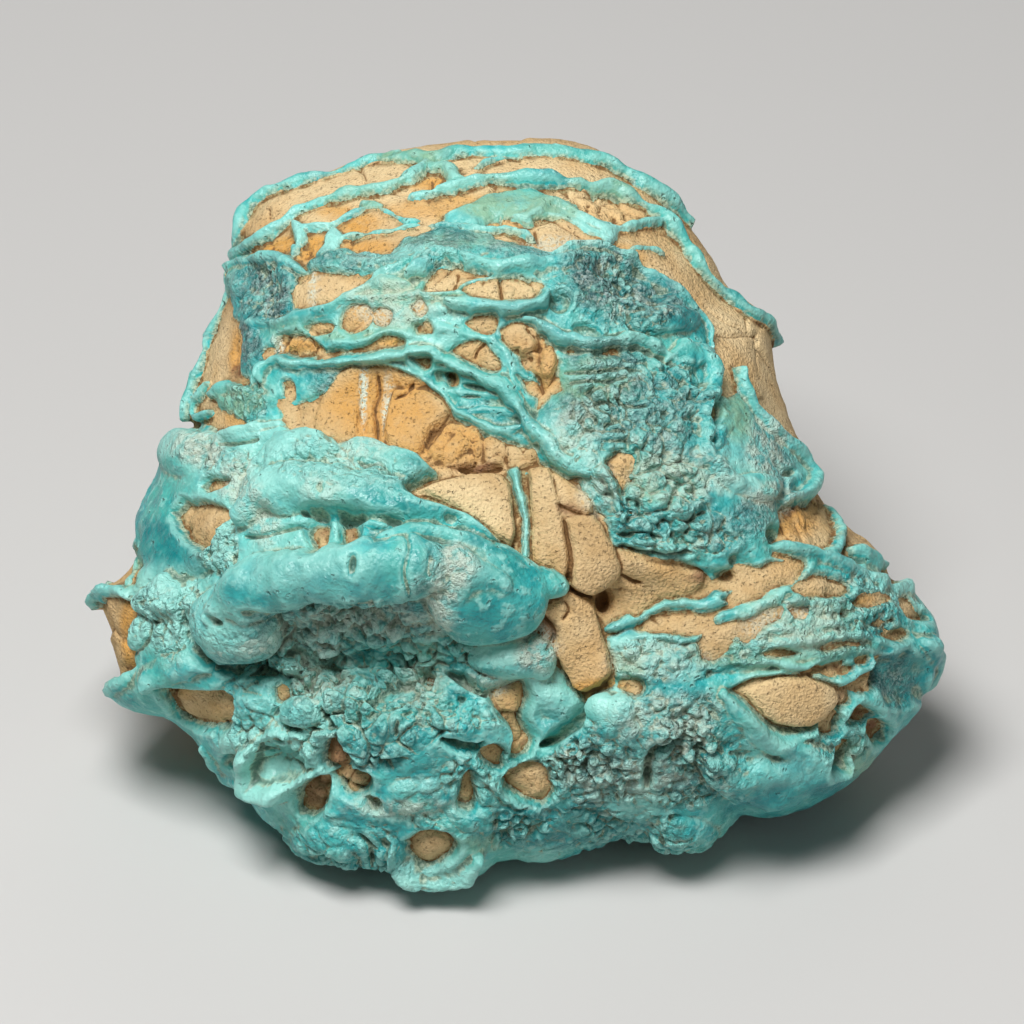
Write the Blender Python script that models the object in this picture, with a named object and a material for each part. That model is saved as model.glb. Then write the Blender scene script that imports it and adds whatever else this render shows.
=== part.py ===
"""A raw turquoise nugget: blue-green turquoise grown through a tan host rock, one natural solid.

Run with: blender --background --python part.py

The stone is drawn on its show face, which leans back by FACE_LEAN as the stone rests. Face points
are millimetres (x to the right, d down) from a datum at the face's top left corner. The solid is a
ball of quads drawn out to the body, and every feature then stands on that body by its own level.
"""

import math

import bmesh
import bpy
import numpy as np
from mathutils import noise

NODE = "turquoise_nugget"
METRES = 0.001

# Driving dimensions, in millimetres and degrees.
FACE_LEAN = 38.0  # the show face's axis rises this much above the horizon
FACE_CENTRE = (51.0, 53.0)  # the middle of the face
FRONT_DEPTH = 21.0  # from the rim out to the crown of the show face
BACK_DEPTH = 20.0
HEEL_DEPTH, HEEL_AT, HEEL_REACH = 9.0, -22.0, 18.0  # the back is fuller low down
TOP_THINNING = 7.0  # and thinner towards the top
RIM_SETBACK = 0.18  # the rim recedes by this much for each millimetre up the face
SEAT_HEIGHT = -27.5  # height of the seat under the face's middle
SEAT_SOFTNESS = 3.5  # how far above the seat the sides begin to turn under
SEAT_RISE = 0.0022  # the underside's upward curve, 1/mm
SEAT_MIDDLE = (0.0, 3.0)
SEAT_CUT = 1.4  # depth of the worn flat on the underside

RIM_INSET = 0.1  # the body's rim inside the outline, to leave room for the relief
RIM_OUT = -3.0  # the rim's place along the face's axis
FRONT_FALL, FRONT_ROUND = 2.4, 0.58  # how the show face falls away to the rim
BACK_FALL, BACK_ROUND = 2.6, 0.55
CORNER_FADE = 7.0  # how soon the outline's corners fade inside the rim
BASE_LEVEL = 0.6  # relief level that lies on the body itself

DIVISIONS = 128  # quads along each side of the ball's six patches
SPREAD = 1.5  # crowds the quads towards the middle of each face
FRONT_SHARE = 0.66  # share of the quads that lie on the show face
SOLID_TRIANGLES = 9600
CRACK_WIDEN = 0.7  # half width of a crack's groove as a share of its width
CRACK_DEEPEN = 0.9
VEIN_ROUND = 0.6  # below 1, a vein's top is flatter than round
VEIN_SKIRT = 0.42  # the thin crust beside a vein starts this much below the rock
ROUGH_STRETCH = np.array([0.82, 1.1, 1.0])  # nodules are wider than high
ROCK_STRETCH = np.array([0.8, 1.0, 1.0])
ROCK_CELL = 6.5
NOISE_TURN = np.array([[0.36, 0.48, -0.8], [-0.8, 0.6, 0.0], [0.48, 0.64, 0.6]])

CUTTER_SIZE = 0.3  # metres
FINISHES = [  # name, colour, roughness
    ("turquoise", (0.15, 0.50, 0.46), 0.45),
    ("host_rock", (0.56, 0.38, 0.21), 0.9),
]

# Veins of the sides and back: direction across them, spacing, width, height.
FAR_VEINS = [((0.15, 1.0, 0.35), 6.5, 1.7, 1.1), ((0.8, 0.4, -0.5), 17.0, 1.3, 0.8)]

# The stone's outline on the show face.
OUTLINE = [
    (48.5, 12.9), (55.4, 13.2), (59.4, 14.0), (62.6, 15.6), (66.3, 18.0), (69.2, 21.8),
    (71.5, 24.8), (73.5, 28.5), (75.8, 30.2), (77.5, 32.0), (77.9, 34.0), (78.6, 38.0),
    (80.6, 43.7), (82.4, 48.9), (84.9, 52.3), (88.6, 55.2), (89.9, 58.2), (92.2, 60.4),
    (93.2, 63.2), (93.1, 65.9), (92.7, 68.4), (91.1, 71.2), (88.8, 73.8), (86.1, 76.9),
    (82.4, 79.6), (77.8, 81.2), (73.7, 81.4), (71.4, 83.6), (67.4, 84.5), (63.4, 83.6),
    (58.2, 85.0), (54.8, 86.2), (51.9, 85.8), (49.3, 86.2), (47.0, 88.2), (43.6, 89.2),
    (40.4, 88.5), (38.2, 87.3), (33.6, 87.1), (30.1, 85.3), (27.2, 82.2), (24.9, 79.3),
    (21.5, 75.9), (18.0, 72.1), (13.5, 70.8), (10.6, 69.5), (11.4, 67.5), (10.0, 63.2),
    (8.8, 60.7), (9.4, 58.9), (12.3, 56.9), (14.0, 52.3), (16.0, 47.7), (16.9, 44.9),
    (18.3, 43.1), (17.8, 40.9), (20.1, 34.0), (22.1, 29.4), (21.8, 27.7), (23.2, 25.3),
    (23.2, 22.5), (24.4, 20.5), (27.2, 18.2), (31.8, 16.8), (38.2, 14.6), (43.3, 13.7),
]

# Broad swells and hollows of the show face: x, d, half width, half height, turn, rise.
SWELLS = [
    (37.0, 58.5, 17.0, 6.5, 8.0, 5.5),  # the brow
    (33.0, 48.0, 12.0, 6.0, 5.0, 3.0),  # the fold over the brow
    (38.0, 66.4, 12.0, 3.8, 0.0, -4.2),  # the recess under the brow
    (38.0, 73.0, 14.0, 6.0, 0.0, 3.0),  # the skirt
    (41.0, 41.5, 12.0, 5.0, 0.0, -3.0),  # the tan hollow
    (66.0, 46.0, 11.0, 11.0, 0.0, 2.5),  # the right mass
    (66.0, 59.5, 9.0, 3.0, -12.0, -2.0),  # the neck under the right mass
    (82.0, 66.0, 10.0, 10.0, 0.0, 2.5),  # the right lobe
    (67.0, 74.0, 10.0, 5.0, 0.0, 2.5),  # the rough mass at the lower right
    (55.0, 72.0, 3.0, 6.0, 30.0, -2.5),  # the cleft left of the rough mass
    (45.0, 28.0, 24.0, 4.5, 0.0, 2.0),  # the crown band
    (45.0, 20.0, 24.0, 4.5, 0.0, -1.0),  # the cap above the crown band
    (17.0, 56.0, 5.0, 4.5, 0.0, -2.5),  # the left hollow
    (44.0, 86.0, 6.0, 3.5, 0.0, 2.5),  # the foot
]



# Veins and rolls of turquoise: width, height, base level, then points on the face. A share past
# the rim (a point outside the outline) carries on round the back.
VEINS = [
    # the cap
    (1.5, 1.0, 0.0, [(23.2, 25.4), (23.5, 23.2), (24.0, 21.4), (25.2, 20.0), (26.8, 19.0),
                     (28.6, 18.4), (31.0, 17.8), (34.0, 17.0), (37.0, 16.0), (40.0, 15.3)]),
    (1.9, 0.9, 0.0, [(38.0, 15.9), (41.0, 15.6), (43.2, 15.9), (45.5, 15.1), (48.0, 15.0),
                     (51.0, 15.1), (54.0, 15.0), (57.0, 15.4)]),
    (1.8, 1.1, 0.0, [(55.5, 15.1), (58.5, 15.6), (60.8, 16.2), (63.2, 17.3), (65.5, 18.7),
                     (67.6, 20.4), (69.3, 22.3)]),
    (1.6, 1.1, 0.0, [(23.0, 25.8), (24.6, 24.7), (26.2, 23.7), (27.9, 22.6), (29.3, 21.3),
                     (31.2, 20.5), (33.5, 19.7), (36.0, 19.1), (38.8, 18.7), (41.2, 17.6),
                     (42.6, 16.4)]),
    (1.6, 0.8, 0.0, [(42.0, 15.4), (43.0, 16.6), (44.6, 16.7), (45.4, 17.9), (46.6, 18.2)]),
    (1.1, 0.7, 0.0, [(41.0, 20.0), (42.6, 19.6), (44.6, 19.1)]),
    (1.7, 1.2, 0.0, [(43.6, 19.3), (46.0, 18.8), (48.2, 18.1), (50.5, 18.0), (53.0, 18.0),
                     (55.2, 18.1), (57.2, 18.5), (59.3, 18.7), (61.4, 18.8), (63.2, 19.8),
                     (64.8, 20.7), (66.2, 21.5), (67.4, 22.9), (68.6, 24.3), (69.7, 25.8),
                     (70.8, 27.4), (72.1, 28.9), (73.5, 30.1), (75.0, 31.2), (77.2, 32.6),
                     (78.0, 34.4)]),
    (0.9, 0.6, 0.0, [(47.4, 16.9), (48.6, 16.1), (50.4, 15.6)]),
    (0.8, 0.5, 0.0, [(29.4, 22.9), (31.4, 22.7), (33.2, 22.4), (34.6, 21.6), (36.4, 20.8)]),
    (2.4, 0.6, 0.0, [(36.2, 20.4), (38.0, 20.6)]),
    (0.9, 0.6, 0.0, [(37.8, 20.8), (39.2, 21.6), (40.8, 22.4), (42.2, 22.4)]),
    (0.8, 0.6, 0.0, [(33.6, 24.1), (36.0, 23.6), (39.0, 23.3), (41.6, 22.8), (44.6, 22.8),
                     (48.0, 23.2), (51.6, 23.2), (53.4, 24.2)]),
    (1.7, 0.7, 0.0, [(29.2, 22.4), (29.7, 23.6), (29.3, 25.6)]),
    (1.9, 0.6, 0.0, [(33.2, 22.9), (33.2, 24.4), (31.6, 25.5)]),
    (1.0, 0.6, 0.0, [(44.8, 21.6), (46.4, 21.0), (48.0, 20.6)]),
    (2.4, 0.6, 0.0, [(47.4, 21.0), (49.6, 20.6), (51.8, 20.6)]),
    (3.0, 0.6, 0.0, [(51.6, 20.9), (53.4, 20.6), (54.6, 20.2)]),
    (1.5, 0.7, 0.0, [(51.4, 22.0), (53.0, 22.0), (54.6, 20.6), (56.4, 20.6), (57.8, 21.6),
                     (59.4, 22.5), (61.0, 23.2)]),
    (1.1, 0.6, 0.0, [(60.4, 23.4), (62.2, 22.9), (64.4, 22.4), (66.4, 22.2)]),
    (1.2, 0.6, 0.0, [(61.0, 23.2), (61.2, 24.4), (59.6, 25.2)]),
    (0.7, 0.4, 0.0, [(63.4, 24.9), (65.4, 24.9), (66.8, 25.6)]),
    # the crown band
    (1.3, 1.0, 0.4, [(22.6, 27.2), (24.4, 26.3), (26.8, 26.1), (29.0, 26.7), (30.2, 27.6)]),
    (2.0, 1.5, 0.2, [(40.9, 28.3), (42.2, 27.4), (43.2, 26.4), (45.2, 26.1), (47.6, 26.9),
                     (50.2, 27.4), (53.0, 27.2), (55.8, 26.8), (58.0, 26.2)]),
    (1.0, 0.7, 0.4, [(55.4, 25.6), (58.0, 24.9), (61.0, 25.1), (63.6, 26.0), (65.8, 27.5),
                     (67.6, 29.3), (69.4, 31.2), (71.0, 33.2), (71.2, 35.4)]),
    # the vein network of the middle
    (1.7, 1.0, 0.0, [(24.8, 32.8), (27.4, 32.6), (29.4, 32.3), (31.6, 31.6), (34.0, 30.6),
                     (36.0, 29.4)]),
    (2.0, 1.1, 0.0, [(35.6, 29.6), (37.6, 28.9), (39.4, 28.8), (40.8, 29.0)]),
    (1.4, 0.9, 0.0, [(37.4, 27.9), (39.4, 27.4), (40.6, 26.6), (42.0, 25.8)]),
    (1.2, 0.9, 0.0, [(34.4, 31.2), (36.6, 30.3), (39.4, 30.2), (41.6, 30.1), (43.2, 30.4)]),
    (2.2, 0.9, 0.0, [(42.8, 31.4), (44.6, 31.4)]),
    (0.8, 0.6, 0.0, [(36.6, 30.6), (37.4, 31.8), (37.2, 33.4)]),
    (0.8, 0.6, 0.0, [(41.0, 30.4), (41.6, 32.0), (43.0, 33.4)]),
    (0.9, 0.7, 0.0, [(42.8, 29.9), (45.0, 29.6), (46.4, 30.2), (47.6, 30.8)]),
    (0.7, 0.5, 0.0, [(45.6, 29.4), (46.8, 28.7), (48.6, 28.2), (50.6, 28.0), (53.6, 28.2)]),
    (1.8, 1.7, 0.2, [(44.8, 30.8), (46.4, 31.2), (48.6, 31.4), (50.6, 31.5), (52.6, 31.2),
                     (54.2, 30.6), (54.4, 29.6)]),
    (0.7, 0.6, 0.0, [(45.2, 33.1), (46.8, 32.6), (48.4, 32.1), (50.2, 32.4), (50.0, 34.2)]),
    (1.0, 0.8, 0.0, [(41.8, 34.3), (43.6, 33.4), (45.2, 33.5), (47.0, 34.2), (48.0, 35.2)]),
    (0.8, 0.7, 0.0, [(48.6, 32.4), (49.2, 34.4), (50.4, 35.6), (51.2, 37.4), (51.8, 39.4)]),
    (1.0, 0.8, 0.0, [(31.4, 34.2), (34.0, 34.8), (37.0, 34.5), (39.6, 33.9), (41.4, 34.2)]),
    (0.9, 0.8, 0.0, [(28.6, 33.4), (30.6, 33.0), (33.0, 33.4), (35.4, 33.0), (38.0, 32.6)]),
    (1.8, 1.7, 0.0, [(26.2, 38.4), (26.5, 37.1), (28.0, 36.3), (30.2, 36.7), (33.0, 36.6),
                     (36.0, 36.4), (39.0, 36.0), (42.0, 35.8), (44.2, 36.4), (46.2, 37.3),
                     (48.4, 38.2), (50.2, 39.2), (51.4, 40.6), (52.6, 42.4), (53.8, 43.6)]),
    (1.0, 0.9, 0.0, [(37.0, 36.8), (39.4, 37.3), (41.8, 38.0), (43.4, 39.2), (44.6, 40.6),
                     (45.4, 41.6), (47.0, 41.7), (49.0, 41.4), (51.6, 42.0)]),
    (0.7, 0.7, 0.0, [(43.6, 38.8), (45.6, 39.7), (48.0, 39.9), (50.2, 40.4)]),
    (0.7, 0.6, 0.0, [(45.6, 41.2), (46.8, 40.4), (48.8, 40.4)]),
    (1.5, 1.2, 0.0, [(45.4, 42.2), (47.4, 42.6), (49.6, 43.4), (52.0, 43.2)]),
    (0.9, 0.7, 0.0, [(40.6, 36.6), (42.0, 37.6), (43.4, 37.2)]),
    (0.7, 0.35, 0.0, [(36.3, 37.0), (36.2, 38.6), (36.4, 40.4), (36.7, 42.0)]),
    (0.7, 0.35, 0.0, [(39.2, 38.0), (38.8, 39.4), (38.6, 40.6), (38.3, 41.9)]),
    (0.6, 0.5, 0.0, [(45.2, 42.4), (44.2, 43.1), (43.3, 44.0)]),
    # the strong vein beside the crumbling mass, and the lips round that mass
    (2.2, 1.9, 0.2, [(52.0, 41.4), (53.2, 43.2), (54.6, 44.6), (56.0, 46.2), (58.0, 47.3),
                     (60.2, 47.6), (61.4, 48.8), (61.9, 50.6), (62.2, 52.4)]),
    (1.8, 1.5, 0.6, [(52.6, 32.6), (54.6, 33.6), (56.6, 34.6), (59.0, 35.0), (61.2, 34.8),
                     (63.4, 34.6), (65.2, 35.4), (66.8, 36.3)]),
    (2.4, 1.6, 0.5, [(66.6, 36.4), (69.0, 36.0), (70.8, 37.2), (70.9, 39.4), (70.3, 41.4),
                     (70.4, 43.6), (70.3, 45.8), (71.2, 47.6), (72.6, 48.8), (74.6, 49.6),
                     (76.4, 50.4)]),
    (1.8, 1.5, 0.3, [(73.6, 37.6), (74.2, 39.4), (75.2, 41.2), (76.6, 43.0), (78.2, 44.6),
                     (79.8, 46.2), (80.8, 47.8), (81.0, 49.2), (80.0, 50.0), (78.4, 50.4)]),
    # the left flank
    (1.1, 0.9, 0.0, [(22.0, 29.0), (21.2, 31.0), (20.4, 32.6), (20.2, 34.4), (19.8, 36.4),
                     (19.2, 38.2)]),
    (1.4, 1.1, 0.0, [(19.3, 37.6), (18.7, 39.4), (18.3, 41.2), (18.2, 42.4)]),
    (1.2, 0.8, 0.0, [(20.4, 38.6), (19.0, 40.6), (19.0, 42.0), (20.8, 41.6)]),
    (1.8, 0.9, 0.0, [(20.8, 39.8), (22.0, 39.2), (24.0, 39.2), (26.0, 39.4)]),
    (1.5, 1.4, 0.0, [(20.0, 44.2), (22.2, 43.9), (24.4, 43.6), (26.4, 43.2), (28.4, 42.7)]),
    (1.0, 0.8, 0.6, [(20.8, 50.0), (22.2, 49.8), (23.0, 49.2)]),
    (1.1, 0.9, 0.4, [(8.9, 61.8), (9.0, 60.2), (10.2, 59.4), (11.8, 59.4), (13.0, 60.4)]),
    (1.3, 1.0, 0.4, [(10.4, 69.6), (11.6, 68.9), (13.0, 68.1), (14.2, 67.2)]),
    (0.8, 0.6, 0.2, [(12.6, 58.8), (13.6, 56.4), (13.6, 54.6)]),
    # the thin vein down the middle blocks
    (0.9, 0.9, 0.2, [(51.3, 46.6), (51.7, 48.6), (52.2, 50.4), (52.7, 52.4), (52.6, 54.6),
                     (52.4, 56.6)]),
    (0.6, 0.4, 0.1, [(52.6, 47.6), (54.2, 49.0), (55.6, 50.4)]),
    # the right lobe
    (1.0, 0.7, 0.2, [(60.8, 63.2), (62.6, 62.2), (64.4, 61.6), (66.2, 60.8), (68.0, 60.6),
                     (70.0, 60.8), (72.2, 60.2), (74.0, 59.6)]),
    (0.9, 0.6, 0.0, [(71.6, 62.0), (73.2, 61.4), (75.2, 60.8), (77.0, 60.0), (78.2, 59.0)]),
    (1.2, 0.8, 0.0, [(74.6, 61.2), (76.4, 60.4), (78.0, 59.6), (79.2, 58.4), (80.4, 57.2),
                     (81.6, 56.2)]),
    (2.0, 1.3, 0.0, [(76.4, 54.4), (78.4, 54.9), (80.4, 55.4), (82.4, 55.9), (84.2, 56.7),
                     (86.0, 57.5), (87.8, 58.3), (89.6, 58.9), (91.6, 59.4)]),
    (2.6, 1.0, 0.0, [(85.4, 55.2), (87.2, 55.9), (88.8, 56.8)]),
    (1.3, 0.8, 0.0, [(82.6, 55.8), (84.0, 55.0), (84.4, 53.4), (83.8, 51.6), (82.8, 50.6)]),
    (1.0, 0.8, 0.0, [(78.4, 60.2), (80.6, 60.4), (83.0, 60.3), (85.2, 60.0), (87.2, 59.4),
                     (89.2, 58.8)]),
    (1.1, 0.7, 0.0, [(80.6, 62.0), (82.2, 61.2), (83.6, 61.0), (85.0, 61.9), (84.0, 62.7),
                     (81.8, 62.8)]),
    (1.2, 0.9, 0.0, [(84.6, 62.2), (86.4, 61.6), (88.0, 61.0), (89.6, 61.2), (90.8, 62.2),
                     (92.2, 63.0), (93.2, 64.0)]),
    (1.6, 0.8, 0.1, [(89.6, 59.0), (91.4, 59.6), (92.6, 61.0), (93.2, 62.8)]),
    (0.6, 0.5, 0.0, [(78.2, 59.4), (78.5, 60.8), (79.2, 62.6)]),
    (0.8, 0.7, 0.0, [(62.0, 64.6), (65.0, 63.9), (68.6, 64.2), (72.0, 63.2), (75.0, 62.2)]),
    (1.1, 0.8, 0.0, [(66.0, 65.6), (69.6, 65.2), (73.0, 64.8), (76.0, 64.6)]),
    (0.9, 0.7, 0.0, [(70.0, 67.2), (73.0, 66.6), (76.6, 65.8), (80.0, 65.8), (83.4, 65.4)]),
    (0.8, 0.6, 0.0, [(83.6, 60.2), (85.4, 61.0), (87.6, 60.6), (89.6, 60.0), (91.6, 60.8)]),
    (0.9, 0.7, 0.0, [(84.4, 63.4), (86.0, 62.8), (88.2, 62.6), (90.4, 63.0), (92.4, 63.8)]),
    (0.8, 0.6, 0.0, [(84.6, 58.6), (86.4, 58.8), (88.0, 59.4)]),
    (0.8, 0.6, 0.0, [(75.4, 56.6), (77.6, 56.4), (80.2, 56.2), (82.6, 56.4), (84.8, 57.2)]),
    (0.6, 0.5, 0.0, [(80.6, 62.4), (81.4, 63.6), (82.4, 64.8), (82.0, 66.4)]),
    (0.6, 0.5, 0.0, [(84.8, 59.8), (85.0, 61.6), (86.2, 63.4), (86.6, 65.4)]),
    (0.6, 0.5, 0.0, [(87.8, 59.6), (88.0, 61.2), (88.6, 62.8), (88.6, 64.4)]),
    (1.4, 1.1, 0.0, [(76.6, 64.8), (78.8, 64.6), (80.6, 64.4), (82.6, 64.0), (84.6, 63.8),
                     (86.6, 63.9), (88.4, 64.6), (90.2, 65.0), (92.2, 65.2)]),
    (1.1, 0.8, 0.0, [(74.4, 64.4), (75.8, 63.4), (77.6, 63.2), (79.2, 63.0), (80.6, 62.6)]),
    (1.3, 0.9, 0.0, [(74.0, 66.6), (76.4, 66.4), (78.6, 66.8), (80.4, 66.9), (82.4, 66.0),
                     (84.0, 65.3), (85.8, 65.0), (87.2, 65.4)]),
    (1.4, 1.0, 0.1, [(81.4, 67.9), (83.2, 68.5), (84.8, 68.2), (86.0, 67.3), (87.4, 66.4)]),
    (1.3, 0.9, 0.2, [(85.6, 69.8), (87.2, 70.5), (88.6, 71.6), (89.8, 72.6)]),
    (0.9, 0.6, 0.2, [(84.2, 71.4), (85.2, 70.4), (86.4, 70.2)]),
]

# Crusts of turquoise: level, edge softness, then the outline on the face.
CRUSTS = [
    # the crown band
    (0.9, 0.8, [(22.2, 29.6), (22.2, 27.6), (23.6, 26.1), (26.4, 26.0), (29.0, 26.8),
                (29.6, 28.4), (29.0, 30.6), (28.6, 32.2), (26.4, 33.4), (25.6, 35.8),
                (24.4, 36.2), (23.8, 33.4), (22.9, 31.4)]),
    (0.8, 0.8, [(30.0, 26.4), (32.2, 25.4), (35.0, 25.1), (38.2, 25.5), (40.4, 24.0),
                (42.4, 23.2), (45.0, 22.9), (48.0, 23.3), (51.6, 24.3), (54.6, 25.3),
                (57.6, 25.1), (61.0, 25.0), (64.0, 26.0), (66.6, 28.2), (68.8, 30.4),
                (71.0, 33.0), (71.0, 35.8), (67.0, 36.2), (65.0, 35.4), (62.0, 34.9),
                (58.4, 34.8), (55.4, 34.0), (54.6, 31.6), (54.8, 29.0), (53.4, 28.0),
                (48.4, 27.3), (45.2, 26.9), (42.0, 27.6), (39.8, 27.5), (36.4, 27.4),
                (33.0, 27.6), (30.6, 27.2)]),
    # the crumbling mass right of the middle
    (1.2, 1.0, [(55.6, 35.6), (58.0, 35.2), (64.0, 35.2), (67.0, 36.2), (71.0, 36.4),
                (71.6, 39.0), (73.8, 39.4), (75.6, 41.6), (78.2, 44.2), (80.6, 46.8),
                (81.4, 49.2), (79.6, 50.4), (77.8, 51.4), (78.0, 54.0), (76.4, 56.2),
                (74.0, 56.8), (71.0, 57.6), (67.6, 56.6), (64.6, 56.2), (61.4, 55.2),
                (60.0, 52.6), (58.8, 50.0), (57.6, 48.4), (54.6, 46.6), (52.6, 44.0),
                (52.6, 42.0), (54.0, 41.0), (56.4, 39.6), (56.0, 37.4)]),
    # the thin sheet the middle network stands on, and its thicker spreads
    (0.45, 0.4, [(24.4, 31.0), (29.0, 31.6), (31.0, 30.8), (34.4, 29.4), (37.0, 27.8),
                 (39.6, 27.4), (41.2, 26.8), (42.4, 28.4), (44.0, 30.0), (47.0, 30.2),
                 (54.4, 30.0), (54.6, 32.0), (52.4, 33.2), (50.2, 33.0), (49.8, 34.0),
                 (51.4, 36.0), (53.0, 39.0), (53.4, 42.8), (50.4, 42.6), (46.0, 42.4),
                 (43.6, 40.0), (41.0, 38.2), (38.0, 37.0), (34.0, 38.6), (31.0, 40.4),
                 (28.6, 40.2), (24.6, 38.8), (23.8, 36.4)]),
    (0.4, 0.4, [(35.2, 29.6), (37.2, 28.4), (40.4, 27.9), (41.0, 29.4), (39.0, 30.3),
                (36.4, 30.4)]),
    (0.35, 0.4, [(39.8, 30.8), (43.6, 30.4), (45.4, 31.6), (44.4, 32.8), (41.0, 32.9)]),
    (0.4, 0.4, [(25.0, 32.6), (28.6, 32.0), (30.8, 32.3), (29.4, 33.8), (26.0, 34.6)]),
    (0.4, 0.4, [(38.4, 33.8), (42.0, 33.4), (43.2, 34.6), (43.6, 36.4), (40.6, 35.8)]),
    (0.5, 0.6, [(42.6, 38.4), (46.4, 38.0), (50.0, 39.4), (52.4, 42.6), (53.4, 44.6),
                (50.4, 44.2), (47.6, 43.4), (45.4, 42.0), (44.2, 40.2)]),
    (0.5, 0.5, [(26.2, 37.4), (30.0, 36.8), (34.0, 37.2), (33.8, 39.0), (31.2, 40.2),
                (28.6, 40.6), (26.4, 39.8)]),
    # the thin sheets of the right lobe and of the cap
    (0.45, 0.4, [(71.4, 62.0), (74.0, 60.0), (78.0, 58.0), (80.4, 56.4), (84.2, 55.6),
                 (88.6, 57.4), (91.8, 60.0), (92.8, 63.0), (92.6, 66.0), (88.0, 66.6),
                 (84.0, 67.4), (80.0, 67.2), (76.0, 67.4), (72.0, 67.4), (70.0, 66.4),
                 (71.6, 64.0)]),
    (0.35, 0.4, [(44.0, 21.4), (47.0, 19.8), (50.0, 19.2), (55.0, 19.4), (58.6, 20.6),
                 (61.4, 22.4), (62.0, 24.0), (59.6, 24.6), (56.4, 22.8), (53.4, 22.0),
                 (50.0, 21.8), (46.0, 22.4)]),
    # the left side
    (0.7, 0.6, [(20.6, 39.2), (24.2, 38.8), (24.4, 37.2), (26.6, 38.2), (28.0, 40.8),
                (27.8, 43.0), (24.0, 42.4), (21.6, 41.0)]),
    (1.4, 1.0, [(16.0, 47.4), (17.2, 44.6), (19.6, 43.4), (24.0, 43.2), (28.4, 42.4),
                (28.8, 44.0), (25.8, 45.4), (24.6, 48.0), (23.6, 51.0), (23.6, 54.0),
                (21.4, 57.6), (17.0, 58.6), (12.8, 60.6), (8.0, 60.6), (10.2, 58.8),
                (13.6, 58.4), (13.4, 54.0), (14.4, 51.0)]),
    # the lower left, the brow and everything under it
    (1.6, 1.2, [(23.4, 53.0), (23.8, 49.6), (25.2, 46.4), (27.8, 44.0), (31.0, 43.4),
                (35.0, 44.4), (36.6, 43.6), (38.6, 45.0), (41.6, 45.8), (43.6, 47.4),
                (42.4, 49.6), (45.0, 50.8), (48.6, 52.8), (51.4, 55.2), (53.6, 56.8),
                (56.4, 58.2), (54.8, 59.4), (53.8, 62.4), (54.0, 64.8), (55.6, 66.8),
                (57.4, 69.0), (58.2, 70.6), (59.4, 69.6), (61.4, 68.8), (61.0, 66.0),
                (61.0, 64.0), (64.0, 63.8), (67.4, 64.4), (70.6, 65.6), (71.4, 67.6),
                (74.4, 67.6), (78.0, 67.2), (82.0, 68.2), (85.4, 69.4), (87.4, 68.0),
                (88.2, 65.6), (90.4, 63.4), (93.0, 60.4), (98.0, 60.0), (98.0, 78.0),
                (84.0, 90.0), (60.0, 94.0), (30.0, 94.0),
                (14.0, 80.0), (6.0, 70.0), (10.6, 68.6), (13.2, 67.6), (13.2, 60.0),
                (17.0, 58.2), (21.6, 57.2)]),
]

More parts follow.
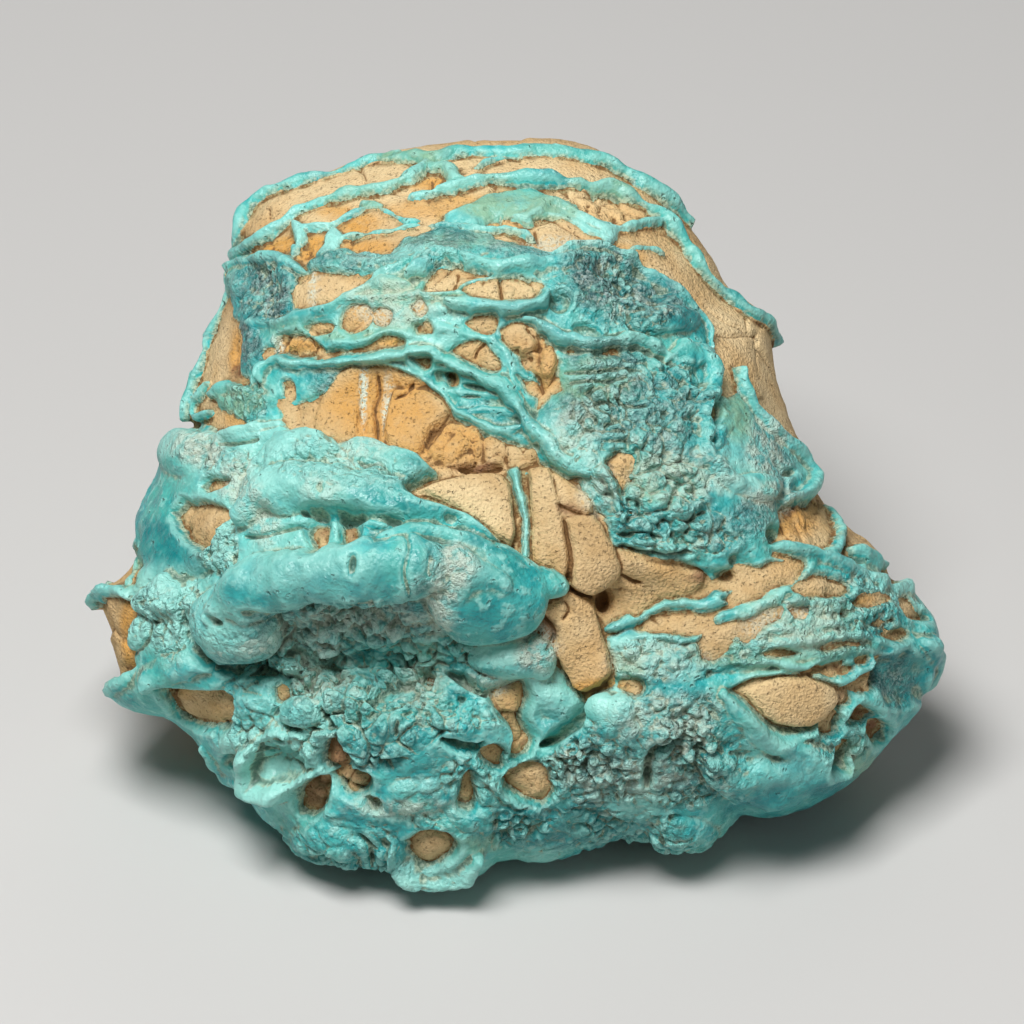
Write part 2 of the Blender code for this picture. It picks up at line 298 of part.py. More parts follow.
# Windows of host rock: lift of the rock, then the outline on the face.
WINDOWS = [
    # two blocks of the cap
    (0.3, [(53.4, 22.2), (55.2, 21.8), (57.2, 22.5), (58.8, 23.4), (60.2, 24.3), (56.6, 24.6),
           (54.0, 24.3)]),
    (0.3, [(57.8, 19.8), (59.8, 19.4), (62.4, 20.2), (63.4, 21.4), (61.6, 22.2), (59.2, 21.9),
           (57.8, 20.8)]),
    # the islands of the middle network
    (0.1, [(29.3, 27.6), (31.0, 27.2), (33.4, 27.4), (35.8, 27.8), (34.8, 29.0), (33.4, 30.4),
           (30.4, 31.2), (29.4, 30.4)]),
    (0.2, [(42.4, 29.0), (43.2, 28.0), (44.2, 27.2), (46.0, 27.2), (46.2, 28.4), (45.6, 29.4),
           (43.0, 29.6)]),
    (0.2, [(46.4, 27.4), (48.6, 27.6), (46.6, 28.6)]),
    (0.3, [(46.2, 29.4), (47.2, 28.8), (50.0, 28.2), (52.0, 28.2), (54.0, 28.8), (53.6, 30.0),
           (50.6, 30.4), (47.4, 30.0)]),
    (0.2, [(33.8, 33.3), (34.0, 31.8), (35.6, 30.9), (37.1, 31.3), (37.1, 32.9), (35.2, 33.9)]),
    (0.2, [(36.8, 31.6), (38.0, 31.0), (39.2, 31.8), (38.7, 33.0), (37.4, 33.0)]),
    (0.2, [(41.0, 31.2), (42.0, 30.4), (42.8, 31.4), (42.0, 32.2)]),
    (0.2, [(41.4, 33.0), (42.9, 32.6), (43.2, 33.9), (41.6, 34.1)]),
    (0.1, [(30.6, 33.2), (31.8, 32.6), (33.4, 33.0), (32.6, 34.0), (31.0, 34.0)]),
    (0.3, [(27.5, 34.0), (30.6, 33.9), (32.5, 35.2), (32.0, 36.3), (30.8, 36.3), (28.8, 35.9),
           (27.3, 35.7)]),
    (0.2, [(26.1, 35.1), (27.2, 35.1), (27.0, 36.3), (26.1, 36.2)]),
    (0.0, [(32.4, 35.2), (36.0, 35.2), (38.4, 34.3), (40.3, 34.3), (40.5, 35.1), (38.6, 35.5),
           (35.4, 35.9), (32.4, 36.3)]),
    (0.2, [(46.2, 32.8), (48.0, 32.1), (49.6, 32.5), (49.1, 33.9), (47.2, 33.5)]),
    (0.4, [(44.8, 35.8), (46.2, 34.7), (48.0, 34.6), (49.4, 35.6), (50.0, 37.4), (48.6, 37.6),
           (46.8, 36.8)]),
    (0.0, [(41.3, 36.5), (42.9, 36.4), (43.3, 37.5), (42.4, 37.9)]),
    (0.6, [(50.1, 33.6), (51.6, 32.8), (53.6, 33.6), (53.6, 35.6), (52.4, 36.4), (50.6, 35.0)]),
    (0.4, [(53.4, 35.8), (55.0, 35.0), (55.6, 36.6), (55.0, 38.2), (53.6, 37.8), (52.9, 37.0)]),
    (0.2, [(51.6, 37.9), (53.4, 38.5), (54.8, 39.4), (54.6, 40.5), (52.8, 39.9)]),
    (-0.4, [(44.3, 38.1), (45.5, 37.8), (45.9, 38.9), (44.8, 39.5)]),
    (0.1, [(28.3, 38.8), (29.3, 38.7), (29.5, 40.2), (28.3, 40.5)]),
    # the hollow under the middle network
    (0.0, [(33.9, 37.6), (36.0, 37.2), (39.4, 37.4), (41.4, 38.4), (43.2, 39.4), (44.6, 40.8),
           (45.6, 42.2), (47.2, 43.0), (49.4, 44.4), (52.2, 44.8), (53.6, 45.6), (52.6, 46.6),
           (50.6, 47.2), (46.4, 47.7), (43.6, 47.3), (42.0, 46.2), (39.8, 45.4), (37.2, 44.4),
           (34.8, 44.1), (31.8, 43.5), (30.6, 42.0), (31.2, 40.4), (33.6, 39.3)]),
    (0.9, [(41.2, 49.5), (43.2, 48.6), (46.0, 47.8), (49.2, 47.4), (50.6, 48.2), (51.2, 50.2),
           (51.6, 52.6), (51.4, 55.2), (49.2, 53.4), (47.2, 51.9), (44.6, 50.8), (42.4, 50.1)]),
    (0.6, [(31.2, 53.4), (32.0, 52.5), (33.2, 53.0), (33.0, 54.9), (31.9, 54.9)]),
    (0.5, [(34.6, 52.6), (36.0, 52.8), (36.0, 54.2), (34.8, 54.6)]),
    # the blocks down the middle
    (0.8, [(52.8, 47.2), (54.8, 47.2), (56.4, 48.4), (58.2, 49.7), (59.2, 51.2), (60.2, 53.6),
           (61.2, 55.4), (61.9, 56.6), (61.9, 58.1), (60.6, 58.7), (59.4, 59.8), (58.4, 60.1),
           (57.2, 59.2), (56.4, 58.2), (55.0, 57.1), (53.3, 56.6), (53.1, 53.0), (52.6, 50.0)]),
    (0.9, [(54.8, 59.7), (56.6, 59.0), (58.4, 60.1), (59.3, 60.6), (59.9, 62.8), (60.6, 65.4),
           (61.2, 67.7), (60.4, 68.4), (58.0, 69.6), (57.0, 68.6), (55.6, 66.5), (54.2, 65.0),
           (53.4, 63.2), (54.2, 61.6)]),
    (0.2, [(61.6, 55.4), (63.6, 56.0), (65.8, 56.9), (68.2, 57.0), (70.2, 57.6), (70.8, 58.6),
           (69.4, 59.5), (67.4, 60.0), (65.8, 60.1), (64.6, 61.0), (63.4, 61.8), (62.4, 60.6),
           (62.0, 58.6)]),
    (0.4, [(60.5, 46.6), (61.8, 45.6), (63.3, 46.1), (63.2, 47.6), (62.9, 48.8), (62.2, 49.8),
           (61.6, 48.4)]),
    (0.8, [(70.8, 42.2), (71.2, 41.0), (71.7, 41.4), (71.3, 42.7)]),
    # the left side
    (0.5, [(17.6, 51.8), (18.8, 50.8), (21.2, 50.7), (23.1, 51.8), (22.4, 53.0), (21.5, 54.6),
           (20.8, 55.1), (19.4, 54.5), (18.2, 53.2)]),
    (0.0, [(20.6, 49.2), (21.4, 48.5), (23.2, 48.2), (23.0, 48.9), (21.4, 49.6)]),
    (0.1, [(9.8, 60.4), (11.4, 60.1), (12.8, 60.9), (13.2, 63.2), (13.0, 66.4), (12.6, 67.4),
           (11.3, 68.3), (10.8, 66.4), (10.2, 63.6), (9.5, 61.8)]),
    (0.3, [(16.4, 69.1), (18.0, 69.1), (20.4, 69.3), (23.3, 69.9), (23.4, 71.4), (22.8, 72.8),
           (21.0, 73.0), (18.8, 72.2), (17.6, 71.0)]),
    # the lower left
    (0.7, [(32.6, 75.4), (33.0, 74.2), (33.7, 74.0), (34.9, 75.4), (35.1, 76.9), (33.2, 77.0)]),
    (0.9, [(33.4, 77.6), (35.0, 76.9), (36.9, 77.3), (37.3, 78.4), (36.7, 79.6), (34.8, 79.2)]),
    (0.3, [(30.2, 79.0), (32.6, 77.6), (33.1, 78.6), (32.6, 80.6), (31.6, 81.6), (30.0, 81.0)]),
    (0.2, [(36.8, 80.0), (37.8, 79.7), (38.2, 80.5), (37.4, 80.9)]),
    (0.3, [(27.6, 69.0), (28.4, 68.6), (29.0, 69.6), (28.0, 70.5)]),
    (0.5, [(40.7, 84.3), (42.2, 83.5), (44.3, 83.3), (45.5, 84.2), (45.2, 85.4), (44.4, 86.1),
           (43.1, 86.8), (41.8, 86.5), (40.9, 85.4)]),
    # the middle of the foot
    (0.4, [(48.8, 69.2), (50.6, 68.5), (52.2, 68.2), (52.6, 69.8), (52.6, 72.0), (53.2, 74.0),
           (52.6, 75.4), (51.2, 75.6), (51.4, 73.4), (50.0, 71.6)]),
    (0.3, [(48.2, 75.4), (49.0, 74.6), (50.2, 75.2), (50.2, 76.8), (49.2, 76.8)]),
    (0.6, [(46.0, 78.6), (47.0, 77.2), (47.5, 78.6), (47.2, 80.6), (46.0, 80.6)]),
    (0.6, [(50.2, 77.6), (51.6, 77.0), (53.2, 76.5), (54.6, 77.4), (55.2, 79.0), (54.2, 80.2),
           (52.6, 80.0), (50.8, 78.8)]),
    # the right lobe
    (0.1, [(63.2, 63.1), (65.0, 62.6), (68.4, 62.3), (70.0, 62.3), (69.4, 63.6), (68.2, 63.8),
           (66.8, 63.2), (64.6, 63.2)]),
    (0.2, [(69.6, 64.6), (70.4, 63.0), (72.6, 62.4), (74.4, 62.4), (73.6, 64.2), (71.6, 66.2),
           (70.2, 66.2)]),
    (0.2, [(61.8, 68.2), (63.6, 68.2), (64.2, 69.0), (63.4, 69.6), (61.6, 69.0)]),
    (0.3, [(72.2, 60.2), (73.6, 58.8), (75.4, 57.4), (77.4, 56.4), (79.8, 56.1), (80.6, 56.9),
           (79.4, 58.4), (77.6, 59.0), (75.4, 60.2), (73.4, 60.8)]),
    (0.0, [(78.2, 51.4), (80.0, 50.6), (82.4, 51.0), (83.8, 53.0), (83.2, 54.6), (81.2, 54.4),
           (79.2, 54.2), (78.2, 53.0)]),
    (0.4, [(78.9, 59.0), (80.2, 58.1), (82.0, 57.4), (84.0, 57.8), (85.1, 58.5), (85.1, 59.4),
           (83.0, 59.9), (80.2, 59.8)]),
    (0.1, [(73.8, 62.6), (75.4, 61.6), (78.1, 60.9), (78.2, 62.2), (76.4, 62.9), (74.6, 64.6),
           (73.6, 64.2)]),
    (0.1, [(78.6, 60.9), (81.0, 60.9), (80.2, 61.9), (79.2, 62.0)]),
    (0.0, [(84.2, 61.2), (84.9, 60.9), (84.9, 61.7), (84.4, 61.8)]),
    (0.0, [(85.4, 60.4), (86.6, 59.6), (88.6, 59.6), (89.4, 60.2), (87.6, 60.8), (86.0, 60.9)]),
    (0.0, [(86.4, 62.9), (88.2, 62.2), (89.6, 62.0), (89.2, 62.6), (87.4, 63.1)]),
    (-0.5, [(88.3, 63.3), (90.8, 63.2), (91.0, 63.9), (89.4, 64.3), (88.4, 64.1)]),
    (0.1, [(88.3, 57.9), (89.4, 57.1), (89.8, 58.3), (89.0, 58.7)]),
    (0.2, [(89.9, 60.0), (91.0, 60.0), (92.0, 61.2), (92.8, 62.3), (91.0, 61.9)]),
    (-0.1, [(75.2, 65.7), (77.4, 65.2), (79.0, 65.3), (80.4, 65.5), (79.4, 66.0), (76.4, 66.0)]),
    (-0.1, [(81.6, 65.2), (83.4, 64.6), (85.2, 64.5), (86.6, 64.9), (84.6, 64.9),
            (82.8, 65.4)]),
    (-0.4, [(81.6, 67.4), (82.8, 66.6), (84.4, 66.2), (84.5, 67.0), (83.6, 68.0),
            (82.4, 67.9)]),
    (-0.3, [(85.4, 66.1), (86.8, 66.0), (86.6, 66.6), (85.8, 66.8)]),
    (0.8, [(72.6, 69.2), (74.4, 68.4), (77.4, 67.9), (80.6, 67.9), (82.6, 68.6), (84.6, 69.4),
           (84.8, 70.6), (83.4, 71.2), (82.2, 72.0), (81.2, 73.0), (79.0, 73.4), (77.0, 73.0),
           (76.4, 72.0), (74.6, 70.6)]),
    (0.1, [(81.6, 73.0), (82.4, 71.8), (83.4, 71.2), (83.6, 72.2), (83.0, 73.6), (82.0, 73.9)]),
    (-0.3, [(82.6, 75.6), (83.4, 74.8), (84.6, 74.4), (84.0, 75.6), (83.0, 76.0)]),
    (-0.4, [(84.5, 72.2), (85.4, 71.0), (86.8, 71.3), (87.0, 72.2), (85.6, 72.6)]),
    (-0.3, [(86.3, 73.2), (87.4, 72.4), (88.5, 73.0), (88.2, 74.2), (87.2, 74.7)]),
]

# Flat-faced blocks of host rock: lift, rise to the right and down, then the outline.
BLOCKS = [
    # down the middle
    (1.1, 0.10, -0.02, [(53.0, 47.4), (54.7, 47.4), (55.4, 50.0), (56.1, 53.0), (56.4, 57.7),
                        (55.2, 57.0), (53.5, 56.4), (53.3, 53.0)]),
    (0.7, 0.10, 0.05, [(55.3, 47.8), (57.4, 49.3), (59.0, 50.8), (58.6, 51.8), (56.6, 51.2),
                       (55.7, 49.8)]),
    (1.4, -0.12, 0.05, [(56.7, 52.4), (59.2, 52.0), (60.4, 54.0), (61.8, 57.0), (61.4, 58.2),
                        (59.6, 59.4), (58.4, 59.7), (57.2, 58.8), (57.3, 55.6)]),
    (1.3, 0.0, 0.08, [(56.2, 59.6), (58.6, 60.3), (59.6, 62.4), (60.8, 67.4), (58.2, 69.2),
                      (56.8, 67.6), (55.7, 65.6), (55.7, 62.6)]),
    (0.6, 0.0, 0.0, [(54.1, 61.6), (55.3, 61.0), (55.3, 63.6), (54.1, 64.4)]),
    (0.5, 0.02, -0.10, [(62.2, 56.2), (65.8, 57.2), (70.0, 57.8), (69.0, 59.4), (65.6, 60.0),
                        (63.6, 61.4), (62.6, 59.8)]),
    (1.1, -0.02, 0.10, [(42.4, 49.4), (46.0, 48.1), (49.2, 47.7), (50.7, 48.8), (51.2, 52.0),
                        (51.0, 54.8), (48.4, 52.7), (45.0, 50.7)]),
    # in the hollow
    (0.4, 0.05, 0.0, [(33.8, 38.0), (35.9, 37.6), (35.8, 42.6), (35.2, 43.8), (33.4, 43.8),
                      (31.6, 42.6), (32.4, 40.2)]),
    (0.2, 0.0, 0.05, [(36.9, 38.0), (38.2, 37.9), (37.9, 40.4), (37.5, 42.6), (36.9, 43.0)]),
    (0.9, 0.02, -0.04, [(39.6, 39.8), (41.4, 39.7), (43.2, 40.0), (44.8, 41.6), (43.0, 43.2),
                        (42.2, 44.8), (41.4, 45.4), (39.0, 44.2), (38.8, 42.0)]),
    (0.3, 0.0, 0.10, [(39.6, 38.2), (41.6, 38.2), (42.6, 38.9), (40.6, 39.3)]),
    (0.8, -0.08, 0.0, [(44.9, 42.8), (47.6, 43.2), (48.0, 45.6), (46.0, 46.6), (43.6, 46.0),
                       (43.2, 45.0)]),
    (0.5, 0.0, -0.10, [(48.6, 44.2), (50.2, 44.6), (50.2, 46.6), (48.8, 46.9)]),
    (0.6, -0.10, 0.0, [(50.7, 45.0), (53.2, 45.4), (53.0, 46.6), (51.1, 46.9)]),
    # brown blocks in the network, and the flank's slab
    (0.8, 0.15, 0.0, [(50.3, 33.8), (51.7, 33.2), (51.8, 35.2), (50.9, 35.0)]),
    (1.0, 0.0, 0.10, [(52.0, 33.2), (53.5, 33.7), (53.6, 35.4), (52.4, 36.1), (52.0, 35.2)]),
    (0.7, 0.0, 0.0, [(53.5, 36.0), (55.0, 35.3), (55.5, 36.7), (54.9, 38.0), (53.6, 37.6)]),
    (0.8, 0.03, 0.12, [(74.6, 69.6), (77.4, 68.4), (80.6, 68.3), (83.2, 69.4), (83.0, 71.0),
                       (80.6, 72.8), (77.2, 72.4), (75.6, 71.0)]),
]

# Lumps: x, d, half width, half height, turn, height over the base level, base level.
LUMPS = [
    (18.7, 46.0, 2.6, 2.7, -20.0, 2.0, 0.6),
    (41.0, 47.4, 2.9, 1.9, 15.0, 1.6, 0.9),
    (37.0, 46.0, 2.4, 1.6, 10.0, 0.9, 1.0),
    (54.6, 72.9, 1.6, 1.3, 0.0, 1.3, 0.9),
    (56.6, 75.4, 1.2, 1.0, 0.0, 1.0, 0.9),
    (54.2, 76.4, 1.0, 1.1, 0.0, 0.9, 0.9),
    (35.2, 69.6, 2.8, 3.0, 0.0, 1.2, 1.2),
    (38.6, 68.4, 1.9, 1.6, 0.0, 0.9, 1.1),
    (37.4, 63.2, 1.6, 2.2, 0.0, 0.9, 1.0),
    (29.6, 67.4, 1.9, 2.0, 0.0, 1.1, 1.2),
    (25.4, 70.6, 2.1, 1.8, 0.0, 0.9, 1.1),
    (45.0, 69.4, 2.0, 1.4, 15.0, 1.0, 1.1),
    (46.4, 72.6, 1.7, 1.3, 0.0, 1.1, 1.1),
    (39.0, 72.4, 1.6, 1.1, -10.0, 0.9, 1.1),
    (24.0, 74.0, 1.6, 1.3, 0.0, 1.2, 1.2),
    (32.8, 84.2, 3.2, 2.4, 5.0, 1.6, 1.0),
    (41.6, 79.4, 3.6, 1.9, 0.0, 1.1, 1.2),
    (47.0, 81.8, 2.8, 1.5, 5.0, 1.2, 1.0),
    (50.6, 82.0, 1.6, 1.2, 0.0, 0.9, 1.0),
    (38.3, 85.4, 1.1, 1.3, 0.0, 0.9, 1.0),
    (68.2, 83.0, 3.4, 1.9, 0.0, 2.0, 0.8),
    (66.4, 73.2, 1.7, 1.3, -10.0, 1.2, 1.0),
    (70.6, 73.6, 2.0, 1.7, 0.0, 1.1, 1.0),
    (14.6, 63.8, 1.2, 1.8, 0.0, 0.5, 1.4),
    (22.4, 55.0, 1.6, 2.6, 8.0, 0.6, 1.2),
    (69.0, 36.3, 2.0, 1.2, 0.0, 0.9, 1.2),
    (75.2, 49.2, 2.4, 1.3, 5.0, 1.0, 1.2),
    (67.0, 51.0, 3.0, 1.4, 5.0, 0.9, 1.2),
    (66.4, 32.6, 3.4, 1.6, 0.0, 1.1, 0.9),
    (58.6, 46.6, 1.4, 1.0, 0.0, 0.7, 1.2),
]

# Smooth lumps that stand clear of the broken ground, as above.
KNOBS = [
    (24.4, 62.2, 4.4, 3.9, 0.0, 3.4, 1.4),  # the brow's blunt left end
    (48.6, 59.4, 6.4, 4.4, 12.0, 3.4, 1.2),  # the dome at the brow's right end
    (53.8, 58.6, 3.2, 1.6, 8.0, 1.6, 1.0),  # its spur
    (60.2, 70.9, 1.6, 1.5, 0.0, 0.9, 1.2),  # the cluster beside the cleft
    (61.9, 71.2, 1.5, 1.7, 0.0, 1.2, 1.2),
    (60.9, 72.7, 1.4, 1.1, 0.0, 0.8, 1.1),
    (62.8, 73.0, 1.1, 1.1, 0.0, 0.8, 1.1),
    (50.6, 65.8, 3.7, 2.2, 8.0, 2.0, 1.2),
    (53.8, 65.8, 1.8, 2.2, 0.0, 1.5, 1.0),
    (55.4, 70.2, 2.6, 2.0, 20.0, 1.4, 0.9),
    (30.6, 71.4, 2.2, 1.4, 5.0, 1.3, 1.2),
]

# Rolls: broad ridges of crust: width, height, base level, then points.
ROLLS = [
    (5.6, 3.9, 1.4, [(23.4, 61.2), (25.2, 59.6), (28.0, 58.3), (31.4, 57.7), (35.0, 57.5),
                     (38.8, 57.2), (42.4, 57.2), (46.0, 57.8), (49.6, 58.8)]),  # the brow
    (3.4, 2.6, 1.4, [(38.4, 55.2), (41.6, 54.6), (44.6, 54.8), (47.6, 55.9), (50.4, 57.2)]),
    (6.2, 2.6, 1.2, [(25.4, 52.4), (27.0, 50.4), (30.4, 49.6), (34.4, 50.0), (38.6, 50.8),
                     (42.6, 51.4), (46.0, 52.4), (48.6, 54.0)]),  # the fold over it
    (5.6, 1.4, 1.2, [(26.6, 49.4), (27.4, 46.8), (30.0, 45.4), (33.4, 46.0)]),
    (2.4, 2.6, 1.2, [(26.2, 74.4), (25.4, 76.0), (26.2, 78.2), (28.4, 79.0), (30.4, 78.6),
                     (31.8, 77.2)]),  # the pocket's rim
    (1.2, 1.0, 1.2, [(26.4, 74.0), (28.4, 73.2), (30.6, 73.8), (31.8, 75.2)]),
    (2.6, 2.0, 1.0, [(39.6, 84.4), (40.3, 86.2), (41.8, 87.6), (44.0, 87.8), (46.2, 86.8),
                     (47.3, 85.2)]),  # the collar round the foot's tan oval
    (7.0, 2.2, 1.2, [(70.6, 75.8), (73.6, 77.4), (77.0, 77.6), (80.4, 76.6), (83.6, 76.2)]),
    (3.4, 1.5, 1.0, [(72.0, 69.6), (74.0, 71.2), (75.8, 73.2), (78.4, 74.8), (81.0, 75.0)]),
    (3.4, 1.5, 1.0, [(15.2, 68.2), (17.4, 67.2), (19.6, 66.6), (21.4, 66.8)]),
    (4.8, 1.6, 1.2, [(14.4, 60.6), (17.2, 60.4), (20.0, 60.6)]),
    (2.6, 1.5, 1.0, [(91.6, 64.6), (93.0, 66.4), (92.6, 68.8), (91.2, 71.2)]),
    (2.0, 1.2, 1.0, [(21.0, 74.6), (22.6, 77.0), (25.0, 78.8)]),
    (1.2, 1.0, 1.0, [(47.4, 76.6), (48.8, 78.0), (50.8, 79.6), (52.8, 80.4)]),
]

# Cracks: width, depth, then points.
CRACKS = [
    (0.35, 1.0, [(50.0, 28.2), (50.1, 29.2), (50.2, 30.4)]),
    (0.35, 0.9, [(48.5, 34.9), (47.8, 35.6), (47.4, 36.4)]),
    (0.4, 0.9, [(30.6, 34.0), (31.0, 35.0), (30.8, 36.1)]),
    (0.35, 0.7, [(45.8, 27.4), (45.7, 28.4), (45.4, 29.2)]),
    (0.3, 0.7, [(42.5, 28.8), (42.3, 29.8)]),
    (0.4, 0.8, [(37.8, 38.2), (38.0, 39.8), (37.6, 41.4), (37.9, 43.0), (37.7, 44.4)]),
    (0.4, 0.8, [(39.6, 40.4), (40.8, 39.9), (41.4, 39.0)]),
    (0.8, 1.2, [(46.2, 46.9), (48.2, 47.2), (50.0, 47.0)]),
    (0.4, 0.8, [(46.4, 40.2), (48.0, 40.2)]),
    (0.7, 1.0, [(54.0, 35.2), (53.8, 36.6), (53.7, 38.2), (54.0, 39.6)]),
    (0.5, 1.0, [(52.6, 33.4), (53.6, 34.4), (53.6, 35.4), (52.4, 36.0)]),
    (0.35, 0.8, [(56.4, 52.6), (56.6, 54.0), (57.0, 55.6), (57.1, 57.2), (56.9, 58.6)]),
    (0.3, 0.5, [(57.2, 54.0), (57.4, 55.6)]),
    (0.3, 0.7, [(55.6, 50.8), (56.8, 51.4), (58.2, 51.9), (59.0, 51.9)]),
    (0.5, 1.2, [(57.0, 59.1), (58.2, 59.9), (59.4, 60.1)]),
    (0.45, 1.0, [(54.2, 61.8), (55.2, 62.9), (55.4, 64.0), (54.4, 64.6)]),
    (0.3, 0.6, [(56.2, 60.2), (56.7, 61.2), (56.0, 62.2)]),
    (0.5, 0.9, [(62.2, 58.0), (63.2, 58.6), (64.0, 58.7)]),
    (0.8, 1.6, [(59.0, 60.0), (60.0, 60.2), (60.8, 59.6)]),
    (0.4, 1.0, [(79.0, 50.3), (80.0, 51.2), (80.7, 52.7)]),
    (0.3, 0.6, [(35.9, 46.8), (37.0, 47.3), (38.4, 47.3), (39.2, 48.4)]),
    (0.3, 0.6, [(40.5, 55.4), (40.7, 56.6), (40.4, 57.8), (41.0, 59.0)]),
    (0.35, 0.8, [(15.7, 62.6), (15.6, 64.0), (14.8, 65.2), (13.6, 65.6)]),
    (0.5, 1.4, [(32.6, 71.2), (33.0, 72.2), (33.5, 73.2)]),
    (0.4, 1.0, [(39.8, 73.6), (39.9, 72.8), (40.1, 72.2)]),
    (1.1, 2.2, [(45.0, 67.6), (46.2, 68.2), (47.4, 69.0), (48.4, 69.6)]),
    (1.1, 2.2, [(44.4, 74.0), (45.8, 74.6), (47.4, 74.8), (48.2, 74.3)]),
    (1.3, 2.6, [(58.2, 70.8), (57.4, 72.4), (55.8, 73.8), (54.2, 74.6)]),
    (0.9, 1.8, [(68.6, 73.6), (66.8, 74.5), (65.2, 75.2), (64.6, 76.6), (64.6, 78.4)]),
    (0.5, 1.0, [(36.2, 83.2), (37.2, 84.4), (37.3, 86.0)]),
    (0.8, 1.4, [(25.0, 77.0), (25.2, 79.0)]),
    (0.9, 1.6, [(22.0, 66.9), (24.4, 67.4), (26.8, 67.6)]),
    (0.9, 1.4, [(19.6, 58.6), (19.0, 61.0), (19.4, 63.6), (20.8, 66.0), (22.6, 67.2)]),
    (0.5, 1.0, [(25.2, 54.2), (27.0, 54.2), (29.0, 53.6), (31.0, 53.2)]),
    (0.9, 1.6, [(31.0, 52.0), (34.0, 52.1), (37.0, 52.6), (40.0, 53.2)]),
    (0.5, 1.0, [(22.2, 44.9), (24.0, 44.9), (26.0, 44.3)]),
    (0.6, 1.2, [(71.0, 40.0), (71.2, 41.0), (71.0, 43.2), (71.0, 44.8)]),
    (0.6, 1.2, [(61.6, 53.8), (64.0, 54.0), (66.0, 54.1)]),
    (0.6, 1.2, [(61.8, 55.0), (64.0, 55.7), (67.0, 56.0), (69.0, 55.6)]),
    (0.4, 0.9, [(56.4, 37.8), (59.0, 37.8), (61.6, 37.4), (64.0, 37.6)]),
    (0.4, 0.9, [(57.0, 38.8), (59.4, 38.6), (62.4, 38.4)]),
    (0.4, 0.9, [(61.4, 40.2), (63.0, 41.2), (64.4, 41.2)]),
    (0.4, 0.9, [(58.4, 43.2), (60.0, 43.6), (62.4, 43.6)]),
    (0.5, 1.0, [(77.0, 46.8), (78.0, 47.9), (78.2, 49.6)]),
    (0.4, 0.7, [(26.8, 25.6), (26.9, 24.6)]),
    (0.4, 0.7, [(29.5, 25.0), (29.4, 24.3)]),
    (0.4, 0.7, [(34.5, 20.4), (34.7, 21.2)]),
    (0.35, 0.7, [(43.1, 17.6), (43.1, 18.8)]),
    (0.3, 0.6, [(53.5, 22.8), (53.9, 24.2)]),
    (0.25, 0.5, [(59.2, 20.0), (59.0, 20.8), (59.4, 21.8)]),
    (0.25, 0.5, [(60.6, 20.0), (60.2, 21.0), (60.6, 22.0)]),
    (0.25, 0.5, [(62.0, 20.6), (61.8, 22.2)]),
    (0.25, 0.5, [(26.3, 20.4), (26.4, 21.8)]),
    (0.3, 0.6, [(50.0, 21.6), (50.2, 22.8)]),
]

# Pits: x, d, half width, half height, turn, depth.
PITS = [
    (36.4, 57.2, 0.4, 0.6, 0.0, 1.2), (44.8, 52.9, 0.8, 0.6, 0.0, 0.8),
    (24.0, 61.0, 0.9, 0.6, 20.0, 0.9), (28.0, 60.2, 1.3, 0.6, 10.0, 1.2),
    (33.2, 50.2, 0.4, 0.6, 0.0, 0.6), (44.4, 38.4, 1.2, 0.8, 20.0, 1.3),
    (47.4, 39.3, 1.4, 0.4, 12.0, 0.9), (31.0, 69.0, 0.8, 0.5, 0.0, 1.2),
    (32.6, 66.0, 0.9, 0.6, 0.0, 0.9), (36.9, 65.2, 0.5, 0.4, 0.0, 0.9),
    (23.6, 76.0, 1.0, 0.9, 0.0, 1.2), (28.2, 71.4, 0.7, 0.6, 0.0, 1.0),
    (46.2, 70.2, 0.5, 0.4, 0.0, 0.8), (60.6, 60.6, 0.9, 1.2, 20.0, 1.8),
    (28.6, 76.2, 2.6, 1.8, 5.0, 1.5), (63.4, 28.4, 4.4, 2.4, 22.0, 2.2),
    (33.0, 85.3, 2.0, 0.6, 5.0, 0.8), (58.6, 33.6, 1.7, 0.8, 10.0, 1.2),
    (56.0, 30.6, 1.4, 1.4, 0.0, 1.6), (65.8, 39.2, 0.9, 1.2, 0.0, 1.0),
    (66.2, 42.0, 0.5, 0.6, 0.0, 0.9), (89.6, 68.2, 2.8, 3.0, 0.0, 1.8),
    (72.4, 57.8, 1.2, 0.7, 0.0, 1.0), (73.2, 56.4, 0.6, 0.7, 0.0, 0.9),
    (25.6, 66.9, 3.0, 1.1, 10.0, 1.8), (26.0, 29.2, 2.6, 2.4, 20.0, 1.1),
    (78.6, 47.8, 0.7, 0.5, 0.0, 0.8),
    (28.6, 73.8, 0.8, 0.4, 20.0, 0.7), (83.6, 76.2, 0.9, 0.5, 0.0, 0.5),
    (77.2, 53.8, 1.0, 1.2, 20.0, 1.6), (17.4, 69.7, 0.7, 0.7, 0.0, 0.9),
    (86.0, 56.2, 0.8, 0.4, 30.0, 0.6), (22.3, 73.0, 0.3, 0.3, 0.0, 0.5),
]

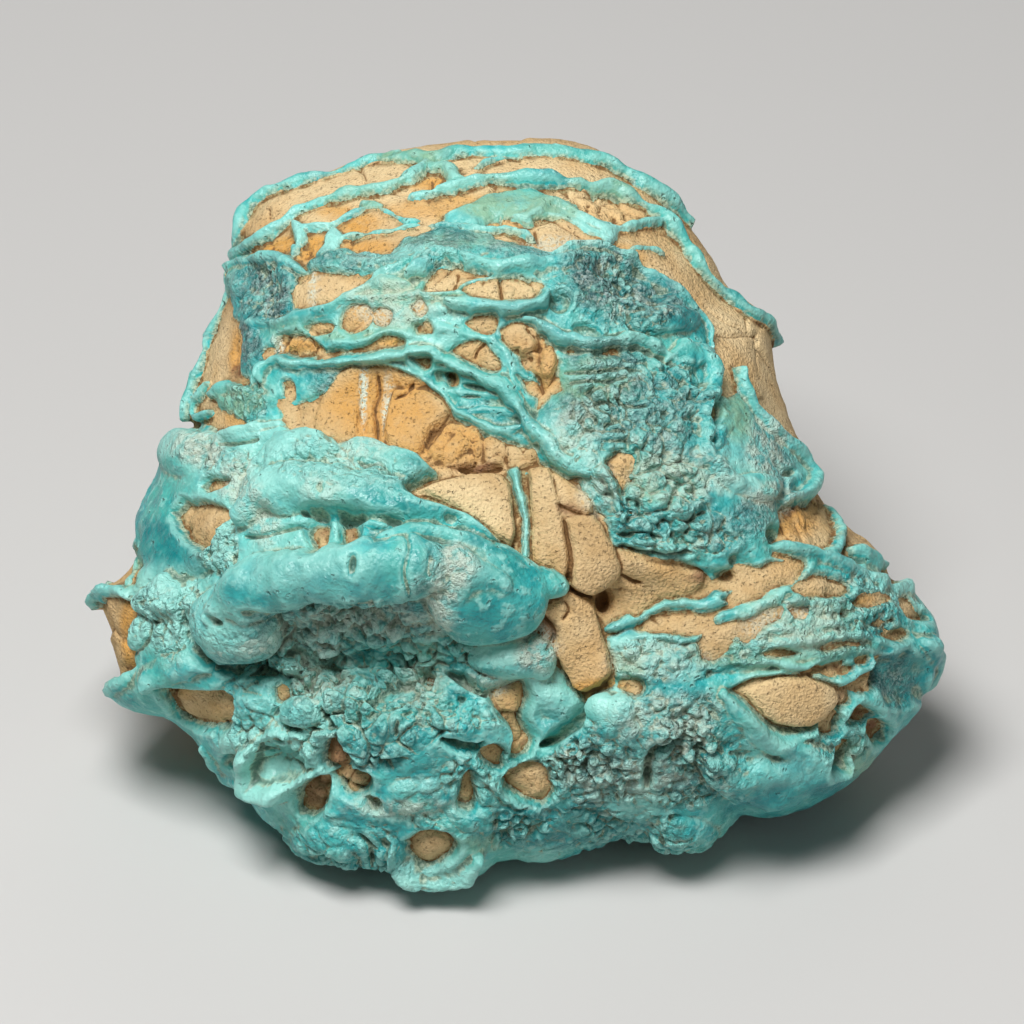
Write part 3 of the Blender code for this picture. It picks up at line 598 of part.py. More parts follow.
# Broken ground: x, d, half width, half height, turn, cell size, height.
ROUGH = [
    (64.5, 43.5, 10.0, 9.5, 10.0, 1.9, 1.0),
    (67.0, 53.0, 8.0, 4.0, 5.0, 1.7, 1.0),
    (36.5, 65.0, 15.0, 5.6, 5.0, 1.6, 1.5),
    (34.0, 72.0, 12.0, 6.5, 5.0, 2.3, 1.2),
    (33.6, 60.8, 9.5, 1.8, -6.0, 1.3, 0.9),
    (66.0, 75.0, 9.0, 6.5, 5.0, 1.15, 0.95),
    (58.0, 77.6, 6.0, 3.6, 0.0, 1.15, 0.95),
    (48.0, 79.0, 10.0, 6.0, 0.0, 2.0, 0.7),
    (46.0, 70.6, 6.0, 3.6, 0.0, 1.7, 0.7),
    (26.0, 70.6, 5.5, 5.0, 0.0, 1.9, 0.7),
    (34.0, 83.6, 7.0, 3.4, 0.0, 1.8, 0.6),
    (66.0, 66.0, 7.0, 3.0, 0.0, 1.4, 0.45),
    (84.0, 61.6, 9.0, 4.4, 0.0, 1.2, 0.5),
    (74.0, 64.6, 5.0, 2.6, 0.0, 1.3, 0.5),
    (22.4, 46.6, 3.4, 2.4, 0.0, 1.1, 0.6),
    (24.4, 40.6, 3.6, 2.4, 0.0, 1.1, 0.5),
    (61.0, 30.0, 8.0, 4.6, 15.0, 1.1, 0.5),
    (26.4, 29.6, 4.2, 3.2, 20.0, 1.0, 0.4),
    (40.0, 25.6, 12.0, 2.0, 0.0, 0.9, 0.3),
    (34.0, 47.6, 8.0, 3.0, 5.0, 1.3, 0.35),
    (18.0, 62.0, 5.6, 4.6, 0.0, 1.3, 0.6),
    (22.4, 55.4, 2.4, 3.4, 0.0, 1.1, 0.6),
    (43.8, 58.4, 2.0, 3.2, 0.0, 1.0, 0.6),
    (83.6, 73.6, 4.0, 3.0, 0.0, 1.4, 0.4),
    (60.0, 83.4, 13.0, 3.4, 0.0, 1.7, 0.8),
    (40.0, 88.0, 12.0, 2.6, 0.0, 1.8, 0.6),
]
# Shattered host rock: x, d, half width, half height, turn, block size, height.
SHATTERED = [
    (48.0, 45.2, 7.0, 3.0, 10.0, 2.2, 0.6),
    (30.4, 34.8, 5.0, 1.6, 0.0, 1.7, 0.8),
    (53.0, 35.6, 3.6, 4.6, 0.0, 2.6, 0.5),
    (60.0, 20.8, 3.6, 2.0, 0.0, 1.5, 0.5),
    (34.0, 53.6, 4.0, 1.6, 0.0, 1.5, 0.8),
    (34.6, 78.4, 4.0, 3.4, 0.0, 2.4, 0.8),
    (51.0, 72.0, 3.0, 5.0, 0.0, 2.6, 0.7),
    (48.0, 28.8, 6.0, 2.0, 0.0, 2.6, 0.4),
    (31.0, 24.0, 6.0, 2.0, 0.0, 2.6, 0.4),
    (80.0, 52.0, 3.0, 3.0, 0.0, 2.4, 0.7),
    (86.0, 73.0, 3.0, 2.0, 0.0, 1.6, 0.6),
    (84.0, 66.4, 4.0, 1.4, 0.0, 1.4, 0.4),
]


def smooth_path(points, spans=6, closed=False):
    """A Catmull-Rom curve through the points, with this many spans between neighbours."""
    knots = np.asarray(points, float)
    if closed:
        knots = np.vstack([knots[-1:], knots, knots[:2]])
    else:
        first, last = 2 * knots[0] - knots[1], 2 * knots[-1] - knots[-2]
        knots = np.vstack([first, knots, last])
    t = np.arange(spans)[:, None] / spans
    parts = []
    for a, b, c, e in zip(knots, knots[1:], knots[2:], knots[3:]):
        bend = 2 * a - 5 * b + 4 * c - e
        twist = 3 * b - a - 3 * c + e
        parts.append(b + 0.5 * t * (c - a + t * (bend + t * twist)))
    if not closed:
        parts.append(knots[-2:-1])
    return np.vstack(parts)


def ramp(low, high, values):
    """0 below low, 1 above high, with a smooth rise between."""
    t = np.clip((values - low) / (high - low), 0, 1)
    return t * t * (3 - 2 * t)


def rim_tables():
    """Angles and radii of the outline round the face's middle, true and smoothed."""
    path = smooth_path(OUTLINE, closed=True)
    right, up = path[:, 0] - FACE_CENTRE[0], FACE_CENTRE[1] - path[:, 1]
    angles = np.linspace(-math.pi, math.pi, 721)[:-1]
    true = np.interp(angles, np.arctan2(up, right), np.hypot(right, up) - RIM_INSET,
                     period=2 * math.pi)
    smooth = true
    for _ in range(900):
        smooth = (np.roll(smooth, 1) + 2 * smooth + np.roll(smooth, -1)) / 4
    return angles, true, smooth


RIM_ANGLES, RIM_TRUE, RIM_SMOOTH = rim_tables()


def radius_at(angle, share):
    """The face's radius at this bearing, following the outline's corners only near the rim."""
    true = np.interp(angle, RIM_ANGLES, RIM_TRUE, period=2 * math.pi)
    smooth = np.interp(angle, RIM_ANGLES, RIM_SMOOTH, period=2 * math.pi)
    return smooth + (true - smooth) * share**CORNER_FADE


def inside_ellipse(x, d, ellipse):
    """Distance from the ellipse's middle as a share of its radius at that bearing."""
    cx, cd, half_x, half_d, turn = ellipse
    c, s = math.cos(math.radians(turn)), math.sin(math.radians(turn))
    along, across = (x - cx) * c + (d - cd) * s, (d - cd) * c - (x - cx) * s
    return np.hypot(along / half_x, across / half_d)


def swell_height(x, d):
    height = np.zeros_like(x)
    for *ellipse, rise in SWELLS:
        height += rise * np.exp(-inside_ellipse(x, d, ellipse) ** 2)
    return height


def body_point(angle, share, front):
    """Points of the body: right, up and out of the face, at a share of the rim's radius."""
    radius = share * radius_at(angle, share)
    right, up = radius * np.cos(angle), radius * np.sin(angle)
    x, d = FACE_CENTRE[0] + right, FACE_CENTRE[1] - up
    rim = RIM_OUT - RIM_SETBACK * up * share**2
    front_out = FRONT_DEPTH * (1 - share**FRONT_FALL) ** FRONT_ROUND
    front_out += swell_height(x, d) * (1 - share**4)
    heel = np.exp(-(((up - HEEL_AT) / HEEL_REACH) ** 2))
    back_depth = BACK_DEPTH + HEEL_DEPTH * heel - TOP_THINNING * ramp(0.0, 30.0, up)
    back_out = -back_depth * (1 - share**BACK_FALL) ** BACK_ROUND
    return np.stack([right, up, rim + np.where(front, front_out, back_out)], axis=1)


def anchor(points):
    """The body's places at face points. A point past the outline comes round onto the back."""
    right, up = points[:, 0] - FACE_CENTRE[0], FACE_CENTRE[1] - points[:, 1]
    angle, radius = np.arctan2(up, right), np.hypot(right, up)
    share = radius / radius_at(angle, np.ones_like(angle))
    for _ in range(6):
        share = radius / radius_at(angle, np.minimum(share, 1))
    return body_point(angle, np.where(share > 1, 2 - share, share), share <= 1)


def ball():
    """A cube's six patches of quads, as unit directions, and the mesh that joins them."""
    mesh = bmesh.new()
    bmesh.ops.create_cube(mesh, size=2.0)
    bmesh.ops.subdivide_edges(mesh, edges=mesh.edges[:], cuts=DIVISIONS - 1, use_grid_fill=True)
    cube = np.array([v.co for v in mesh.verts])
    flat = np.tan(cube * math.pi / 4)
    return mesh, flat / np.linalg.norm(flat, axis=1)[:, None]


def drawn_out(directions):
    """The body's point for each direction from the ball's middle, and how far behind the rim."""
    right, up, out = directions.T
    equator = 1 - 2 * FRONT_SHARE
    front = out >= equator
    depth = np.where(front, (out - equator) / (1 - equator), (equator - out) / (1 + equator))
    share = np.sqrt(np.clip(1 - depth**SPREAD, 0, 1))
    behind = np.where(front, 0.0, 1 - share)
    return body_point(np.arctan2(up, right), share, front), behind


def noise_at(places, size, seed=0.0):
    """Smooth noise from about -1 to 1 whose features are of this size."""
    spots = (places @ NOISE_TURN / size + seed * 17.3).tolist()
    return np.array([noise.noise(spot) for spot in spots])


def cells_at(places, size, seed=0.0):
    """Cells of this size: how near the middle, how near the next cell, a level and a slope."""
    reach, gap, level, slope = [], [], [], []
    for spot in (places / size + seed * 17.3).tolist():
        distances, middles = noise.voronoi(spot)
        reach.append(distances[0])
        gap.append(distances[1] - distances[0])
        level.append(noise.cell(middles[0] * 9.7))
        lean = noise.cell_vector(middles[0] * 5.3)
        slope.append(sum((s - m) * (t - 0.5) for s, m, t in zip(spot, middles[0], lean)))
    return np.array(reach), np.array(gap), np.array(level), np.array(slope)


def path_distance(places, path):
    """Distance from each place to a path in space, and how far along it the nearest point is."""
    best, along, done = np.full(len(places), np.inf), np.zeros(len(places)), 0.0
    for a, b in zip(path, path[1:]):
        step = b - a
        length = math.sqrt(step @ step) + 1e-9
        share = np.clip((places - a) @ step / length**2, 0, 1)
        gap = np.linalg.norm(places - a - share[:, None] * step, axis=1)
        near = gap < best
        best[near], along[near] = gap[near], done + share[near] * length
        done += length
    return best, along, done


class Skin:
    """The body's surface while its relief is drawn, with one entry for each vertex."""

    def __init__(self, places, behind):
        self.places = places
        self.x, self.d = FACE_CENTRE[0] + places[:, 0], FACE_CENTRE[1] - places[:, 1]
        self.behind = behind
        self.wander = noise_at(places, 4.5, 1.0)
        self.grain = noise_at(places, 1.6, 2.0)
        self.ragged = noise_at(places, 2.4, 8.0)
        self.fine = noise_at(places, 0.85, 13.0)
        self.rock = 0.35 * noise_at(places, 9.0, 3.0) + 0.12 * self.grain
        drift = [noise_at(places, 3.4, seed) for seed in (9.0, 10.0, 11.0)]
        self.bent = places + 1.1 * np.stack(drift, axis=1)
        self.broken = 0.45 + 0.55 * ramp(-0.25, 0.2, noise_at(places, 5.5, 14.0))
        self.crust = np.full(len(places), -1.5)
        self.cut = np.zeros(len(places))

    def near(self, path, reach):
        low, high = path.min(axis=0) - reach, path.max(axis=0) + reach
        return np.flatnonzero(((self.places > low) & (self.places < high)).all(axis=1))

    def ridge(self, width, height, base, points):
        """Raises the crust along a path: a vein or a roll."""
        path = anchor(smooth_path(points))
        some = self.near(path, width)
        gap, along, length = path_distance(self.places[some], path)
        uneven = self.wander[some] + self.ragged[some] + 0.7 * self.grain[some]
        uneven += 0.5 * self.fine[some]
        half = 0.45 * width + (0.11 * width + 0.19) * uneven / (1 + 0.12 * width)
        half = np.maximum(half, 0.12)
        if points[0] != points[-1]:
            ends = np.minimum(along, length - along) / width
            half = half * (0.45 + 0.55 * np.clip(ends * 1.4, 0, 1))
        u = gap / half
        peak = height + min(height, 1.4) * (0.35 * self.ragged[some] + 0.3 * self.wander[some])
        round_top = np.clip(1 - u * u, 0, 1) ** VEIN_ROUND
        thin = self.ragged[some] + self.grain[some] + 0.7 * self.wander[some]
        skirt = base - VEIN_SKIRT - 1.4 * (gap - half) + 0.36 * thin
        level = np.where(u < 1, base + peak * round_top, np.minimum(base, skirt))
        self.crust[some] = np.maximum(self.crust[some], level)

    def signed(self, points, spans=5):
        """Distance inside an outline on the face (negative outside), near that outline."""
        flat = smooth_path(points + points[:1], spans)
        low, high = flat.min(axis=0) - 4, flat.max(axis=0) + 4
        x, d = self.x, self.d
        some = np.flatnonzero((x > low[0]) & (x < high[0]) & (d > low[1]) & (d < high[1]))
        x, d = x[some], d[some]
        inside = np.zeros(len(some), bool)
        for (ax, ad), (bx, bd) in zip(flat, flat[1:]):
            if ad != bd:
                inside ^= ((ad > d) != (bd > d)) & (x < (bx - ax) * (d - ad) / (bd - ad) + ax)
        gap, _, _ = path_distance(self.places[some], anchor(flat))
        signed = np.full(len(self.x), -3.0)
        signed[some] = np.where(inside, 1, -1) * np.minimum(gap, 3.0)
        return signed

    def spread(self, level, edge, points):
        """Lays a sheet of crust over an area."""
        inside = self.signed(points) + 0.5 * self.wander + 0.6 * self.ragged
        inside += 0.4 * self.grain + 0.2 * self.fine
        height = np.where(inside > 0, level * (1 - np.exp(-inside / edge)), 1.5 * inside)
        self.crust = np.maximum(self.crust, height)

    def window(self, lift, points):
        """Opens the crust over a block of host rock."""
        inside = self.signed(points) + 0.3 * self.ragged + 0.22 * self.grain + 0.08 * self.fine
        self.crust = np.minimum(self.crust, np.where(inside > 0, -2.5, -3.0) * inside)
        self.rock += lift * ramp(0.0, 1.4, inside)

    def block(self, lift, rise_right, rise_down, points):
        """Stands a flat-faced block on the host rock."""
        inside = self.signed(points, 2) + 0.1 * self.ragged + 0.08 * self.fine
        middle = np.mean(points, axis=0)
        flat = lift + rise_right * (self.x - middle[0]) + rise_down * (self.d - middle[1])
        share = ramp(-0.3, 0.05, inside)
        self.rock = self.rock * (1 - 0.8 * share) + flat * share

    def lump(self, x, d, half_x, half_d, turn, height, base):
        """Stands a rounded lump on the crust."""
        u = inside_ellipse(self.x, self.d, (x, d, half_x, half_d, turn))
        u = u * (1 + 0.12 * self.wander + 0.06 * self.ragged) + 5 * (self.behind > 0.1)
        dome = base + height * np.sqrt(np.clip(1 - u * u, 0, 1))
        self.crust = np.where(u < 1, np.maximum(self.crust, dome), self.crust)

    def crack(self, width, depth, points):
        path = anchor(smooth_path(points, 4))
        some = self.near(path, 2 * width)
        gap, along, length = path_distance(self.places[some], path)
        ends = np.clip(np.minimum(along, length - along) / width, 0, 1)
        half = CRACK_WIDEN * width * (0.5 + 0.5 * ends) * (1 + 0.4 * self.grain[some])
        groove = CRACK_DEEPEN * depth * np.clip(1 - (gap / half) ** 2, 0, 1)
        self.cut[some] = np.maximum(self.cut[some], groove)

    def pit(self, x, d, half_x, half_d, turn, depth):
        u = inside_ellipse(self.x, self.d, (x, d, half_x, half_d, turn))
        u = u * (1 + 0.15 * self.grain) + 5 * (self.behind > 0.1)
        self.cut = np.maximum(self.cut, depth * np.clip(1 - u**3, 0, 1))

    def zone(self, x, d, half_x, half_d, turn):
        """The vertices in a patch of the face, and how far each is into it, from 0 to 1."""
        u = inside_ellipse(self.x, self.d, (x, d, half_x, half_d, turn))
        u = u + 0.25 * self.wander + 5 * (self.behind > 0.1)
        some = np.flatnonzero(u < 1)
        return some, 1 - ramp(0.7, 1.0, u[some])

    def roughen(self, x, d, half_x, half_d, turn, size, height):
        """Breaks the crust of an area into nodules, with ragged pits between."""
        some, share = self.zone(x, d, half_x, half_d, turn)
        share = share * self.broken[some]
        halfway = (0.3 * self.places + 0.7 * self.bent)[some]
        reach, gap, level, slope = cells_at(halfway * ROUGH_STRETCH, size, size)
        dome = np.sqrt(np.clip(1 - (reach / 0.95) ** 2, 0, 1))
        fine_reach, _, fine_level, _ = cells_at(halfway, 0.45 * size, size + 2)
        grains = np.sqrt(np.clip(1 - (fine_reach / 0.9) ** 2, 0, 1))
        bumps = 0.4 * dome + 0.5 * level + 0.9 * slope - 0.4 - 0.6 * (1 - ramp(0.0, 0.18, gap))
        bumps += 0.25 * fine_level + 0.3 * (grains - 0.7)
        eaten = noise_at(self.bent[some], 1.3 * size, size) + 0.5 * self.ragged[some]
        bumps -= 0.7 * ramp(0.1, 0.24, eaten + 0.2 * self.grain[some])
        over = self.crust[some] - self.rock[some]
        broken = np.maximum(over + height * share * bumps, 0.1)
        self.crust[some] += np.where(over > 0.1, broken - over, 0)

    def shatter(self, x, d, half_x, half_d, turn, size, height):
        """Breaks the host rock of an area into blocks of uneven height."""
        some, share = self.zone(x, d, half_x, half_d, turn)
        halfway = (0.7 * self.places + 0.3 * self.bent)[some]
        _, gap, level, slope = cells_at(halfway, size, size + 4)
        cleft = 1 - ramp(0.0, 0.45 / size, gap)
        self.rock[some] += height * share * (0.5 * level - 0.3 + 1.1 * slope - 0.45 * cleft)


def far_side(skin):
    """Crust on the sides and back: near-parallel wandering veins, and broad patches."""
    places = skin.places
    drift = 2.6 * noise_at(places, 15.0, 4.0) + 0.9 * skin.wander
    veins = np.full(len(places), -1.5)
    for direction, spacing, width, height in FAR_VEINS:
        axis = np.array(direction) / np.linalg.norm(direction)
        turns = (places @ axis + drift) / spacing
        gap = np.abs(turns - np.round(turns)) * spacing
        half = 0.5 * width * (1 + 0.5 * noise_at(places, 8.0, spacing))
        u = gap / np.maximum(half, 0.15)
        level = np.where(u < 1, height * np.sqrt(np.clip(1 - u * u, 0, 1)), -3.0 * (u - 1))
        veins = np.maximum(veins, level)
        drift = -drift
    patch = noise_at(places, 17.0, 5.0) + 0.5 * noise_at(places, 8.0, 7.0)
    patch = 4.0 * (patch + 0.25 * skin.wander + 0.1 * skin.grain) - 0.7
    return np.maximum(veins, np.minimum(patch, 1.1 + 0.4 * skin.wander))


def draw_relief(places, behind):
    """Height of the finished surface over the body, and the crust's height over the rock."""
    skin = Skin(places, behind)
    halfway = 0.5 * (places + skin.bent)
    _, gap, level, slope = cells_at(halfway * ROCK_STRETCH, ROCK_CELL, 6.0)
    open_crack = ramp(0.0, 0.3, noise_at(places, 9.0, 12.0))
    skin.rock += 0.15 * level + 0.5 * slope - 0.15
    skin.rock -= 0.35 * open_crack * (1 - ramp(0.0, 0.06, gap))
    for level, edge, points in CRUSTS:
        skin.spread(level, edge, points)
    for vein in VEINS:
        skin.ridge(*vein)
    for roll in ROLLS:
        skin.ridge(*roll)
    for lump in LUMPS:
        skin.lump(*lump)
    for lift, points in WINDOWS:
        skin.window(lift, points)
    for zone in ROUGH:
        skin.roughen(*zone)
    for knob in KNOBS:
        skin.lump(*knob)
    for block in BLOCKS:
        skin.block(*block)
    for zone in SHATTERED:
        skin.shatter(*zone)
    for crack in CRACKS:
        skin.crack(*crack)
    for pit in PITS:
        skin.pit(*pit)
    fade = ramp(0.03, 0.16, behind + 0.02 * skin.wander)
    crust = skin.crust + (far_side(skin) - skin.crust) * fade
    crust += 0.16 * skin.ragged + 0.14 * skin.grain + 0.08 * skin.fine
    height = np.maximum(crust, skin.rock) - skin.cut - BASE_LEVEL
    return skin, height, crust - skin.rock


def stand(points):
    """Face axes (right, up, out) to the standing stone's axes: X right, Y back, Z up."""
    lean = math.radians(FACE_LEAN)
    right, up, out = points.T
    y = up * math.sin(lean) - out * math.cos(lean)
    z = up * math.cos(lean) + out * math.sin(lean)
    x, y = right - SEAT_MIDDLE[0], y - SEAT_MIDDLE[1]
    seat = SEAT_HEIGHT + SEAT_RISE * (x**2 + y**2)
    over = (z - seat) / SEAT_SOFTNESS - 1
    z = np.where(over < 0, seat + SEAT_SOFTNESS * np.exp(np.minimum(over, 0)), z)
    return np.stack([x, y, z - SEAT_HEIGHT - SEAT_CUT], axis=1)


def outward(mesh, places):
    """Directions out of the smooth body at each vertex."""
    for vertex, place in zip(mesh.verts, places):
        vertex.co = place
    mesh.normal_update()
    return np.array([v.normal for v in mesh.verts])


def finished_mesh():
    """The stone at full detail, with host rock faces in the second material slot."""
    mesh, directions = ball()
    places, behind = drawn_out(directions)
    normals = outward(mesh, places)
    _, height, over_rock = draw_relief(places, behind)
    finished = stand(places + height[:, None] * normals) * METRES
    for vertex, place in zip(mesh.verts, finished):
        vertex.co = place
    for face in mesh.faces:
        face.smooth = True
        face.material_index = int(over_rock[[v.index for v in face.verts]].mean() < 0)
    data = bpy.data.meshes.new(NODE)
    mesh.to_mesh(data)
    mesh.free()
    return data


def seat_cutter():
    """A block whose top is the plane the stone rests on."""
    mesh = bmesh.new()
    bmesh.ops.create_cube(mesh, size=CUTTER_SIZE)
    bmesh.ops.translate(mesh, verts=mesh.verts[:], vec=(0, 0, -CUTTER_SIZE / 2))
    data = bpy.data.meshes.new("seat_cutter")
    mesh.to_mesh(data)
    mesh.free()
    cutter = bpy.data.objects.new("seat_cutter", data)
    cutter.display_type = "WIRE"
    cutter.hide_render = True
    collection = bpy.data.collections.new("cutters")
    bpy.context.scene.collection.children.link(collection)
    collection.objects.link(cutter)
    return cutter


def finish(name, colour, roughness):
    """A Principled material of one colour."""
    material = bpy.data.materials.new(name)
    material.diffuse_color = (*colour, 1.0)
    material.use_nodes = True
    shader = material.node_tree.nodes["Principled BSDF"]
    shader.inputs["Base Color"].default_value = (*colour, 1.0)
    shader.inputs["Roughness"].default_value = roughness
    shader.inputs["Metallic"].default_value = 0.0
    return material


def build():
    for obj in list(bpy.data.objects):
        bpy.data.objects.remove(obj)
    collection = bpy.data.collections.new(NODE)
    bpy.context.scene.collection.children.link(collection)
    data = finished_mesh()
    for entry in FINISHES:
        data.materials.append(finish(*entry))
    stone = bpy.data.objects.new(NODE, data)
    collection.objects.link(stone)
    thin = stone.modifiers.new("solid_triangles", "DECIMATE")
    thin.ratio = SOLID_TRIANGLES / (2 * len(data.polygons))
    seat = stone.modifiers.new("seat", "BOOLEAN")
    seat.operation = "DIFFERENCE"
    seat.solver = "EXACT"
    seat.object = seat_cutter()
    return stone


build()
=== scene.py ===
"""The looks of a raw turquoise nugget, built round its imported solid.

The stone is drawn on its show face, which leans back by FACE_LEAN as the stone rests. Face points
are millimetres (x to the right, d down) from a datum at the face's top left corner. The solid is a
ball of quads drawn out to the body, and every feature then stands on that body by its own level.
"""

import functools
import math

import bmesh
import bpy
import numpy as np
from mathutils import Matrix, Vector, noise


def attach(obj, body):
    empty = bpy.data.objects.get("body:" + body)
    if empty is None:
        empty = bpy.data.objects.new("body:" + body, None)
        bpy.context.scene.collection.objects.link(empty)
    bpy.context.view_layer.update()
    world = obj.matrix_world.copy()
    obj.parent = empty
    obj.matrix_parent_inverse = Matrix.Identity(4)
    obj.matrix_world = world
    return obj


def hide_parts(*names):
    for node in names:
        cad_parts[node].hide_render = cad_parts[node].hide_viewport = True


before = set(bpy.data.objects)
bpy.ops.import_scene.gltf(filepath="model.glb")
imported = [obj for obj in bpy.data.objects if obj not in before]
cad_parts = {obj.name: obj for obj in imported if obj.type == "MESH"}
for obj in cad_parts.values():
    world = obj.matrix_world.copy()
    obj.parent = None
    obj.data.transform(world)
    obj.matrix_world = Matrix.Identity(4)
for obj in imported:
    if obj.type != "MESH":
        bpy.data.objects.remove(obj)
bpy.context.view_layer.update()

NODE = "turquoise_nugget"
METRES = 0.001

# Driving dimensions, in millimetres and degrees.
FACE_LEAN = 38.0  # the show face's axis rises this much above the horizon
FACE_CENTRE = (51.0, 53.0)  # the middle of the face
FRONT_DEPTH = 21.0  # from the rim out to the crown of the show face
BACK_DEPTH = 20.0
HEEL_DEPTH, HEEL_AT, HEEL_REACH = 9.0, -22.0, 18.0  # the back is fuller low down
TOP_THINNING = 7.0  # and thinner towards the top
RIM_SETBACK = 0.18  # the rim recedes by this much for each millimetre up the face
SEAT_HEIGHT = -27.5  # height of the seat under the face's middle
SEAT_SOFTNESS = 3.5  # how far above the seat the sides begin to turn under
SEAT_RISE = 0.0022  # the underside's upward curve, 1/mm
SEAT_MIDDLE = (0.0, 3.0)
SEAT_CUT = 1.4  # depth of the worn flat on the underside

RIM_INSET = 0.1  # the body's rim inside the outline, to leave room for the relief
RIM_OUT = -3.0  # the rim's place along the face's axis
FRONT_FALL, FRONT_ROUND = 2.4, 0.58  # how the show face falls away to the rim
BACK_FALL, BACK_ROUND = 2.6, 0.55
CORNER_FADE = 7.0  # how soon the outline's corners fade inside the rim
BASE_LEVEL = 0.6  # relief level that lies on the body itself

DIVISIONS = 256  # quads along each side of the ball's six patches
SPREAD = 1.5  # crowds the quads towards the middle of each face
FRONT_SHARE = 0.66  # share of the quads that lie on the show face
CRACK_WIDEN = 0.7  # half width of a crack's groove as a share of its width
CRACK_DEEPEN = 0.9
VEIN_ROUND = 0.6  # below 1, a vein's top is flatter than round
VEIN_SKIRT = 0.42  # the thin crust beside a vein starts this much below the rock
ROUGH_STRETCH = np.array([0.82, 1.1, 1.0])  # nodules are wider than high
ROCK_STRETCH = np.array([0.8, 1.0, 1.0])
ROCK_CELL = 6.5
NOISE_TURN = np.array([[0.36, 0.48, -0.8], [-0.8, 0.6, 0.0], [0.48, 0.64, 0.6]])  # keeps grid lines out
RIM_STEPS = 720  # bearings at which the outline's radius is kept
RIM_ROUNDS = 900  # how often the outline is averaged to lose its corners
BARE = -1.5  # crust level where there is only host rock
AROUND = 0.1  # relief of the show face ends this far behind the rim
SIGNED_REACH = 3.0  # areas know their edge's distance up to this

# Veins of the sides and back: direction across them, spacing, width, height.
FAR_VEINS = [((0.15, 1.0, 0.35), 6.5, 1.7, 1.1), ((0.8, 0.4, -0.5), 17.0, 1.3, 0.8)]

# The stone's outline on the show face.
OUTLINE = [
    (48.5, 12.9), (55.4, 13.2), (59.4, 14), (62.6, 15.6), (66.3, 18), (69.2, 21.8), (71.5, 24.8),
    (73.5, 28.5), (75.8, 30.2), (77.5, 32), (77.9, 34), (78.6, 38), (80.6, 43.7), (82.4, 48.9),
    (84.9, 52.3), (88.6, 55.2), (89.9, 58.2), (92.2, 60.4), (93.2, 63.2), (93.1, 65.9), (92.7, 68.4),
    (91.1, 71.2), (88.8, 73.8), (86.1, 76.9), (82.4, 79.6), (77.8, 81.2), (73.7, 81.4), (71.4, 83.6),
    (67.4, 84.5), (63.4, 83.6), (58.2, 85), (54.8, 86.2), (51.9, 85.8), (49.3, 86.2), (47, 88.2),
    (43.6, 89.2), (40.4, 88.5), (38.2, 87.3), (33.6, 87.1), (30.1, 85.3), (27.2, 82.2), (24.9, 79.3),
    (21.5, 75.9), (18, 72.1), (13.5, 70.8), (10.6, 69.5), (11.4, 67.5), (10, 63.2), (8.8, 60.7),
    (9.4, 58.9), (12.3, 56.9), (14, 52.3), (16, 47.7), (16.9, 44.9), (18.3, 43.1), (17.8, 40.9),
    (20.1, 34), (22.1, 29.4), (21.8, 27.7), (23.2, 25.3), (23.2, 22.5), (24.4, 20.5), (27.2, 18.2),
    (31.8, 16.8), (38.2, 14.6), (43.3, 13.7),
]

# Broad swells and hollows of the show face: x, d, half width, half height, turn, rise.
SWELLS = [
    (37, 58.5, 17, 6.5, 8, 5.5),  # the brow
    (33, 48, 12, 6, 5, 3),  # the fold over the brow
    (38, 66.4, 12, 3.8, 0, -4.2),  # the recess under the brow
    (38, 73, 14, 6, 0, 3),  # the skirt
    (41, 41.5, 12, 5, 0, -3),  # the tan hollow
    (66, 46, 11, 11, 0, 2.5),  # the right mass
    (66, 59.5, 9, 3, -12, -2),  # the neck under the right mass
    (82, 66, 10, 10, 0, 2.5),  # the right lobe
    (67, 74, 10, 5, 0, 2.5),  # the rough mass at the lower right
    (55, 72, 3, 6, 30, -2.5),  # the cleft left of the rough mass
    (45, 28, 24, 4.5, 0, 2),  # the crown band
    (45, 20, 24, 4.5, 0, -1),  # the cap above the crown band
    (17, 56, 5, 4.5, 0, -2.5),  # the left hollow
    (44, 86, 6, 3.5, 0, 2.5),  # the foot
]

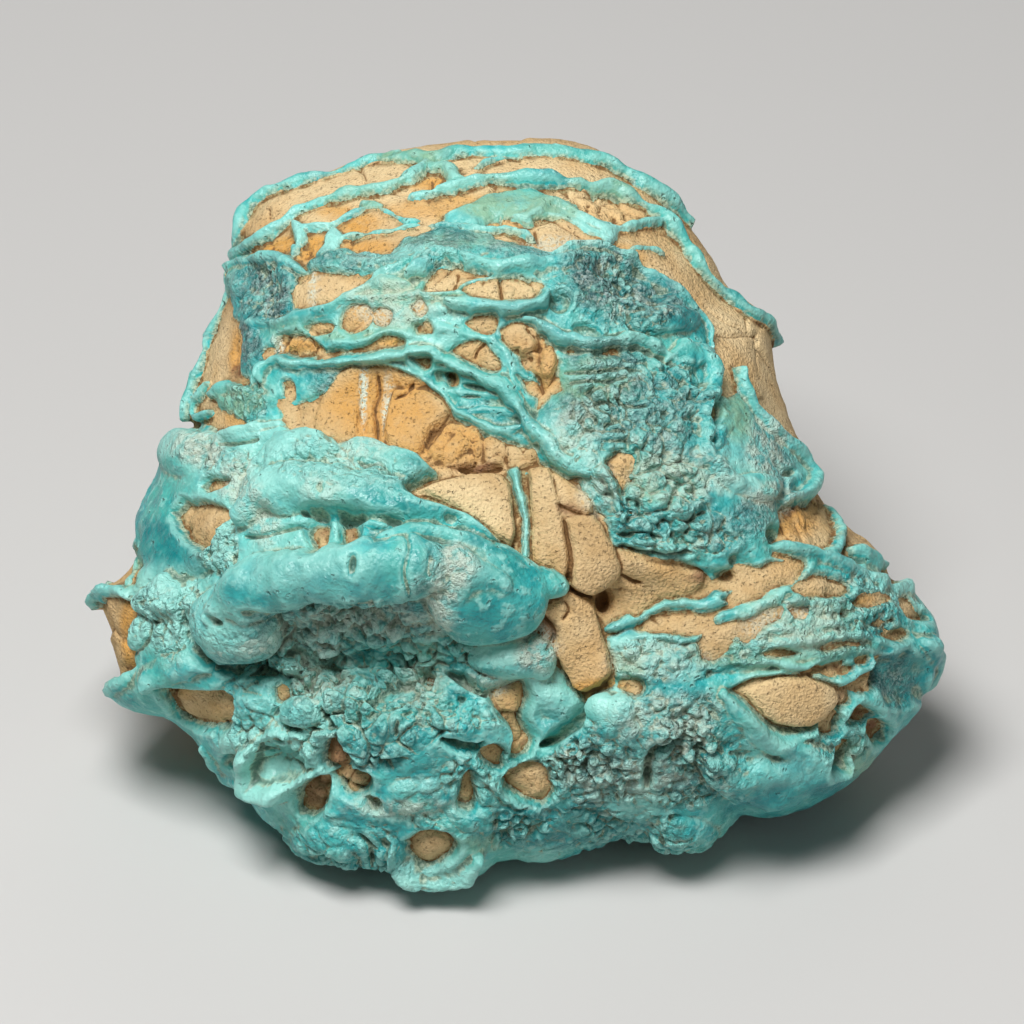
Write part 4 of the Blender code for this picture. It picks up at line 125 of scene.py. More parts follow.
# Veins and rolls of turquoise: width, height, base level, then points on the face. A share past
# the rim (a point outside the outline) carries on round the back.
VEINS = [
    # the cap
    (1.5, 1, 0, [(23.2, 25.4), (23.5, 23.2), (24, 21.4), (25.2, 20), (26.8, 19), (28.6, 18.4), (31, 17.8),
        (34, 17), (37, 16), (40, 15.3)]),
    (1.9, 0.9, 0, [(38, 15.9), (41, 15.6), (43.2, 15.9), (45.5, 15.1), (48, 15), (51, 15.1), (54, 15),
        (57, 15.4)]),
    (1.8, 1.1, 0, [(55.5, 15.1), (58.5, 15.6), (60.8, 16.2), (63.2, 17.3), (65.5, 18.7), (67.6, 20.4),
        (69.3, 22.3)]),
    (1.6, 1.1, 0, [(23, 25.8), (24.6, 24.7), (26.2, 23.7), (27.9, 22.6), (29.3, 21.3), (31.2, 20.5),
        (33.5, 19.7), (36, 19.1), (38.8, 18.7), (41.2, 17.6), (42.6, 16.4)]),
    (1.6, 0.8, 0, [(42, 15.4), (43, 16.6), (44.6, 16.7), (45.4, 17.9), (46.6, 18.2)]),
    (1.1, 0.7, 0, [(41, 20), (42.6, 19.6), (44.6, 19.1)]),
    (1.7, 1.2, 0, [(43.6, 19.3), (46, 18.8), (48.2, 18.1), (50.5, 18), (53, 18), (55.2, 18.1),
        (57.2, 18.5), (59.3, 18.7), (61.4, 18.8), (63.2, 19.8), (64.8, 20.7), (66.2, 21.5), (67.4, 22.9),
        (68.6, 24.3), (69.7, 25.8), (70.8, 27.4), (72.1, 28.9), (73.5, 30.1), (75, 31.2), (77.2, 32.6),
        (78, 34.4)]),
    (0.9, 0.6, 0, [(47.4, 16.9), (48.6, 16.1), (50.4, 15.6)]),
    (0.8, 0.5, 0, [(29.4, 22.9), (31.4, 22.7), (33.2, 22.4), (34.6, 21.6), (36.4, 20.8)]),
    (2.4, 0.6, 0, [(36.2, 20.4), (38, 20.6)]),
    (0.9, 0.6, 0, [(37.8, 20.8), (39.2, 21.6), (40.8, 22.4), (42.2, 22.4)]),
    (0.8, 0.6, 0, [(33.6, 24.1), (36, 23.6), (39, 23.3), (41.6, 22.8), (44.6, 22.8), (48, 23.2),
        (51.6, 23.2), (53.4, 24.2)]),
    (1.7, 0.7, 0, [(29.2, 22.4), (29.7, 23.6), (29.3, 25.6)]),
    (1.9, 0.6, 0, [(33.2, 22.9), (33.2, 24.4), (31.6, 25.5)]),
    (1, 0.6, 0, [(44.8, 21.6), (46.4, 21), (48, 20.6)]),
    (2.4, 0.6, 0, [(47.4, 21), (49.6, 20.6), (51.8, 20.6)]),
    (3, 0.6, 0, [(51.6, 20.9), (53.4, 20.6), (54.6, 20.2)]),
    (1.5, 0.7, 0, [(51.4, 22), (53, 22), (54.6, 20.6), (56.4, 20.6), (57.8, 21.6), (59.4, 22.5),
        (61, 23.2)]),
    (1.1, 0.6, 0, [(60.4, 23.4), (62.2, 22.9), (64.4, 22.4), (66.4, 22.2)]),
    (1.2, 0.6, 0, [(61, 23.2), (61.2, 24.4), (59.6, 25.2)]),
    (0.7, 0.4, 0, [(63.4, 24.9), (65.4, 24.9), (66.8, 25.6)]),
    # the crown band
    (1.3, 1, 0.4, [(22.6, 27.2), (24.4, 26.3), (26.8, 26.1), (29, 26.7), (30.2, 27.6)]),
    (2, 1.5, 0.2, [(40.9, 28.3), (42.2, 27.4), (43.2, 26.4), (45.2, 26.1), (47.6, 26.9), (50.2, 27.4),
        (53, 27.2), (55.8, 26.8), (58, 26.2)]),
    (1, 0.7, 0.4, [(55.4, 25.6), (58, 24.9), (61, 25.1), (63.6, 26), (65.8, 27.5), (67.6, 29.3),
        (69.4, 31.2), (71, 33.2), (71.2, 35.4)]),
    # the vein network of the middle
    (1.7, 1, 0, [(24.8, 32.8), (27.4, 32.6), (29.4, 32.3), (31.6, 31.6), (34, 30.6), (36, 29.4)]),
    (2, 1.1, 0, [(35.6, 29.6), (37.6, 28.9), (39.4, 28.8), (40.8, 29)]),
    (1.4, 0.9, 0, [(37.4, 27.9), (39.4, 27.4), (40.6, 26.6), (42, 25.8)]),
    (1.2, 0.9, 0, [(34.4, 31.2), (36.6, 30.3), (39.4, 30.2), (41.6, 30.1), (43.2, 30.4)]),
    (2.2, 0.9, 0, [(42.8, 31.4), (44.6, 31.4)]),
    (0.8, 0.6, 0, [(36.6, 30.6), (37.4, 31.8), (37.2, 33.4)]),
    (0.8, 0.6, 0, [(41, 30.4), (41.6, 32), (43, 33.4)]),
    (0.9, 0.7, 0, [(42.8, 29.9), (45, 29.6), (46.4, 30.2), (47.6, 30.8)]),
    (0.7, 0.5, 0, [(45.6, 29.4), (46.8, 28.7), (48.6, 28.2), (50.6, 28), (53.6, 28.2)]),
    (1.8, 1.7, 0.2, [(44.8, 30.8), (46.4, 31.2), (48.6, 31.4), (50.6, 31.5), (52.6, 31.2), (54.2, 30.6),
        (54.4, 29.6)]),
    (0.7, 0.6, 0, [(45.2, 33.1), (46.8, 32.6), (48.4, 32.1), (50.2, 32.4), (50, 34.2)]),
    (1, 0.8, 0, [(41.8, 34.3), (43.6, 33.4), (45.2, 33.5), (47, 34.2), (48, 35.2)]),
    (0.8, 0.7, 0, [(48.6, 32.4), (49.2, 34.4), (50.4, 35.6), (51.2, 37.4), (51.8, 39.4)]),
    (1, 0.8, 0, [(31.4, 34.2), (34, 34.8), (37, 34.5), (39.6, 33.9), (41.4, 34.2)]),
    (0.9, 0.8, 0, [(28.6, 33.4), (30.6, 33), (33, 33.4), (35.4, 33), (38, 32.6)]),
    (1.8, 1.7, 0, [(26.2, 38.4), (26.5, 37.1), (28, 36.3), (30.2, 36.7), (33, 36.6), (36, 36.4), (39, 36),
        (42, 35.8), (44.2, 36.4), (46.2, 37.3), (48.4, 38.2), (50.2, 39.2), (51.4, 40.6), (52.6, 42.4),
        (53.8, 43.6)]),
    (1, 0.9, 0, [(37, 36.8), (39.4, 37.3), (41.8, 38), (43.4, 39.2), (44.6, 40.6), (45.4, 41.6),
        (47, 41.7), (49, 41.4), (51.6, 42)]),
    (0.7, 0.7, 0, [(43.6, 38.8), (45.6, 39.7), (48, 39.9), (50.2, 40.4)]),
    (0.7, 0.6, 0, [(45.6, 41.2), (46.8, 40.4), (48.8, 40.4)]),
    (1.5, 1.2, 0, [(45.4, 42.2), (47.4, 42.6), (49.6, 43.4), (52, 43.2)]),
    (0.9, 0.7, 0, [(40.6, 36.6), (42, 37.6), (43.4, 37.2)]),
    (0.7, 0.35, 0, [(36.3, 37), (36.2, 38.6), (36.4, 40.4), (36.7, 42)]),
    (0.7, 0.35, 0, [(39.2, 38), (38.8, 39.4), (38.6, 40.6), (38.3, 41.9)]),
    (0.6, 0.5, 0, [(45.2, 42.4), (44.2, 43.1), (43.3, 44)]),
    # the strong vein beside the crumbling mass, and the lips round that mass
    (2.2, 1.9, 0.2, [(52, 41.4), (53.2, 43.2), (54.6, 44.6), (56, 46.2), (58, 47.3), (60.2, 47.6),
        (61.4, 48.8), (61.9, 50.6), (62.2, 52.4)]),
    (1.8, 1.5, 0.6, [(52.6, 32.6), (54.6, 33.6), (56.6, 34.6), (59, 35), (61.2, 34.8), (63.4, 34.6),
        (65.2, 35.4), (66.8, 36.3)]),
    (2.4, 1.6, 0.5, [(66.6, 36.4), (69, 36), (70.8, 37.2), (70.9, 39.4), (70.3, 41.4), (70.4, 43.6),
        (70.3, 45.8), (71.2, 47.6), (72.6, 48.8), (74.6, 49.6), (76.4, 50.4)]),
    (1.8, 1.5, 0.3, [(73.6, 37.6), (74.2, 39.4), (75.2, 41.2), (76.6, 43), (78.2, 44.6), (79.8, 46.2),
        (80.8, 47.8), (81, 49.2), (80, 50), (78.4, 50.4)]),
    # the left flank
    (1.1, 0.9, 0, [(22, 29), (21.2, 31), (20.4, 32.6), (20.2, 34.4), (19.8, 36.4), (19.2, 38.2)]),
    (1.4, 1.1, 0, [(19.3, 37.6), (18.7, 39.4), (18.3, 41.2), (18.2, 42.4)]),
    (1.2, 0.8, 0, [(20.4, 38.6), (19, 40.6), (19, 42), (20.8, 41.6)]),
    (1.8, 0.9, 0, [(20.8, 39.8), (22, 39.2), (24, 39.2), (26, 39.4)]),
    (1.5, 1.4, 0, [(20, 44.2), (22.2, 43.9), (24.4, 43.6), (26.4, 43.2), (28.4, 42.7)]),
    (1, 0.8, 0.6, [(20.8, 50), (22.2, 49.8), (23, 49.2)]),
    (1.1, 0.9, 0.4, [(8.9, 61.8), (9, 60.2), (10.2, 59.4), (11.8, 59.4), (13, 60.4)]),
    (1.3, 1, 0.4, [(10.4, 69.6), (11.6, 68.9), (13, 68.1), (14.2, 67.2)]),
    (0.8, 0.6, 0.2, [(12.6, 58.8), (13.6, 56.4), (13.6, 54.6)]),
    # the thin vein down the middle blocks
    (0.9, 0.9, 0.2, [(51.3, 46.6), (51.7, 48.6), (52.2, 50.4), (52.7, 52.4), (52.6, 54.6), (52.4, 56.6)]),
    (0.6, 0.4, 0.1, [(52.6, 47.6), (54.2, 49), (55.6, 50.4)]),
    # the right lobe
    (1, 0.7, 0.2, [(60.8, 63.2), (62.6, 62.2), (64.4, 61.6), (66.2, 60.8), (68, 60.6), (70, 60.8),
        (72.2, 60.2), (74, 59.6)]),
    (0.9, 0.6, 0, [(71.6, 62), (73.2, 61.4), (75.2, 60.8), (77, 60), (78.2, 59)]),
    (1.2, 0.8, 0, [(74.6, 61.2), (76.4, 60.4), (78, 59.6), (79.2, 58.4), (80.4, 57.2), (81.6, 56.2)]),
    (2, 1.3, 0, [(76.4, 54.4), (78.4, 54.9), (80.4, 55.4), (82.4, 55.9), (84.2, 56.7), (86, 57.5),
        (87.8, 58.3), (89.6, 58.9), (91.6, 59.4)]),
    (2.6, 1, 0, [(85.4, 55.2), (87.2, 55.9), (88.8, 56.8)]),
    (1.3, 0.8, 0, [(82.6, 55.8), (84, 55), (84.4, 53.4), (83.8, 51.6), (82.8, 50.6)]),
    (1, 0.8, 0, [(78.4, 60.2), (80.6, 60.4), (83, 60.3), (85.2, 60), (87.2, 59.4), (89.2, 58.8)]),
    (1.1, 0.7, 0, [(80.6, 62), (82.2, 61.2), (83.6, 61), (85, 61.9), (84, 62.7), (81.8, 62.8)]),
    (1.2, 0.9, 0, [(84.6, 62.2), (86.4, 61.6), (88, 61), (89.6, 61.2), (90.8, 62.2), (92.2, 63),
        (93.2, 64)]),
    (1.6, 0.8, 0.1, [(89.6, 59), (91.4, 59.6), (92.6, 61), (93.2, 62.8)]),
    (0.6, 0.5, 0, [(78.2, 59.4), (78.5, 60.8), (79.2, 62.6)]),
    (0.8, 0.7, 0, [(62, 64.6), (65, 63.9), (68.6, 64.2), (72, 63.2), (75, 62.2)]),
    (1.1, 0.8, 0, [(66, 65.6), (69.6, 65.2), (73, 64.8), (76, 64.6)]),
    (0.9, 0.7, 0, [(70, 67.2), (73, 66.6), (76.6, 65.8), (80, 65.8), (83.4, 65.4)]),
    (0.8, 0.6, 0, [(83.6, 60.2), (85.4, 61), (87.6, 60.6), (89.6, 60), (91.6, 60.8)]),
    (0.9, 0.7, 0, [(84.4, 63.4), (86, 62.8), (88.2, 62.6), (90.4, 63), (92.4, 63.8)]),
    (0.8, 0.6, 0, [(84.6, 58.6), (86.4, 58.8), (88, 59.4)]),
    (0.8, 0.6, 0, [(75.4, 56.6), (77.6, 56.4), (80.2, 56.2), (82.6, 56.4), (84.8, 57.2)]),
    (0.6, 0.5, 0, [(80.6, 62.4), (81.4, 63.6), (82.4, 64.8), (82, 66.4)]),
    (0.6, 0.5, 0, [(84.8, 59.8), (85, 61.6), (86.2, 63.4), (86.6, 65.4)]),
    (0.6, 0.5, 0, [(87.8, 59.6), (88, 61.2), (88.6, 62.8), (88.6, 64.4)]),
    (1.4, 1.1, 0, [(76.6, 64.8), (78.8, 64.6), (80.6, 64.4), (82.6, 64), (84.6, 63.8), (86.6, 63.9),
        (88.4, 64.6), (90.2, 65), (92.2, 65.2)]),
    (1.1, 0.8, 0, [(74.4, 64.4), (75.8, 63.4), (77.6, 63.2), (79.2, 63), (80.6, 62.6)]),
    (1.3, 0.9, 0, [(74, 66.6), (76.4, 66.4), (78.6, 66.8), (80.4, 66.9), (82.4, 66), (84, 65.3),
        (85.8, 65), (87.2, 65.4)]),
    (1.4, 1, 0.1, [(81.4, 67.9), (83.2, 68.5), (84.8, 68.2), (86, 67.3), (87.4, 66.4)]),
    (1.3, 0.9, 0.2, [(85.6, 69.8), (87.2, 70.5), (88.6, 71.6), (89.8, 72.6)]),
    (0.9, 0.6, 0.2, [(84.2, 71.4), (85.2, 70.4), (86.4, 70.2)]),
]

# Crusts of turquoise: level, edge softness, then the outline on the face.
CRUSTS = [
    # the crown band
    (0.9, 0.8, [(22.2, 29.6), (22.2, 27.6), (23.6, 26.1), (26.4, 26), (29, 26.8), (29.6, 28.4),
        (29, 30.6), (28.6, 32.2), (26.4, 33.4), (25.6, 35.8), (24.4, 36.2), (23.8, 33.4), (22.9, 31.4)]),
    (0.8, 0.8, [(30, 26.4), (32.2, 25.4), (35, 25.1), (38.2, 25.5), (40.4, 24), (42.4, 23.2), (45, 22.9),
        (48, 23.3), (51.6, 24.3), (54.6, 25.3), (57.6, 25.1), (61, 25), (64, 26), (66.6, 28.2),
        (68.8, 30.4), (71, 33), (71, 35.8), (67, 36.2), (65, 35.4), (62, 34.9), (58.4, 34.8), (55.4, 34),
        (54.6, 31.6), (54.8, 29), (53.4, 28), (48.4, 27.3), (45.2, 26.9), (42, 27.6), (39.8, 27.5),
        (36.4, 27.4), (33, 27.6), (30.6, 27.2)]),
    # the crumbling mass right of the middle
    (1.2, 1, [(55.6, 35.6), (58, 35.2), (64, 35.2), (67, 36.2), (71, 36.4), (71.6, 39), (73.8, 39.4),
        (75.6, 41.6), (78.2, 44.2), (80.6, 46.8), (81.4, 49.2), (79.6, 50.4), (77.8, 51.4), (78, 54),
        (76.4, 56.2), (74, 56.8), (71, 57.6), (67.6, 56.6), (64.6, 56.2), (61.4, 55.2), (60, 52.6),
        (58.8, 50), (57.6, 48.4), (54.6, 46.6), (52.6, 44), (52.6, 42), (54, 41), (56.4, 39.6),
        (56, 37.4)]),
    # the thin sheet the middle network stands on, and its thicker spreads
    (0.45, 0.4, [(24.4, 31), (29, 31.6), (31, 30.8), (34.4, 29.4), (37, 27.8), (39.6, 27.4), (41.2, 26.8),
        (42.4, 28.4), (44, 30), (47, 30.2), (54.4, 30), (54.6, 32), (52.4, 33.2), (50.2, 33), (49.8, 34),
        (51.4, 36), (53, 39), (53.4, 42.8), (50.4, 42.6), (46, 42.4), (43.6, 40), (41, 38.2), (38, 37),
        (34, 38.6), (31, 40.4), (28.6, 40.2), (24.6, 38.8), (23.8, 36.4)]),
    (0.4, 0.4, [(35.2, 29.6), (37.2, 28.4), (40.4, 27.9), (41, 29.4), (39, 30.3), (36.4, 30.4)]),
    (0.35, 0.4, [(39.8, 30.8), (43.6, 30.4), (45.4, 31.6), (44.4, 32.8), (41, 32.9)]),
    (0.4, 0.4, [(25, 32.6), (28.6, 32), (30.8, 32.3), (29.4, 33.8), (26, 34.6)]),
    (0.4, 0.4, [(38.4, 33.8), (42, 33.4), (43.2, 34.6), (43.6, 36.4), (40.6, 35.8)]),
    (0.5, 0.6, [(42.6, 38.4), (46.4, 38), (50, 39.4), (52.4, 42.6), (53.4, 44.6), (50.4, 44.2),
        (47.6, 43.4), (45.4, 42), (44.2, 40.2)]),
    (0.5, 0.5, [(26.2, 37.4), (30, 36.8), (34, 37.2), (33.8, 39), (31.2, 40.2), (28.6, 40.6),
        (26.4, 39.8)]),
    # the thin sheets of the right lobe and of the cap
    (0.45, 0.4, [(71.4, 62), (74, 60), (78, 58), (80.4, 56.4), (84.2, 55.6), (88.6, 57.4), (91.8, 60),
        (92.8, 63), (92.6, 66), (88, 66.6), (84, 67.4), (80, 67.2), (76, 67.4), (72, 67.4), (70, 66.4),
        (71.6, 64)]),
    (0.35, 0.4, [(44, 21.4), (47, 19.8), (50, 19.2), (55, 19.4), (58.6, 20.6), (61.4, 22.4), (62, 24),
        (59.6, 24.6), (56.4, 22.8), (53.4, 22), (50, 21.8), (46, 22.4)]),
    # the left side
    (0.7, 0.6, [(20.6, 39.2), (24.2, 38.8), (24.4, 37.2), (26.6, 38.2), (28, 40.8), (27.8, 43),
        (24, 42.4), (21.6, 41)]),
    (1.4, 1, [(16, 47.4), (17.2, 44.6), (19.6, 43.4), (24, 43.2), (28.4, 42.4), (28.8, 44), (25.8, 45.4),
        (24.6, 48), (23.6, 51), (23.6, 54), (21.4, 57.6), (17, 58.6), (12.8, 60.6), (8, 60.6),
        (10.2, 58.8), (13.6, 58.4), (13.4, 54), (14.4, 51)]),
    # the lower left, the brow and everything under it
    (1.6, 1.2, [(23.4, 53), (23.8, 49.6), (25.2, 46.4), (27.8, 44), (31, 43.4), (35, 44.4), (36.6, 43.6),
        (38.6, 45), (41.6, 45.8), (43.6, 47.4), (42.4, 49.6), (45, 50.8), (48.6, 52.8), (51.4, 55.2),
        (53.6, 56.8), (56.4, 58.2), (54.8, 59.4), (53.8, 62.4), (54, 64.8), (55.6, 66.8), (57.4, 69),
        (58.2, 70.6), (59.4, 69.6), (61.4, 68.8), (61, 66), (61, 64), (64, 63.8), (67.4, 64.4),
        (70.6, 65.6), (71.4, 67.6), (74.4, 67.6), (78, 67.2), (82, 68.2), (85.4, 69.4), (87.4, 68),
        (88.2, 65.6), (90.4, 63.4), (93, 60.4), (98, 60), (98, 78), (84, 90), (60, 94), (30, 94),
        (14, 80), (6, 70), (10.6, 68.6), (13.2, 67.6), (13.2, 60), (17, 58.2), (21.6, 57.2)]),
]

# Windows of host rock: lift of the rock, then the outline on the face.
WINDOWS = [
    # two blocks of the cap
    (0.3, [(53.4, 22.2), (55.2, 21.8), (57.2, 22.5), (58.8, 23.4), (60.2, 24.3), (56.6, 24.6),
        (54, 24.3)]),
    (0.3, [(57.8, 19.8), (59.8, 19.4), (62.4, 20.2), (63.4, 21.4), (61.6, 22.2), (59.2, 21.9),
        (57.8, 20.8)]),
    # the islands of the middle network
    (0.1, [(29.3, 27.6), (31, 27.2), (33.4, 27.4), (35.8, 27.8), (34.8, 29), (33.4, 30.4), (30.4, 31.2),
        (29.4, 30.4)]),
    (0.2, [(42.4, 29), (43.2, 28), (44.2, 27.2), (46, 27.2), (46.2, 28.4), (45.6, 29.4), (43, 29.6)]),
    (0.2, [(46.4, 27.4), (48.6, 27.6), (46.6, 28.6)]),
    (0.3, [(46.2, 29.4), (47.2, 28.8), (50, 28.2), (52, 28.2), (54, 28.8), (53.6, 30), (50.6, 30.4),
        (47.4, 30)]),
    (0.2, [(33.8, 33.3), (34, 31.8), (35.6, 30.9), (37.1, 31.3), (37.1, 32.9), (35.2, 33.9)]),
    (0.2, [(36.8, 31.6), (38, 31), (39.2, 31.8), (38.7, 33), (37.4, 33)]),
    (0.2, [(41, 31.2), (42, 30.4), (42.8, 31.4), (42, 32.2)]),
    (0.2, [(41.4, 33), (42.9, 32.6), (43.2, 33.9), (41.6, 34.1)]),
    (0.1, [(30.6, 33.2), (31.8, 32.6), (33.4, 33), (32.6, 34), (31, 34)]),
    (0.3, [(27.5, 34), (30.6, 33.9), (32.5, 35.2), (32, 36.3), (30.8, 36.3), (28.8, 35.9), (27.3, 35.7)]),
    (0.2, [(26.1, 35.1), (27.2, 35.1), (27, 36.3), (26.1, 36.2)]),
    (0, [(32.4, 35.2), (36, 35.2), (38.4, 34.3), (40.3, 34.3), (40.5, 35.1), (38.6, 35.5), (35.4, 35.9),
        (32.4, 36.3)]),
    (0.2, [(46.2, 32.8), (48, 32.1), (49.6, 32.5), (49.1, 33.9), (47.2, 33.5)]),
    (0.4, [(44.8, 35.8), (46.2, 34.7), (48, 34.6), (49.4, 35.6), (50, 37.4), (48.6, 37.6), (46.8, 36.8)]),
    (0, [(41.3, 36.5), (42.9, 36.4), (43.3, 37.5), (42.4, 37.9)]),
    (0.6, [(50.1, 33.6), (51.6, 32.8), (53.6, 33.6), (53.6, 35.6), (52.4, 36.4), (50.6, 35)]),
    (0.4, [(53.4, 35.8), (55, 35), (55.6, 36.6), (55, 38.2), (53.6, 37.8), (52.9, 37)]),
    (0.2, [(51.6, 37.9), (53.4, 38.5), (54.8, 39.4), (54.6, 40.5), (52.8, 39.9)]),
    (-0.4, [(44.3, 38.1), (45.5, 37.8), (45.9, 38.9), (44.8, 39.5)]),
    (0.1, [(28.3, 38.8), (29.3, 38.7), (29.5, 40.2), (28.3, 40.5)]),
    # the hollow under the middle network
    (0, [(33.9, 37.6), (36, 37.2), (39.4, 37.4), (41.4, 38.4), (43.2, 39.4), (44.6, 40.8), (45.6, 42.2),
        (47.2, 43), (49.4, 44.4), (52.2, 44.8), (53.6, 45.6), (52.6, 46.6), (50.6, 47.2), (46.4, 47.7),
        (43.6, 47.3), (42, 46.2), (39.8, 45.4), (37.2, 44.4), (34.8, 44.1), (31.8, 43.5), (30.6, 42),
        (31.2, 40.4), (33.6, 39.3)]),
    (0.9, [(41.2, 49.5), (43.2, 48.6), (46, 47.8), (49.2, 47.4), (50.6, 48.2), (51.2, 50.2), (51.6, 52.6),
        (51.4, 55.2), (49.2, 53.4), (47.2, 51.9), (44.6, 50.8), (42.4, 50.1)]),
    (0.6, [(31.2, 53.4), (32, 52.5), (33.2, 53), (33, 54.9), (31.9, 54.9)]),
    (0.5, [(34.6, 52.6), (36, 52.8), (36, 54.2), (34.8, 54.6)]),
    # the blocks down the middle
    (0.8, [(52.8, 47.2), (54.8, 47.2), (56.4, 48.4), (58.2, 49.7), (59.2, 51.2), (60.2, 53.6),
        (61.2, 55.4), (61.9, 56.6), (61.9, 58.1), (60.6, 58.7), (59.4, 59.8), (58.4, 60.1), (57.2, 59.2),
        (56.4, 58.2), (55, 57.1), (53.3, 56.6), (53.1, 53), (52.6, 50)]),
    (0.9, [(54.8, 59.7), (56.6, 59), (58.4, 60.1), (59.3, 60.6), (59.9, 62.8), (60.6, 65.4), (61.2, 67.7),
        (60.4, 68.4), (58, 69.6), (57, 68.6), (55.6, 66.5), (54.2, 65), (53.4, 63.2), (54.2, 61.6)]),
    (0.2, [(61.6, 55.4), (63.6, 56), (65.8, 56.9), (68.2, 57), (70.2, 57.6), (70.8, 58.6), (69.4, 59.5),
        (67.4, 60), (65.8, 60.1), (64.6, 61), (63.4, 61.8), (62.4, 60.6), (62, 58.6)]),
    (0.4, [(60.5, 46.6), (61.8, 45.6), (63.3, 46.1), (63.2, 47.6), (62.9, 48.8), (62.2, 49.8),
        (61.6, 48.4)]),
    (0.8, [(70.8, 42.2), (71.2, 41), (71.7, 41.4), (71.3, 42.7)]),
    # the left side
    (0.5, [(17.6, 51.8), (18.8, 50.8), (21.2, 50.7), (23.1, 51.8), (22.4, 53), (21.5, 54.6), (20.8, 55.1),
        (19.4, 54.5), (18.2, 53.2)]),
    (0, [(20.6, 49.2), (21.4, 48.5), (23.2, 48.2), (23, 48.9), (21.4, 49.6)]),
    (0.1, [(9.8, 60.4), (11.4, 60.1), (12.8, 60.9), (13.2, 63.2), (13, 66.4), (12.6, 67.4), (11.3, 68.3),
        (10.8, 66.4), (10.2, 63.6), (9.5, 61.8)]),
    (0.3, [(16.4, 69.1), (18, 69.1), (20.4, 69.3), (23.3, 69.9), (23.4, 71.4), (22.8, 72.8), (21, 73),
        (18.8, 72.2), (17.6, 71)]),
    # the lower left
    (0.7, [(32.6, 75.4), (33, 74.2), (33.7, 74), (34.9, 75.4), (35.1, 76.9), (33.2, 77)]),
    (0.9, [(33.4, 77.6), (35, 76.9), (36.9, 77.3), (37.3, 78.4), (36.7, 79.6), (34.8, 79.2)]),
    (0.3, [(30.2, 79), (32.6, 77.6), (33.1, 78.6), (32.6, 80.6), (31.6, 81.6), (30, 81)]),
    (0.2, [(36.8, 80), (37.8, 79.7), (38.2, 80.5), (37.4, 80.9)]),
    (0.3, [(27.6, 69), (28.4, 68.6), (29, 69.6), (28, 70.5)]),
    (0.5, [(40.7, 84.3), (42.2, 83.5), (44.3, 83.3), (45.5, 84.2), (45.2, 85.4), (44.4, 86.1),
        (43.1, 86.8), (41.8, 86.5), (40.9, 85.4)]),
    # the middle of the foot
    (0.4, [(48.8, 69.2), (50.6, 68.5), (52.2, 68.2), (52.6, 69.8), (52.6, 72), (53.2, 74), (52.6, 75.4),
        (51.2, 75.6), (51.4, 73.4), (50, 71.6)]),
    (0.3, [(48.2, 75.4), (49, 74.6), (50.2, 75.2), (50.2, 76.8), (49.2, 76.8)]),
    (0.6, [(46, 78.6), (47, 77.2), (47.5, 78.6), (47.2, 80.6), (46, 80.6)]),
    (0.6, [(50.2, 77.6), (51.6, 77), (53.2, 76.5), (54.6, 77.4), (55.2, 79), (54.2, 80.2), (52.6, 80),
        (50.8, 78.8)]),
    # the right lobe
    (0.1, [(63.2, 63.1), (65, 62.6), (68.4, 62.3), (70, 62.3), (69.4, 63.6), (68.2, 63.8), (66.8, 63.2),
        (64.6, 63.2)]),
    (0.2, [(69.6, 64.6), (70.4, 63), (72.6, 62.4), (74.4, 62.4), (73.6, 64.2), (71.6, 66.2),
        (70.2, 66.2)]),
    (0.2, [(61.8, 68.2), (63.6, 68.2), (64.2, 69), (63.4, 69.6), (61.6, 69)]),
    (0.3, [(72.2, 60.2), (73.6, 58.8), (75.4, 57.4), (77.4, 56.4), (79.8, 56.1), (80.6, 56.9),
        (79.4, 58.4), (77.6, 59), (75.4, 60.2), (73.4, 60.8)]),
    (0, [(78.2, 51.4), (80, 50.6), (82.4, 51), (83.8, 53), (83.2, 54.6), (81.2, 54.4), (79.2, 54.2),
        (78.2, 53)]),
    (0.4, [(78.9, 59), (80.2, 58.1), (82, 57.4), (84, 57.8), (85.1, 58.5), (85.1, 59.4), (83, 59.9),
        (80.2, 59.8)]),
    (0.1, [(73.8, 62.6), (75.4, 61.6), (78.1, 60.9), (78.2, 62.2), (76.4, 62.9), (74.6, 64.6),
        (73.6, 64.2)]),
    (0.1, [(78.6, 60.9), (81, 60.9), (80.2, 61.9), (79.2, 62)]),
    (0, [(84.2, 61.2), (84.9, 60.9), (84.9, 61.7), (84.4, 61.8)]),
    (0, [(85.4, 60.4), (86.6, 59.6), (88.6, 59.6), (89.4, 60.2), (87.6, 60.8), (86, 60.9)]),
    (0, [(86.4, 62.9), (88.2, 62.2), (89.6, 62), (89.2, 62.6), (87.4, 63.1)]),
    (-0.5, [(88.3, 63.3), (90.8, 63.2), (91, 63.9), (89.4, 64.3), (88.4, 64.1)]),
    (0.1, [(88.3, 57.9), (89.4, 57.1), (89.8, 58.3), (89, 58.7)]),
    (0.2, [(89.9, 60), (91, 60), (92, 61.2), (92.8, 62.3), (91, 61.9)]),
    (-0.1, [(75.2, 65.7), (77.4, 65.2), (79, 65.3), (80.4, 65.5), (79.4, 66), (76.4, 66)]),
    (-0.1, [(81.6, 65.2), (83.4, 64.6), (85.2, 64.5), (86.6, 64.9), (84.6, 64.9), (82.8, 65.4)]),
    (-0.4, [(81.6, 67.4), (82.8, 66.6), (84.4, 66.2), (84.5, 67), (83.6, 68), (82.4, 67.9)]),
    (-0.3, [(85.4, 66.1), (86.8, 66), (86.6, 66.6), (85.8, 66.8)]),
    (0.8, [(72.6, 69.2), (74.4, 68.4), (77.4, 67.9), (80.6, 67.9), (82.6, 68.6), (84.6, 69.4),
        (84.8, 70.6), (83.4, 71.2), (82.2, 72), (81.2, 73), (79, 73.4), (77, 73), (76.4, 72),
        (74.6, 70.6)]),
